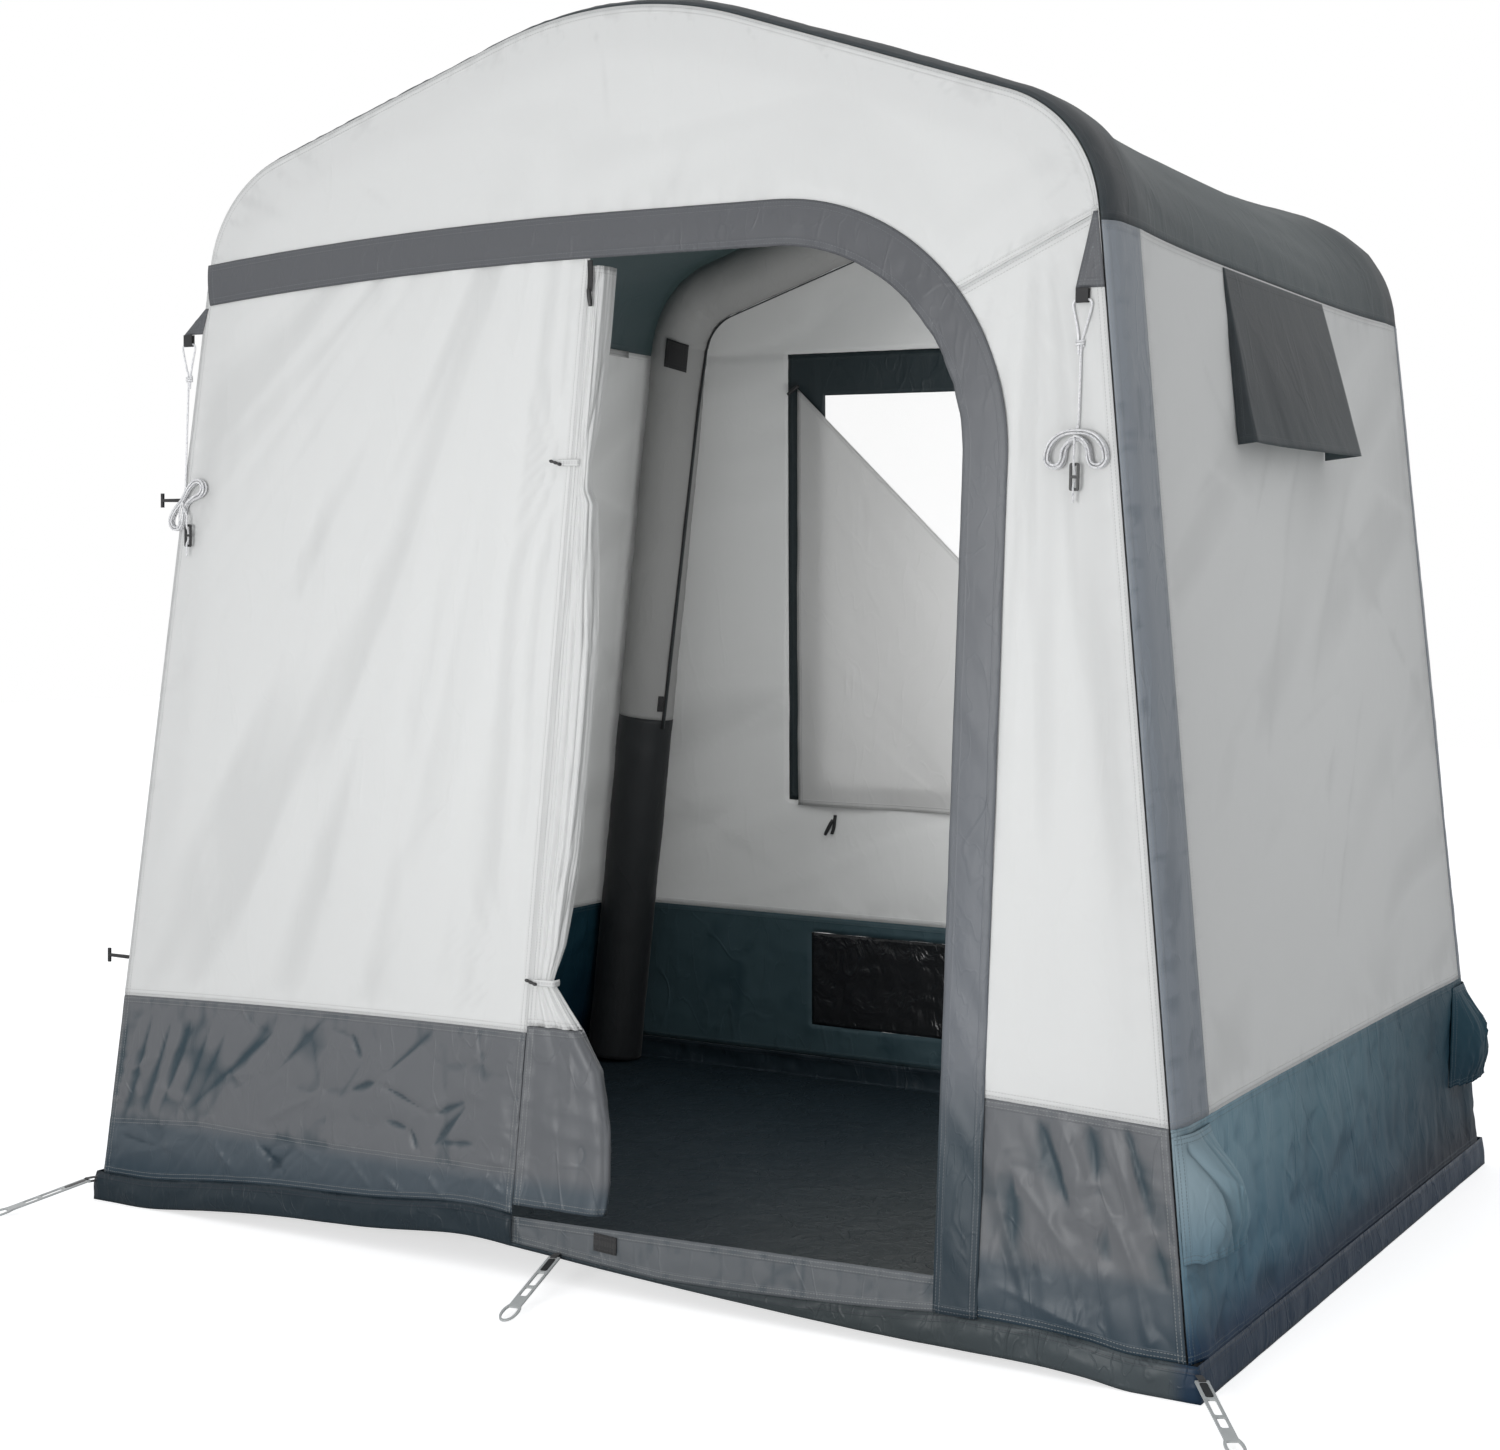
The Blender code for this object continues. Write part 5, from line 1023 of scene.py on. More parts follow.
door = {
    "zipX": 0.64,
    "headHeight": 1.605,
    "headDrop": 0.06,
    "cornerRadius": 0.35,
    "flapFoot": 0.062,
    "seamAngle": 40,
    "seamEnd": 1.59,
    "edgeFoot": -0.118,
    "edgeHead": -0.03,
    "sillLeft": 0.094,
    "sillRight": 0.113,
    "sillSeat": (0.006, 0.05),
    "sillSeatStart": 0.15,
    "secondSeam": ((-0.98, 0.133), (-0.76, 0.152), (-0.54, 0.15), (-0.34, 0.153), (-0.105, 0.157)),
    "rollTop": 1.56,
    "rollHem": 0.112,
    "rollSeam": 0.392,
    "toggles": (1.261, 0.462),
}


def sillFoot(x):
    # height of the tub's edge under the sill, rising to the right
    share = np.clip((x - door["sillSeatStart"]) / (door["zipX"] - door["sillSeatStart"]), 0, 1)
    return door["sillSeat"][0] + (door["sillSeat"][1] - door["sillSeat"][0]) * share ** 1.15


def headLine(x):
    # the zip over the door: level, and on the left lower by the square of x
    return door["headHeight"] - door["headDrop"] * np.minimum(x, 0) ** 2


def doorEdge(z):
    # x of the edge that the door is gathered to, straight from its foot to its head
    share = (np.asarray(z, float) - door["rollHem"]) / (door["rollTop"] - door["rollHem"])
    return door["edgeFoot"] + (door["edgeHead"] - door["edgeFoot"]) * share


def zipPath(count=25):
    # along the head, round the corner, down to the foot
    left = float(rimAt(headLine(-0.8), -1)[0]) + 0.004
    headX = np.linspace(left, door["zipX"] - door["cornerRadius"], 60)
    head = np.stack([headX, headLine(headX)], -1)
    middle = np.array([door["zipX"] - door["cornerRadius"], door["headHeight"] - door["cornerRadius"]])
    angle = np.radians(np.linspace(90, 0, count))[1:]
    corner = middle + door["cornerRadius"] * np.stack([np.cos(angle), np.sin(angle)], -1)
    downZ = np.linspace(middle[1], door["flapFoot"], 40)[1:]
    down = np.stack([np.full(len(downZ), door["zipX"]), downZ], -1)
    return np.concatenate([head, corner, down])


def onFront(flat, out=0.0):
    # a flat drawing, x and height, laid on the leaning front wall
    return np.stack([flat[..., 0], frontY(flat[..., 1]) - out, flat[..., 1]], -1)


def onBack(flat, inside=0.0):
    # the same on the rear wall
    return np.stack([flat[..., 0], -frontY(flat[..., 1]) - inside, flat[..., 1]], -1)


def flatArea(flat):
    # half the cross product of each cell's two diagonals, added up
    a, b, c, d = flat[:-1, :-1], flat[:-1, 1:], flat[1:, 1:], flat[1:, :-1]
    first, second = c - a, d - b
    return float(np.abs(0.5 * (first[..., 0] * second[..., 1] - first[..., 1] * second[..., 0])).sum())


def gathered(flat):
    # upright folds of the wall beside its gathered edge, closer together towards the two toggles
    beside = doorEdge(flat[..., 1]) - flat[..., 0]
    near = np.minimum(np.abs(flat[..., 1] - door["toggles"][0]), np.abs(flat[..., 1] - door["toggles"][1]))
    pitch = 0.016 + 0.22 * np.minimum(near, 0.16)
    wave = np.sin(2 * math.pi * beside / pitch + 2.0 * softNoise(flat[..., 1] / 0.25, 0 * beside, 3))
    return 0.0042 * wave * np.exp(-beside / 0.055)


def buildFront():
    gap = cloth["gap"]
    angle = math.radians(door["seamAngle"])
    middle = np.array([door["zipX"] - door["cornerRadius"], door["headHeight"] - door["cornerRadius"]])
    start = middle + door["cornerRadius"] * np.array([math.cos(angle), math.sin(angle)])
    shoulder = rimAt(door["seamEnd"], 1)
    path = zipPath(60)
    head = path[(path[:, 1] > start[1] + 0.001) & (path[:, 0] < start[0])]
    lower = np.concatenate([head, [start, shoulder]])
    lower[0] = rimAt(lower[0, 1], -1)
    upperS = np.linspace(-float(legS(lower[0, 1])), float(legS(door["seamEnd"])), 300)
    upper = np.stack(archPoint(upperS, shell["edgeInset"])[:2], -1)
    gable = between(evenly(lower, 190), evenly(upper, 190), 34)
    clothPiece("gableFront", onFront(gable), "gable", "whiteCloth", "white_cloth", "gable_front", area=flatArea(gable))

    foot = (door["zipX"], float(skirtLine(door["zipX"])) + gap)
    rest = path[(path[:, 1] < start[1] - 0.001) & (path[:, 0] > middle[0]) & (path[:, 1] > foot[1] + 0.01)]
    inner = np.concatenate([[start], rest, [foot]])
    outer = rimAt(np.linspace(door["seamEnd"], float(skirtLine(0.94)) + gap, 80), 1)
    right = between(evenly(inner, 115), evenly(outer, 115), 30)
    right[:, 0, 1] -= 0.0006
    clothPiece("wallFrontRight", onFront(right), "wallRight", "whiteCloth", "white_cloth", "front_wall_right",
               area=flatArea(right))

    share = np.linspace(0, 1, 72)[None]
    up = np.linspace(0, 1, 115)[:, None]
    leftX = rimAt(shell["skirtTop"] + up * (headLine(-0.8) - shell["skirtTop"]), -1)[..., 0]
    lowest = skirtLine(doorEdge(shell["skirtTop"])) + gap
    highest = headLine(doorEdge(door["headHeight"])) - gap
    rightX = doorEdge(lowest + up * (highest - lowest)) - gap
    x = leftX + share * (rightX - leftX)
    bottom, top = skirtLine(x) + gap, headLine(x) - gap
    left = np.stack([x, bottom + up * (top - bottom)], -1)
    clothPiece("wallFrontLeft", onFront(left), "wallFront", "whiteCloth", "white_cloth", "front_wall_left",
               area=flatArea(left), more=gathered(left))

    def lowerPanel(columns, leftAt, rightAt):
        # rows from the tub's rim to the skirt's top seam, between two side edges
        up = np.linspace(0, 1, 76)[:, None]
        share = np.linspace(0, 1, columns)[None]
        x = leftAt(up) + share * (rightAt(up) - leftAt(up))
        low = liftAt(x) + shell["tub"] + cloth["tubGap"]
        return np.stack([x, low + up * (skirtLine(x) - gap - low)], -1)

    def cornerX(side):
        return lambda up: rimAt(shell["tub"] + up * (shell["skirtTop"] - shell["tub"]), side)[..., 0]

    def openEdge(up):
        height = shell["tub"] + door["sillLeft"] / 2 + up * (shell["skirtTop"] - shell["tub"] - door["sillLeft"] / 2)
        return doorEdge(np.maximum(height, door["rollHem"])) - gap

    flat = lowerPanel(210, cornerX(-1), openEdge)
    seamX, seamZ = np.array(door["secondSeam"]).T
    above = flat[..., 1] - np.interp(flat[..., 0], seamX, seamZ)
    below = eased(-above / 0.012)
    puckers = 0.0035 * below * np.abs(foldField(flat[..., 0], flat[..., 1], 52, 0.12, 0.022, 77))
    clothPiece("skirtFrontLeft", onFront(flat), "skirtFront", "skirtCloth", "skirt", "skirt_front_left",
               area=flatArea(flat), seam=(np.where(above < 0, 1.0, above), flat[..., 0] - flat[..., 0].min()),
               extra=puckers + tracedCreases(flat[..., 0], flat[..., 1], creasesLeft, 0.0068)
               + tracedCreases(flat[..., 0], flat[..., 1], creasesStar, 0.0042))
    flat = lowerPanel(84, lambda up: 0 * up + door["zipX"], cornerX(1))
    clothPiece("skirtFrontRight", onFront(flat), "skirtRight", "skirtCloth", "skirt", "skirt_front_right",
               area=flatArea(flat), extra=tracedCreases(flat[..., 0], flat[..., 1], creasesRight, 0.01))
    x = np.linspace(door["edgeFoot"] + 0.0006, door["zipX"] - 0.0006, 110)
    share = (x - x[0]) / (x[-1] - x[0])
    low = np.stack([x, liftAt(x) + sillFoot(x) + cloth["tubGap"]], -1)
    high = np.stack([x, door["sillLeft"] + share * (door["sillRight"] - door["sillLeft"])], -1)
    sill = between(low, high, 14)
    clothPiece("doorSill", onFront(sill), "sill", "sillCloth", "skirt", "door_sill", area=flatArea(sill))


flap = {"half": 0.034, "out": 0.0028, "thick": 0.0018, "crown": 0.0025, "gather": 0.003, "crease": 0.0028,
        "edge": 0.0007, "corner": (0.53, 1.5)}


def buildFlap():
    # the band over the zip: crowned across, gathered on the inside of its corner, creased lower down
    path = evenly(zipPath(60), 300)
    along = np.gradient(path, axis=0)
    along /= np.linalg.norm(along, axis=1)[:, None]
    across = np.stack([-along[:, 1], along[:, 0]], -1)
    share = np.linspace(-1, 1, 15)
    flat = path[:, None] + flap["half"] * share[None, :, None] * across[:, None]
    run = np.linspace(0, 1, len(path))[:, None] * 2.6
    turnTop = np.exp(-((path - flap["corner"]) ** 2).sum(1) / 0.045)[:, None]
    crown = flap["crown"] * (1 - share[None] ** 2)
    gather = flap["gather"] * softNoise(run / 0.016, share[None] * 0.8, 5) * turnTop
    gather = gather * np.clip(-share[None] + 0.4, 0, 1.4)
    crease = flap["crease"] * foldField(run, share[None] * flap["half"], 35, 0.12, 0.03, 8)
    crease = crease * eased((flap["corner"][1] - path[:, 1:]) / 0.6)
    edge = flap["edge"] * softNoise(run / 0.03, 3 + 0 * run, 4) * np.abs(share[None]) ** 6
    out = flap["out"] + crown + gather + crease * (1 - share[None] ** 8) + edge
    points = onFront(flat) - np.array([0, 1, 0]) * out[..., None]
    sewn("stormFlap", points, flap["thick"], "slateClothPaintedSheen", "dark_cloth", "storm_flap", onFront(flat))


window = {"half": 0.51, "foot": 0.615, "border": 0.09, "borderFoot": 0.04}
hatch = {"half": 0.455, "foot": 0.12, "head": 0.325}


def block(x, z):
    # a flat grid of x against z
    gridX, gridZ = np.meshgrid(x, z, indexing="ij")
    return np.stack([gridX, gridZ], -1)


def buildBack():
    gap, step = cloth["gap"], 0.0125
    eave = float(legS(shell["eave"]))
    edgeHigh = float(rimAt(shell["eave"], 1)[0])
    reach = window["half"] + gap
    shares = stations([-1, -reach / edgeHigh, reach / edgeHigh, 1], step / edgeHigh)
    top = window["foot"] - gap
    heights = stations([shell["skirtTop"] + gap, top, shell["eave"] - gap], step)
    edge = rimAt(heights, 1)[:, 0]
    marks = np.stack([-edge, np.full(len(edge), -reach), np.full(len(edge), reach), edge], -1)
    x = np.stack([np.interp(shares, [-1, -reach / edgeHigh, reach / edgeHigh, 1], row) for row in marks])
    low = np.stack([x, np.repeat(heights[:, None], len(shares), 1)], -1)
    s = np.linspace(-eave, eave, 500)
    archX, archZ = archPoint(s, shell["edgeInset"])[:2]
    topX = np.interp(x[-1], np.linspace(-edgeHigh, edgeHigh, 3), [-edgeHigh, 0, edgeHigh])
    above = archZ > shell["eave"] - 0.001
    ridge = np.stack([topX, np.interp(topX, archX[above], archZ[above])], -1)
    ridge[[0, -1], 1] = shell["eave"] + 0.01
    high = between(low[-1], ridge, 26)[1:]
    flat = np.concatenate([low, high])
    columns = np.searchsorted(shares, [-reach / edgeHigh - 1e-6, reach / edgeHigh - 1e-6])
    hole = (int(np.argmin(np.abs(heights - top))), len(heights) - 1, int(columns[0]), int(columns[1]))
    area = flatArea(flat) - 2 * reach * (shell["eave"] - window["foot"])
    clothPiece("wallBack", onBack(flat), "wallBack", "whiteCloth", "white_cloth", "wall_back", hole, area=area)

    heights = stations([shell["tub"] + cloth["tubGap"], hatch["foot"] - gap, hatch["head"] + gap,
                        shell["skirtTop"] - gap], step)
    edge = rimAt(heights, 1)[:, 0]
    reach = hatch["half"] + gap
    shares = stations([-1, -0.5, 0.5, 1], 0.014)
    x = np.stack([np.interp(shares, [-1, -0.5, 0.5, 1], [-e, -reach, reach, e]) for e in edge])
    flat = np.stack([x, np.repeat(heights[:, None], len(shares), 1)], -1)
    columns = np.searchsorted(shares, [-0.5 - 1e-6, 0.5 - 1e-6])
    rows = np.searchsorted(heights, [hatch["foot"] - gap - 1e-6, hatch["head"] + gap - 1e-6])
    area = flatArea(flat) - 2 * reach * (hatch["head"] - hatch["foot"])
    clothPiece("skirtBack", onBack(flat), "skirtBack", "skirtBackCloth", "skirt", "skirt_back", (*rows, *columns),
               area=area)


def buildWindow():
    gap = cloth["gap"]
    head = shell["eave"] - 2 * gap
    inner = window["half"] - window["border"]
    x = stations([-window["half"], -inner, inner, window["half"]], 0.009)
    z = stations([window["foot"], window["foot"] + window["borderFoot"], head - window["border"], head], 0.009)
    flat = block(x, z)
    rows = np.searchsorted(x, [-inner - 1e-6, inner - 1e-6])
    columns = np.searchsorted(z, [z[0] + window["borderFoot"] - 1e-6, head - window["border"] - 1e-6])
    gridX, gridZ = flat[..., 0], flat[..., 1]
    ripple = 0.0032 * foldField(gridX, gridZ, 88, 0.35, 0.024, 7)
    ripple = ripple * np.minimum(eased((window["half"] - np.abs(gridX)) / 0.02), 1)
    points = onBack(flat, -0.0004) + np.array([0, 1, 0]) * (-np.abs(ripple))[..., None]
    tall = head - window["foot"]
    area = 2 * window["half"] * tall - 2 * inner * (tall - window["border"] - window["borderFoot"])
    sewn("windowBorder", points, 0.0022, "frameCloth", "dark_cloth", "window_border", onBack(flat), (*rows, *columns),
         area=area)

    foot, top = z[0] + window["borderFoot"] + 0.0003, head - window["border"] - 0.0003
    flat = block(stations([-inner + gap, inner - gap], 0.02), stations([foot, top], 0.02))
    points = onBack(flat, 0.001)
    points[..., 1] += 0.0016 * foldField(flat[..., 0], flat[..., 1], 40, 0.5, 0.12, 3)
    sewn("windowPane", points, 0.0004, "clearFilm", "clear_film", "window_pane", onBack(flat))

    flat = block(stations([-hatch["half"], hatch["half"]], 0.008), stations([hatch["foot"], hatch["head"]], 0.008))
    points = onBack(flat, 0.0016)
    wave = 0.005 * (crumple(flat[..., 0], flat[..., 1], 0.055, 19) - 0.3)
    edgeU, edgeV = measured(points)[2:]
    points[..., 1] += wave * eased(np.minimum(edgeU, edgeV) / 0.02)
    sewn("hatchFilm", points, 0.0006, "blackFilm", "black_film", "hatch_film", onBack(flat))


curtain = {"left": -0.48, "right": 0.44, "foot": 0.605, "head": 1.505, "cloth": 0.004, "fold": 0.007, "inside": 0.0036}


def buildCurtain():
    # its loose corner has dropped: a hanging triangle in soft folds that run down from the fixed corner
    share = np.linspace(0, 1, 96)[:, None]
    up = np.linspace(0, 1, 84)[None]
    x = curtain["left"] + share * (curtain["right"] - curtain["left"])
    top = curtain["head"] - share * (curtain["head"] - curtain["foot"] - 0.03)
    z = curtain["foot"] + up * (top - curtain["foot"])
    fold = np.sin(2 * math.pi * (share * 2.6 + 0.35 * up)) * (1 - up)
    x = x + 0 * up
    crease = foldField(x, z, -42, 0.55, 0.055, 29) * 0.30 + 0.15 * fanField(x, z, (-0.48, 1.60, 1.0), 0.06, 13)
    crease = crease * eased((1 - up) / 0.12)
    inside = curtain["inside"] + curtain["cloth"] + curtain["fold"] * (1 + fold + np.clip(crease, -0.9, 0.9))
    points = np.stack([x, -frontY(z) - inside, z], -1)
    flat = np.stack([x, z], -1)
    sewn("windowCurtain", points, 0.001, "curtainCloth", "curtain_cloth", "window_curtain", onBack(flat),
         body="curtain", held="hung", restsOn=["windowBorder"], area=flatArea(flat))


arch = {"under": 0.0035, "behind": 0.0038}


def archLine(s, rear):
    # a tube's centre line and the way out of the tent from it, a little clear of the cloth over and before it
    x, z, nx, nz = archPoint(s, arch["under"] + shell["tubeRadius"])
    y = frontY(z) + arch["behind"] + shell["tubeRadius"]
    y = -y if rear else y
    return np.stack([x, y, z], -1), np.stack([nx, np.zeros_like(nx), nz], -1)


def ringPoint(s, angle, rear, radius):
    # angle 0 points out of the tent, 90 along +Y, 180 into the tent
    centre, out = archLine(np.asarray(s, float), rear)
    angle, radius = np.broadcast_arrays(np.asarray(angle, float), np.asarray(radius, float))
    depth = np.array([0.0, 1.0, 0.0])
    return centre + radius[..., None] * (np.cos(angle)[..., None] * out + np.sin(angle)[..., None] * depth)


sleeve = {"radius": 0.0618, "step": 0.0085, "sides": 44, "ruche": 0.0022, "foot": 0.0222, "boot": 0.795,
          "bladderIn": 0.0055, "bladderSides": 20, "bladderStep": 0.03}


def tubePiece(name, s, rear, seed, finishName, slot, node, radius=sleeve["radius"], sides=sleeve["sides"]):
    # rings round the arch line, ruched most at the bend and on its inner side, each end drawn in to a point
    angle = np.arange(sides) * 2 * math.pi / sides
    gridS, gridA = np.meshgrid(s, angle, indexing="ij")
    bend = np.exp(-((np.abs(gridS) - (shoulderStart + shoulderEnd) / 2) / (0.75 * (shoulderEnd - shoulderStart))) ** 2)
    inside = np.clip(-np.cos(gridA), 0, 1)
    ruche = softNoise(gridS / 0.0095, np.cos(gridA) * 1.5 + 4, seed) * (0.25 + bend * (0.5 + inside))
    lazy = 0.5 * softNoise(gridS / 0.06, np.cos(gridA) * 2 + 9, seed + 1)
    lazy = lazy + 0.3 * softNoise(gridS / 0.03, np.sin(gridA) * 3, seed + 2)
    grown = radius + sleeve["ruche"] * (0.75 * ruche + lazy - 0.6)
    points = ringPoint(gridS, gridA, rear, grown)
    tip = [np.repeat(points[k].mean(0)[None], sides, 0)[None] for k in (0, -1)]
    piece = gridObject(name, np.concatenate([tip[0], points, tip[1]]), closedV=True, flip=False)
    closePoles(piece.data)
    dress(piece, finish[finishName], "tent", slot, node)


def buildArches():
    foot, boot = float(legS(sleeve["foot"])), float(legS(sleeve["boot"]))
    whole, upper = (stations([-end, 0, end], sleeve["step"]) for end in (foot, boot))
    tubePiece("sleeveFront", whole, False, 3, "sleeveCloth", "sleeve_cloth", "beam_sleeve_front")
    tubePiece("sleeveRear", upper, True, 13, "sleeveCloth", "sleeve_cloth", "beam_sleeve_rear")
    for side, name in ((-1, "Left"), (1, "Right")):
        leg = side * stations([boot + 0.0003, foot], sleeve["step"])
        tubePiece("sleeveBoot" + name, leg, True, 17 + side, "bootCloth", "boot_cloth", "sleeve_boot_" + name.lower())
    s = stations([-foot + 0.006, 0, foot - 0.006], sleeve["bladderStep"])
    for rear, name in ((False, "Front"), (True, "Rear")):
        tubePiece("airTube" + name, s, rear, 21, "tubeFilm", "bladder_film", "air_bladder_" + name.lower(),
                  sleeve["radius"] - sleeve["bladderIn"], sleeve["bladderSides"])


def ribbonOn(name, line, across, normal, half, thick, finishName, slot, body="tent", crown=0.0):
    # a flat strip: the line is its middle, across its width, normal the side that shows
    across, normal = (np.broadcast_to(way, line.shape)[:, None] for way in (across, normal))
    share = np.linspace(-1, 1, 5)
    points = line[:, None] + share[None, :, None] * across * half
    points = points + normal * (crown * (1 - share ** 2))[None, :, None]
    piece = gridObject(name, points, flip=False)
    if (gridNormals(points) * normal).sum() < 0:
        piece.data.flip_normals()
    thicken(piece, thick, 1.0)
    dress(piece, finish[finishName], body, slot)


def unit(rows):
    # each row made one long
    return rows / np.maximum(np.linalg.norm(rows, axis=-1, keepdims=True), 1e-12)


def buildSleeveZip():
    # zip of the rear sleeve: up the front of its leg, then round to its lower side over the shoulder
    turns = smoothed([(-1.765, 199), (-1.40, 191), (-1.10, 184), (-1.00, 178), (-0.90, 171), (-0.70, 166),
                      (-0.35, 166)], 16)
    s, angle = turns[:, 0], np.radians(turns[:, 1])
    line = ringPoint(s, angle, True, sleeve["radius"] + 0.0012)
    normal = unit(line - archLine(s, True)[0])
    across = unit(np.cross(np.gradient(line, axis=0), normal))
    ribbonOn("sleeveZip", line, across, normal, 0.005, 0.001, "blackTape", "boot_cloth")
    ribbonOn("sleeveZipTeeth", line + normal * 0.0011, across, normal, 0.0022, 0.0012, "metalZip", "black_plastic",
             crown=0.0006)
    # hook-and-loop patch across the bend, above the zip
    s = np.linspace(-0.985, -0.915, 12)
    ring = np.radians(np.linspace(222, 268, 12))
    gridS, gridA = np.meshgrid(s, ring, indexing="ij")
    points = ringPoint(gridS + 0.01 * (gridA - ring[0]), gridA, True, sleeve["radius"] + 0.0022)
    patch = gridObject("sleevePatch", points, outward=(-0.8, 0.9, 1.4))
    patch.data.flip_normals()
    thicken(patch, 0.0014, 1.0)
    dress(patch, finish["blackTape"], "tent", "boot_cloth")


hood = {"front": -0.27, "rear": 0.29, "footRear": 0.225, "foot": 1.305, "reachFront": 0.028, "reachRear": 0.062}


def hoodGrid(gusset=9, face=60, rows=38):
    # across the hood with a gusset at each side, where share falls from 1 on its face to 0 at the wall
    across = np.concatenate([np.zeros(gusset), np.linspace(0, 1, face), np.ones(gusset)])
    share = np.concatenate([np.linspace(0, 1, gusset + 1)[:-1], np.ones(face), np.linspace(1, 0, gusset + 1)[1:]])
    down = np.linspace(0, 1, rows)[None]
    across, share = across[:, None], share[:, None]
    rear = hood["rear"] + (hood["footRear"] - hood["rear"]) * down
    t = shell["halfDepth"] + hood["front"] + across * (rear - hood["front"])
    z = shell["eave"] - 0.004 + (hood["foot"] - shell["eave"] + 0.004) * down
    return across, share, down, t, z


def buildVent():
    # the hood: wall cloth held off the wall by two gussets, its hem stiffened
    across, share, down, t, z = hoodGrid()
    reach = (hood["reachFront"] + (hood["reachRear"] - hood["reachFront"]) * across) * down
    wave = 0.0032 * foldField(across * 0.5, down * 0.26, 75, 0.22, 0.05, 37) * down * share
    droop = 0.004 * np.sin(math.pi * across) * down ** 3
    out = 0.0012 + (0.0012 + reach + droop) * share + wave
    edge = 0.004 * softNoise(down * 9, across * 2, 6) * down * (1 - share) * 0.5
    points = skin(legS(z - droop * 0.8), t + edge, -out)
    sewn("ventHood", points, 0.0016, "roofCloth", "dark_cloth", "vent_hood")

    gap = 0.0003
    s = legS(stations([vent["foot"] + gap, vent["head"] - gap], 0.01))
    depth = stations([shell["halfDepth"] + vent["front"] + gap, shell["halfDepth"] + vent["rear"] - gap], 0.01)
    sewn("ventNet", skin(*np.meshgrid(s, depth, indexing="ij"), 0.0008), 0.0006, "ventNet", "vent_mesh", "vent_mesh")


pocket = {
    "top": 0.35, "length": 0.17, "topWidth": 0.11, "footWidth": 0.20, "bulge": 0.044,
    "creases": ((30, 30, 160, 120, 4), (120, 20, 100, 130, 4), (150, 60, 180, 140, -4), (50, 80, 40, 150, 4)),
}


def buildPockets():
    # flap over each valve: sewn on along its top, puffed out, its hem drawn up by elastic
    for rear, name in ((False, "Front"), (True, "Rear")):
        across, down = np.meshgrid(np.linspace(0, 1, 72), np.linspace(0, 1, 46), indexing="ij")
        width = pocket["topWidth"] + (pocket["footWidth"] - pocket["topWidth"]) * down
        t = 0.006 + across * width
        z = pocket["top"] - pocket["length"] * down
        belly = (1 - np.abs(2 * across - 1) ** 3) * eased(0.15 + down / 0.6) * (1 - 0.35 * eased((down - 0.72) / 0.28))
        scallop = np.abs(np.sin(math.pi * 9 * across + 0.5 * softNoise(across * 6, 0 * down, 3)))
        gathers = 0.0085 * (scallop - 0.6) * down ** 4 * np.sin(math.pi * across) ** 0.5
        crease = 0.003 * fanField(across * 0.2, down * 0.17, (0.1, 0.30, 1.0), 0.035, 15) * np.sin(math.pi * across)
        pleat = np.exp(-np.abs(across - 0.14 - 0.34 * down) / 0.05)
        crease = crease - 0.014 * pleat * eased(down / 0.15) * eased((1 - down) / 0.2)
        crease = crease + tracedCreases(across * 0.2, down * 0.17, pocket["creases"], 0.006)
        out = 0.0018 + pocket["bulge"] * belly + gathers + crease * eased(down / 0.15)
        z = z + 0.0045 * (scallop - 0.5) * down ** 6
        t = fullDepth - t if rear else t
        node = "valve_flap_" + name.lower()
        sewn("valveFlap" + name, skin(legS(z), t, -out), 0.0016, "skirtSideClothPaintedLight", "skirt", node, body=node)


ground = {"step": 0.011, "rows": 26, "wallRows": 8, "cloth": 0.003}


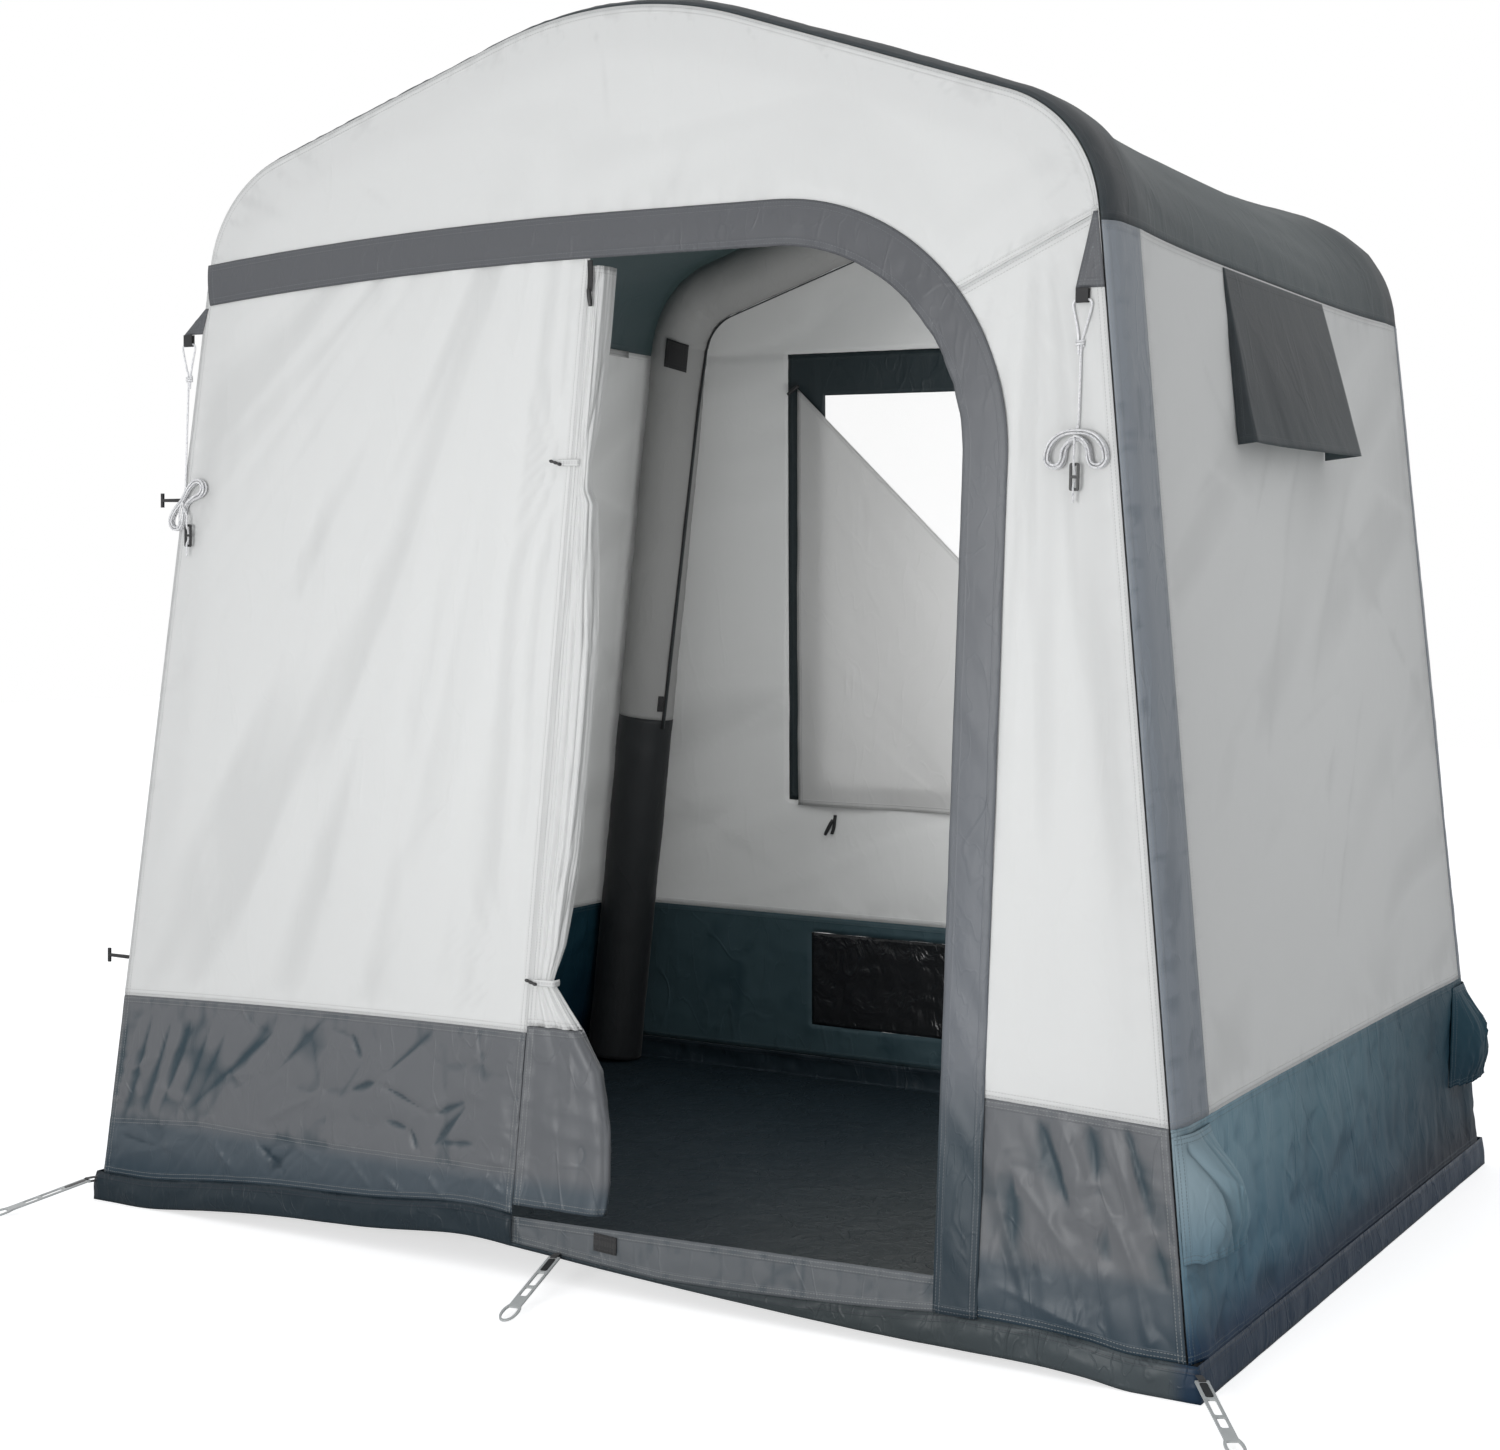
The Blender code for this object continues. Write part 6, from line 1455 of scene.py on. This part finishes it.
def buildGroundsheet():
    # one sheet: the floor from its middle to the edge, then up the sides as a shallow tub
    front = stations([-1, door["edgeFoot"] - 0.0003, door["edgeFoot"] + 0.0003, door["zipX"] - 0.0003,
                      door["zipX"] + 0.0003, 1], ground["step"])[:-1]
    side = stations([-1, 1], ground["step"] / shell["halfDepth"])[:-1]
    back = stations([1, -1], ground["step"])[:-1]
    loop = np.concatenate([np.stack([front, -np.ones_like(front)], -1), np.stack([np.ones_like(side), side], -1),
                           np.stack([back, np.ones_like(back)], -1), np.stack([-np.ones_like(side), -side], -1)])

    def ring(share, up, inset):
        # the loop shrunk to a share of its size, on the curled floor, and above it leaning in as the walls do
        x, y = loop[:, 0] * shell["halfWidth"] * share, loop[:, 1] * shell["halfDepth"] * share
        z = floorZ(x, y) + up
        x = x - np.sign(x) * np.abs(loop[:, 0]) ** 12 * (inset + shell["wallLean"] * z) * share
        y = y - np.sign(y) * np.abs(loop[:, 1]) ** 12 * (inset + shell["endLean"] * z) * share
        return np.stack([x, y, z], -1)

    doorway = (loop[:, 0] > door["edgeFoot"]) & (loop[:, 0] < door["zipX"]) & (loop[:, 1] < -0.999)
    top = np.where(doorway, sillFoot(loop[:, 0] * shell["halfWidth"]), shell["tub"])
    run = np.concatenate([[0], np.cumsum(np.linalg.norm(np.diff(loop * (1, 0.81), axis=0), axis=1))])
    floor = [ring(share, 0.0, 0.0012) for share in np.linspace(0.02, 1, ground["rows"]) ** 0.8]
    for row in floor[:-1]:
        wrinkle = crumple(row[:, 0], row[:, 1], 0.16, 7) - 0.35
        inner = eased((0.96 - np.abs(row[:, 1])) / 0.1) * eased((0.98 - np.abs(row[:, 0])) / 0.1)
        row[:, 2] += 0.0016 + 0.005 * np.clip(wrinkle, 0, 1) * inner
    walls = []
    for up in np.linspace(0, 1, ground["wallRows"]):
        row = ring(1.0, up * top, 0.0)
        bulge = np.sin(math.pi * np.clip(up, 0.04, 1)) * (0.0045 + 0.006 * softNoise(run / 0.045, up + 0 * run, 5))
        bulge = bulge + 0.003 * softNoise(run / 0.016, 2 * up + 0 * run, 9) * np.sin(math.pi * up)
        away = unit(np.concatenate([np.abs(loop) ** 12 * np.sign(loop), 0 * run[:, None]], 1))
        calm = np.where(np.abs(loop[:, 0]) > 0.999, 0.35, 1.0)
        row = row + away * (calm * np.clip(bulge, -0.004, 0.012))[:, None] * (top / shell["tub"])[:, None]
        walls.append(row)
    points = np.stack(floor + walls)
    piece = gridObject("groundsheet_tub", points, closedV=True, outward=(0, 0, 0.3))
    closeMiddle(piece.data, len(loop))
    thicken(piece, 0.0011)
    dress(piece, finish["tubClothPaintedLight"], "tent", "groundsheet", "groundsheet")


def closeMiddle(mesh, count):
    # the small hole left at the middle of the floor
    def change(work):
        work.verts.ensure_lookup_table()
        inner = [v for v in work.verts if v.index < count]
        edges = {e for v in inner for e in v.link_edges if e.is_boundary}
        made = bmesh.ops.contextual_create(work, geom=list(edges))
        bmesh.ops.triangulate(work, faces=made["faces"])
        bmesh.ops.recalc_face_normals(work, faces=work.faces)

    reworked(mesh, change)
    mesh.shade_smooth()


# The door, unzipped and gathered against its left edge: a spiral section that starts flush with the wall,
# runs across the front, round the free edge and in behind itself, with pleats that open away from the toggles.
roll = {
    "deep": 0.052,
    "pinch": 0.42,
    "pinchReach": 0.16,
    "pleats": ((15, 0.0085, 0.0), (26, 0.004, 0.4), (44, 0.0014, 0.1)),
    "skirtPleats": ((6, 0.0095, 0.5), (17, 0.0022, 0.6)),
    "section": ((0, 0), (0.25, 0.02), (0.55, 0.0), (0.80, 0.06), (0.95, 0.22), (1.0, 0.50), (0.93, 0.80), (0.70, 0.97),
                (0.40, 1.0), (0.15, 0.93), (0.06, 0.70), (0.08, 0.42), (0.20, 0.24), (0.45, 0.18), (0.70, 0.22),
                (0.82, 0.40), (0.78, 0.65), (0.60, 0.80), (0.35, 0.78), (0.24, 0.60), (0.30, 0.42), (0.50, 0.38)),
}
rollHeights = [0.112, 0.16, 0.25, 0.33, 0.392, 0.462, 0.52, 0.67, 0.98, 1.20, 1.261, 1.32, 1.42, 1.51, 1.56]
rollEdges = [0.06, 0.066, 0.061, 0.044, 0.002, -0.055, -0.036, -0.013, 0.004, -0.004, -0.04, -0.028, -0.01, 0.002,
             -0.008]


def rollEdge(z):
    # the bundle's free edge at a height, straight between its marks
    return np.interp(z, rollHeights, rollEdges)


def rollPoints(z, seed, skirtPart=False):
    # the section stretched to each height's width and depth, then sunk by pleats, dents and facets
    z = np.asarray(z, float)[:, None]
    base = evenly(smoothed(roll["section"], 8), 236)
    run = np.linspace(0, 1, len(base))[None]
    left = doorEdge(np.maximum(z, door["rollHem"]))
    near = np.minimum(np.abs(z - door["toggles"][0]), np.abs(z - door["toggles"][1]))
    pinch = np.sin(np.minimum(1, near / roll["pinchReach"]) * math.pi / 2)
    deep = roll["deep"] * (roll["pinch"] + (1 - roll["pinch"]) * pinch)
    wide = np.maximum(rollEdge(z) - 0.34 * deep - left, 0.024)
    x = left + wide * base[None, :, 0]
    y = frontY(z) + 0.0002 + deep * base[None, :, 1]
    wayX, wayY = np.gradient(x, axis=1), np.gradient(y, axis=1)
    size = np.maximum(np.hypot(wayX, wayY), 1e-9)
    sink = 0
    for k, (count, depth, bias) in enumerate(roll["skirtPleats" if skirtPart else "pleats"]):
        drift = 1.3 * softNoise(z / 0.30 + 3 * k, 0 * z, seed + k) + 0.5 * softNoise(run * 4, z / 0.2, seed + 5 + k)
        pleat = 1 - np.abs(np.cos(math.pi * count * run + drift + k))
        sink = sink + depth * pleat * (0.7 + 0.3 * pinch) * (1 + bias * softNoise(z / 0.05, run * 6, k))
    lines = scatterLines(seed + 3, 46, (0.1, 1.56), (0.0, 0.30), (20, 60, 120, 160), (0.05, 0.22), 0.0032, 0.008)
    dent = creaseLines(z + 0 * run, 0.6 * run + 0 * z, lines)
    inside = np.exp(-3.0 * run) * (1 - np.exp(-run / 0.02)) * np.minimum(1, wide / 0.07)
    sink = sink * inside + (0.4 if skirtPart else 1.0) * np.abs(dent) * (1 - np.exp(-run / 0.03))
    if skirtPart:
        facets = crumple(z + 0.10 * run, 0.42 * run + 0 * z, 0.085, 8) * np.exp(-3.0 * run) * (1 - np.exp(-run / 0.02))
        sink = sink + 0.0085 * facets * eased((door["rollSeam"] - z) / 0.05) * eased((z - door["rollHem"]) / 0.05)
    x = x - wayY / size * sink
    y = y + wayX / size * sink
    x = np.maximum(x, left + 0.0004)
    # how deep each point is sunk, read by the finish as painted shade in the pleats
    return np.stack([x, y, z + 0 * run], -1), np.clip(1 - sink / (0.018 if skirtPart else 0.011), 0, 1)


def buildDoor():
    gap = 0.0003
    upper = np.linspace(door["rollSeam"] + gap, door["rollTop"], 130)
    lower = np.linspace(door["rollHem"], door["rollSeam"] - gap, 46)
    for name, z, finishName, slot, node in (("doorRoll", upper, "whiteCloth", "white_cloth", "door_roll"),
                                            ("doorRollSkirt", lower, "skirtCloth", "skirt", "door_roll_skirt")):
        points, fold = rollPoints(z, 5, name == "doorRollSkirt")
        piece = gridObject(name, points, outward=(-0.03, -0.74, 0.8), fold=fold)
        thicken(piece, 0.0011)
        piece.data.materials.append(finish[finishName])
        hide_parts(node)
        declareSheet(piece, points, "gathered")
        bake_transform(piece)


toggle = {"length": 0.023, "radius": 0.0036, "tilt": -17, "strapHalf": 0.0052, "reach": 0.03, "behind": 0.014}


def buildDoorToggles():
    # a barrel on the wall beside each drawn-in place, its strap round the bundle's free edge
    for name, z in zip(("Upper", "Lower"), door["toggles"]):
        edge = float(rollEdge(z)) + 0.0036
        y = float(frontY(z))
        stop = edge - toggle["reach"]
        path = smoothed([(stop - 0.006, -0.0062), (stop + 0.006, -0.006), (edge - 0.01, -0.0052),
                         (edge - 0.002, -0.003), (edge, 0.004), (edge - 0.001, toggle["behind"])], 8)
        line = np.stack([path[:, 0], y + path[:, 1], z + 0 * path[:, 0]], -1)
        way = unit(np.gradient(line, axis=0))
        across = (0.0, 0, 1.0)
        normal = unit(np.cross(way, across))
        if normal[0, 1] > 0:
            normal = -normal
        ribbonOn("doorStrap" + name, line, across, normal, toggle["strapHalf"], 0.0012, "whiteCloth", "white_cloth",
                 "door", crown=0.0006)
        share = np.linspace(-1, 1, 25)
        tilt = math.radians(toggle["tilt"])
        middle = stop - 0.009
        reach = toggle["length"] / 2 * share
        bar = np.stack([middle + reach * math.cos(tilt), y - 0.0088 + 0 * share, z + reach * math.sin(tilt)], -1)
        girth = toggle["radius"] * (0.86 + 0.14 * np.cos(3 * math.pi * share)) * (1 - np.abs(share) ** 14) ** 0.5
        piece = tubeAlong("doorToggle" + name, bar, np.maximum(girth, 0.0008), 14, (1.0, 0.75))
        dress(piece, finish["blackPlastic"], "door", "black_plastic", "door_toggle_" + name.lower())


ladder = {
    "length": 0.178, "ring": 0.0135, "half": 0.0095, "thick": 0.003, "bar": 0.0016, "edge": 0.0007,
    "slots": ((0.004, 0.043), (0.0475, 0.088), (0.093, 0.12)), "slotHalf": 0.0058, "round": 0.0034,
    "oval": (0.165, 0.0265, 0.0135), "hole": (0.1665, 0.0215, 0.0098), "disc": 0.152,
    "keeper": (0.005, 0.0415, 0.005),
}


def roundedSlot(low, high, half, radius):
    # a slot's outline: its four corners as quarter circles
    corners = ((high - radius, half - radius, 0), (low + radius, half - radius, 90),
               (low + radius, radius - half, 180), (high - radius, radius - half, 270))
    points = []
    for x, y, start in corners:
        for angle in np.radians(start + np.linspace(0, 90, 6)):
            points.append((x + radius * math.cos(angle), y + radius * math.sin(angle)))
    return points


def moulded(name, outlines, thick, place):
    # a flat plate with holes from its outlines, turned into a mesh at its place, its edges rounded
    line = bpy.data.curves.new(name, "CURVE")
    line.dimensions = "2D"
    line.fill_mode = "BOTH"
    line.extrude = thick / 2
    for outline in outlines:
        made = line.splines.new("POLY")
        made.points.add(len(outline) - 1)
        for target, (x, y) in zip(made.points, outline):
            target.co = (x, y, 0, 1)
        made.use_cyclic_u = True
    flat = linked(name + "Line", line)
    mesh = bpy.data.meshes.new_from_object(flat.evaluated_get(bpy.context.evaluated_depsgraph_get()))
    bpy.data.objects.remove(flat)
    mesh.name = name
    mesh.transform(place)
    closePoles(mesh)
    piece = linked(name, mesh)
    bevel = piece.modifiers.new("edge", "BEVEL")
    bevel.width = ladder["edge"]
    bevel.segments = 2
    bevel.limit_method = "ANGLE"
    bevel.angle_limit = math.radians(50)
    mesh.shade_flat()
    mesh.materials.clear()
    return piece


def buildLadders():
    # a strap of soft plastic hung in its tab's fold, with three slots, a disc and an oval ring for the peg
    for name in ("front_left", "front_right", "front_middle"):
        body = "peg_ladder_" + name
        title = name.title().replace("_", "")
        joint = next(j for j in frame["joints"] if j["child"] == body)
        pivot, axis = Vector(joint["pos_m"]), Vector(joint["axis"])
        way = Vector((-axis.y, axis.x, 0)).normalized()
        across = Vector((0, 0, 1)).cross(way)
        pitch = math.asin((pivot.z - ladder["thick"] / 2 - 0.0006) / (ladder["length"] + ladder["ring"]))
        ahead = way * math.cos(pitch) - Vector((0, 0, 1)) * math.sin(pitch)
        place = Matrix((ahead, across, ahead.cross(across))).transposed().to_4x4()
        place.translation = pivot
        middle, long, wide = ladder["oval"]
        start = math.acos(-math.sqrt(1 - (ladder["half"] / wide) ** 2))
        angle = np.linspace(-start, start, 40)
        outer = [(-ladder["bar"], -ladder["half"])]
        outer += list(zip(middle + long * np.cos(angle), wide * np.sin(angle)))
        outer += [(-ladder["bar"], ladder["half"])]
        middle, long, wide = ladder["hole"]
        edge = math.acos((ladder["disc"] - middle) / long)
        angle = np.linspace(-edge, edge, 34)
        hole = list(zip(middle + long * np.cos(angle), wide * np.sin(angle)))
        slots = [roundedSlot(low, high, ladder["slotHalf"], ladder["round"]) for low, high in ladder["slots"]]
        piece = moulded("pegLadder" + title, [outer, *slots, hole], ladder["thick"], place)
        dress(piece, finish["milkyPlastic"], body, "ladder_plastic", body)
        low, high, half = ladder["keeper"]
        keeper = moulded("pegKeeper" + title, [roundedSlot(low, high, half, 0.003)], ladder["thick"] * 1.15, place)
        dress(keeper, finish["blackPlastic"], body, "black_plastic")


keeps = {
    "blackPlastic": ["edge_toggle_upper", "edge_toggle_lower", "valve_cap_front", "valve_cap_rear", "guy_runner_left",
                     "guy_runner_right", "sleeve_zip_slider", "air_valve_front", "air_valve_rear"],
    "blackTape": ["peg_tab_front_left", "peg_tab_front_right", "peg_tab_front_middle", "guy_strap_left",
                  "guy_strap_right"],
}


def buildKeeps():
    # CAD pieces whose shape is right get their finish
    for name, nodes in keeps.items():
        for node in nodes:
            held = bpy.data.objects[node].data.materials
            held.clear()
            held.append(finish[name])


# Guy lines: one cord each, from the strap's loop down to its knot, into the hank and out through the runner
guy = {
    "diameter": 0.0032,
    "x": {"right": 0.777, "left": -0.832},
    "tabFoot": {"right": (0.765, 0.807), "left": (-0.846, -0.806)},
    "tabTop": {"right": 1.59, "left": 1.529},
    "loop": 1.47,
    "strap": 0.018,
    "knot": 1.408,
    "hankTop": {"right": 1.300, "left": 1.218},
    "tilt": {"right": 0, "left": -50},
    "bend": {"right": (0.031, 90), "left": (0.09, 24)},
    "turns": 6,
    "layer": 0.0039,
    "waist": (0.0021, 0.0062),
    "lobe": (0.0098, 0.0142),
    "points": 24,
    "runnerHeight": 0.038,
    "runnerBar": 0.004,
    "runnerShift": {"right": 0.0, "left": 0.016},
    "cordShift": 0.0034,
    "fall": 0.036,
    "tail": 0.016,
    "webbing": 0.0012,
    "foldGap": 0.0052,
}


def guyRoute(side):
    # from the hank's top up through the strap and back down to the tail at the knot
    sign = 1 if side == "right" else -1
    half, loopZ, knot = guy["strap"] / 2 + 0.0042, guy["loop"], guy["knot"]
    top = float(frontY(loopZ)) - guy["foldGap"] / 2 - guy["webbing"] - cloth["gap"]
    beside = guy["diameter"] + 0.0007
    start = guy["hankTop"][side] + 0.0003
    flat = [(0, start), (0, (guy["hankTop"][side] + knot) / 2), (0.0002, knot), (0.005, knot + 0.022),
            (half, loopZ - 0.01), (half, loopZ - 0.004), (half - 0.0032, loopZ), (0, loopZ), (0.0032 - half, loopZ),
            (-half, loopZ - 0.004), (-half, loopZ - 0.01), (-0.0062, knot + 0.022), (-beside, knot),
            (-beside, knot - 0.012)]
    flat = np.array(flat)
    low = frontY(flat[:, 1]) - guy["diameter"] / 2 - 0.0012
    return np.stack([guy["x"][side] + sign * flat[:, 0], np.minimum(low, top), flat[:, 1]], -1)


def hankPoints(side):
    # loops about the waist of the bundle: along the top, round the lobe, below and back, each in its own seat
    sign = 1 if side == "right" else -1
    turns, count = guy["turns"], guy["points"]
    seats = [(1, 0)[k % 2] if k // 2 % 2 == 0 else (0, 1)[k % 2] for k in range(turns)]
    cells = np.array([(guy["waist"][seat], guy["lobe"][seat], k // 2 * guy["layer"]) for k, seat in enumerate(seats)])
    top = guy["hankTop"][side]
    quarter, step = count // 6, (count / 2 - 0.8) / (turns - 1)
    radius, half = guy["bend"][side]
    points = []
    for k in range(turns):
        last = k == turns - 1
        i = np.arange(count // 2 + 1 if last else count)
        begin = quarter * 2 - 0.5 if last else count / 2 + 0.8 + (turns - 2 - k) * step
        move = np.array([0, 0, guy["layer"]]) if last else cells[k + 1] - cells[k]
        cell = cells[k] + move * np.clip((i - begin) / step, 0, 1)[:, None]
        points.append(hankLoop(i, cell, quarter, radius, half))
    points = np.concatenate(points)
    tilt = math.radians(guy["tilt"][side]) * sign
    x, z = points[:, 0].copy(), points[:, 2].copy()
    points[:, 0] = x * math.cos(tilt) + z * math.sin(tilt)
    points[:, 2] = z * math.cos(tilt) - x * math.sin(tilt)
    points[:, 0] = guy["x"][side] + sign * (points[:, 0] - points[0, 0])
    points[:, 2] += top - guy["diameter"] / 2 - guy["waist"][1] - 0.005
    back = float(frontY(points[:, 2].min())) - guy["diameter"] / 2 - 0.0012
    points[:, 1] = back - points[:, 1]
    x = guy["x"][side]
    start = [(x, min(back, points[0, 1]), top), (x, points[0, 1], top - guy["diameter"])]
    return np.concatenate([start, points, hankEnd(side, points[-1])])


def hankLoop(i, cell, quarter, radius, half):
    # one turn: out over the bundle's waist, half a circle round its lobe, and back under it
    waist, wide, depth = cell.T
    upper = i < guy["points"] / 2
    k = np.where(upper, i, guy["points"] - i)
    side = np.where(upper, 1, -1)
    reach = math.radians(half)
    turn = math.pi * (k - quarter) / quarter
    out, on = wide * np.cos(turn), wide * np.sin(turn)
    lobeX = (radius + out) * math.sin(reach) + on * math.cos(reach)
    lobeZ = (radius + out) * math.cos(reach) - on * math.sin(reach) - radius
    share = np.minimum(k, 3 * quarter - k) / quarter
    above = np.where(k <= quarter, 1, -1)
    r = radius + above * (waist + (wide - waist) * np.sin(math.pi / 2 * np.clip(share, 0, 1)) ** 1.6)
    round_ = (k > quarter) & (k < 2 * quarter)
    x = np.where(round_, lobeX, r * np.sin(reach * share))
    z = np.where(round_, lobeZ, r * np.cos(reach * share) - radius)
    return np.stack([side * x, depth, z], -1)


def hankEnd(side, last):
    # from the waist down through the slots of the runner to the end of the cord
    x, y = guy["x"][side] + guy["runnerShift"][side], last[1]
    top = last[2] - guy["fall"]
    points = []
    for share in (0.2, 0.4, 0.6):
        ease = share * share * (3 - 2 * share) / 0.648
        points.append((last[0] + (x - last[0]) * ease, y, last[2] - guy["fall"] * share))
    points.append((x, y, top + 0.006))
    bar = guy["runnerBar"]
    slot = (guy["runnerHeight"] - 3 * bar) / 2
    for middle, behind in ((top - bar / 2, 0), (top - bar * 1.5 - slot, 1), (top - bar * 2.5 - 2 * slot, 0)):
        for z in (middle + bar / 2 + 0.0004, middle - bar / 2 - 0.0004):
            points.append((x, y + 2 * guy["cordShift"] * behind, z))
    foot = top - guy["runnerHeight"]
    points += [(x, y, foot - 0.006), (x, y, foot - guy["tail"])]
    return np.array(points)


def wraps(name, middle, radius, turns, pitch, sign):
    # a hitch round the two strands: a short helix of the same cord
    angle = np.linspace(0, 2 * math.pi * turns, int(18 * turns))
    z = (np.linspace(-0.5, 0.5, len(angle))) * turns * pitch
    line = np.stack([radius * 1.35 * np.cos(angle) * sign, 0.9 * radius * np.sin(angle), z], -1) + np.array(middle)
    return tubeAlong(name, line, guy["diameter"] / 2, 8)


def buildGuys():
    for side, name in (("left", "Left"), ("right", "Right")):
        route = guyRoute(side)
        sign = 1 if side == "right" else -1
        down = smoothed(route[:8][::-1], 6)
        hank = smoothed(hankPoints(side), 3)
        line = np.concatenate([down, hank])
        path = line[np.concatenate([[True], np.linalg.norm(np.diff(line, axis=0), axis=1) > 2e-4])]
        piece = tubeAlong("guyCord" + name, path, guy["diameter"] / 2, 10)
        dress(piece, finish["rope"], "tent", "guy_rope", "guy_line_" + side, "guy_hank_" + side)
        short = tubeAlong("guyTail" + name, smoothed(route[7:], 6), guy["diameter"] / 2, 10)
        dress(short, finish["rope"], "tent", "guy_rope")
        at = (guy["x"][side] - sign * 0.0018, float(route[2, 1]), guy["knot"] + 0.004)
        knot = wraps("guyKnot" + name, at, 0.004, 2.5, 0.0034, sign)
        dress(knot, finish["rope"], "tent", "guy_rope")

        corner = math.copysign(float(rimAt(guy["tabTop"][side], 1)[0]) - 0.004, guy["x"][side])
        inner, outer = sorted(guy["tabFoot"][side])
        up = np.linspace(0, 1, 16)[:, None]
        share = np.linspace(0, 1, 14)[None]
        low = guy["loop"] + 0.0168
        leftX, rightX = inner + (corner - 0.003 - inner) * up, outer + (corner + 0.003 - outer) * up
        flat = np.stack([leftX + share * (rightX - leftX), low + up * (guy["tabTop"][side] - low) + 0 * share], -1)
        points = onFront(flat, 0.0012)
        points[..., 1] -= 0.0016 * foldField(flat[..., 0], flat[..., 1], 85, 0.08, 0.012, 5) * np.sin(math.pi * up)
        sewn("guyTab" + name, points, 0.0012, "slateClothPaintedSheen", "dark_cloth", "guy_tab_" + side, area=flatArea(flat))


# Small trim that only the looks carry
trim = {
    "headStrap": {"x": -0.027, "head": 1.568, "foot": 1.52, "half": 0.0045},
    "headHook": {"x": -0.026, "head": 1.524, "across": 0.004, "down": 0.026},
    "sillPatch": {"left": 0.036, "right": 0.077, "up": 0.021, "height": 0.027},
    "eaveTape": {"front": 0.16, "rear": 1.42, "side": 0.80, "half": 0.007},
    "curtainTab": {"x": -0.492, "z": 1.500, "radius": 0.024, "inside": 0.0105},
    "curtainStrap": {"x": -0.400, "head": 0.596, "foot": 0.545, "half": 0.004},
    "barrel": 0.0042,
}


def barrel(name, line, share, radius):
    # a toggle: a tube along the line, its ends drawn in by a flattened half wave
    piece = tubeAlong(name, line, radius * np.sin(0.35 + (math.pi - 0.7) * share) ** 0.25, 12)
    dress(piece, finish["blackPlastic"], "tent", "black_plastic")


def buildTrim():
    # strap at the head of the door, hanging from the flap's inner edge, and its hook
    look = trim["headStrap"]
    z = np.linspace(look["head"], look["foot"], 26)
    x = look["x"] + 0.003 * np.sin((look["head"] - z) * 50)
    line = np.stack([x, frontY(z) - 0.0042 - 0.002 * np.sin((look["head"] - z) * 45), z], -1)
    ribbonOn("headStrap", line, (1.0, 0, 0), (0, -1.0, 0), look["half"], 0.0014, "blackTape", "webbing")
    look = trim["headHook"]
    share = np.linspace(0, 1, 14)
    bar = np.stack([look["x"] + look["across"] * share, float(frontY(1.50)) - 0.006 + 0 * share,
                    look["head"] - look["down"] * share], -1)
    barrel("headStrapHook", bar, share, 0.0038)

    # hook-and-loop patch on the sill
    look = trim["sillPatch"]
    gridX, gridUp = np.meshgrid(np.linspace(look["left"], look["right"], 14), np.linspace(0, 1, 6), indexing="ij")
    low = liftAt(gridX) + sillFoot(gridX) + look["up"]
    piece = gridObject("sillPatch", onFront(np.stack([gridX, low + look["height"] * gridUp], -1), 0.003))
    thicken(piece, 0.0014)
    dress(piece, finish["blackTape"], "tent", "boot_cloth")

    # tapes over the seams under the eaves, seen from inside
    look, eave, up = trim["eaveTape"], shell["eave"], (0.0, 0, 1.0)
    run = np.linspace(look["front"], look["rear"], 30)
    for side, name in ((-1, "Left"), (1, "Right")):
        line = skin(side * legS(eave - 0.006) + 0 * run, run, 0.0065)
        ribbonOn("eaveTape" + name, line, up, (-side, 0.0, 0), look["half"], 0.0008, "greyTape", "sleeve_cloth")
    for name, left, right in (("Left", -look["side"], -window["half"]), ("Right", window["half"], look["side"])):
        x = np.linspace(left, right, 24)
        line = onBack(np.stack([x, eave - 0.004 + 0 * x], -1), -0.006)
        ribbonOn("eaveTapeBack" + name, line, up, (0.0, -1.0, 0), 0.006, 0.0008, "greyTape", "sleeve_cloth")

    # toggles of the window curtain: one holds its fixed corner, the other hangs below it
    look = trim["curtainTab"]
    x, z, angle = look["x"], look["z"], np.linspace(math.pi, 2 * math.pi, 17)
    tab = np.stack([x + look["radius"] * np.cos(angle), z - 0.006 + look["radius"] * np.sin(angle)], -1)
    flat = between(tab, np.stack([tab[:, 0], z + 0.026 + 0 * angle], -1), 8)
    piece = gridObject("curtainTab", onBack(flat, -look["inside"]))
    thicken(piece, 0.0012)
    dress(piece, finish["greyTape"], "tent", "curtain_cloth")
    share = np.linspace(-1, 1, 15)
    for name, at, tilt, reach in (("curtainToggleUpper", (x + 0.002, z + 0.002), 35, 0.016),
                                  ("curtainToggleLower", (-0.405, 0.56), 62, 0.019)):
        dx, dz = reach * math.cos(math.radians(tilt)), reach * math.sin(math.radians(tilt))
        y = -float(frontY(at[1])) - 0.0165
        line = np.stack([at[0] + dx * share, y + 0 * share, at[1] + dz * share], -1)
        barrel(name, line, (share + 1) / 2, trim["barrel"])
    look = trim["curtainStrap"]
    z = np.linspace(look["head"], look["foot"], 14)
    out = 0.0022 + 0.0098 * eased((0.59 - z) / 0.02)  # flat on the wall above, out to the toggle below
    line = np.stack([look["x"] + 0.006 * np.sin((z - look["foot"]) * 60), -frontY(z) - out, z], -1)
    ribbonOn("curtainToggleStrap", line, (1.0, 0, 0), (0.0, -1.0, 0), look["half"], 0.001, "blackTape", "webbing")


for stage, builds in (
    ("shell panels", (buildShell,)),
    ("front", (buildFront, buildFlap)),
    ("back", (buildBack, buildWindow, buildCurtain)),
    ("arches", (buildArches, buildSleeveZip)),
    ("vent and pockets", (buildVent, buildPockets)),
    ("groundsheet", (buildGroundsheet,)),
    ("door", (buildDoor, buildDoorToggles)),
    ("small parts", (buildLadders, buildKeeps, buildGuys, buildTrim)),
):
    for build in builds:
        build()
    print(stage)
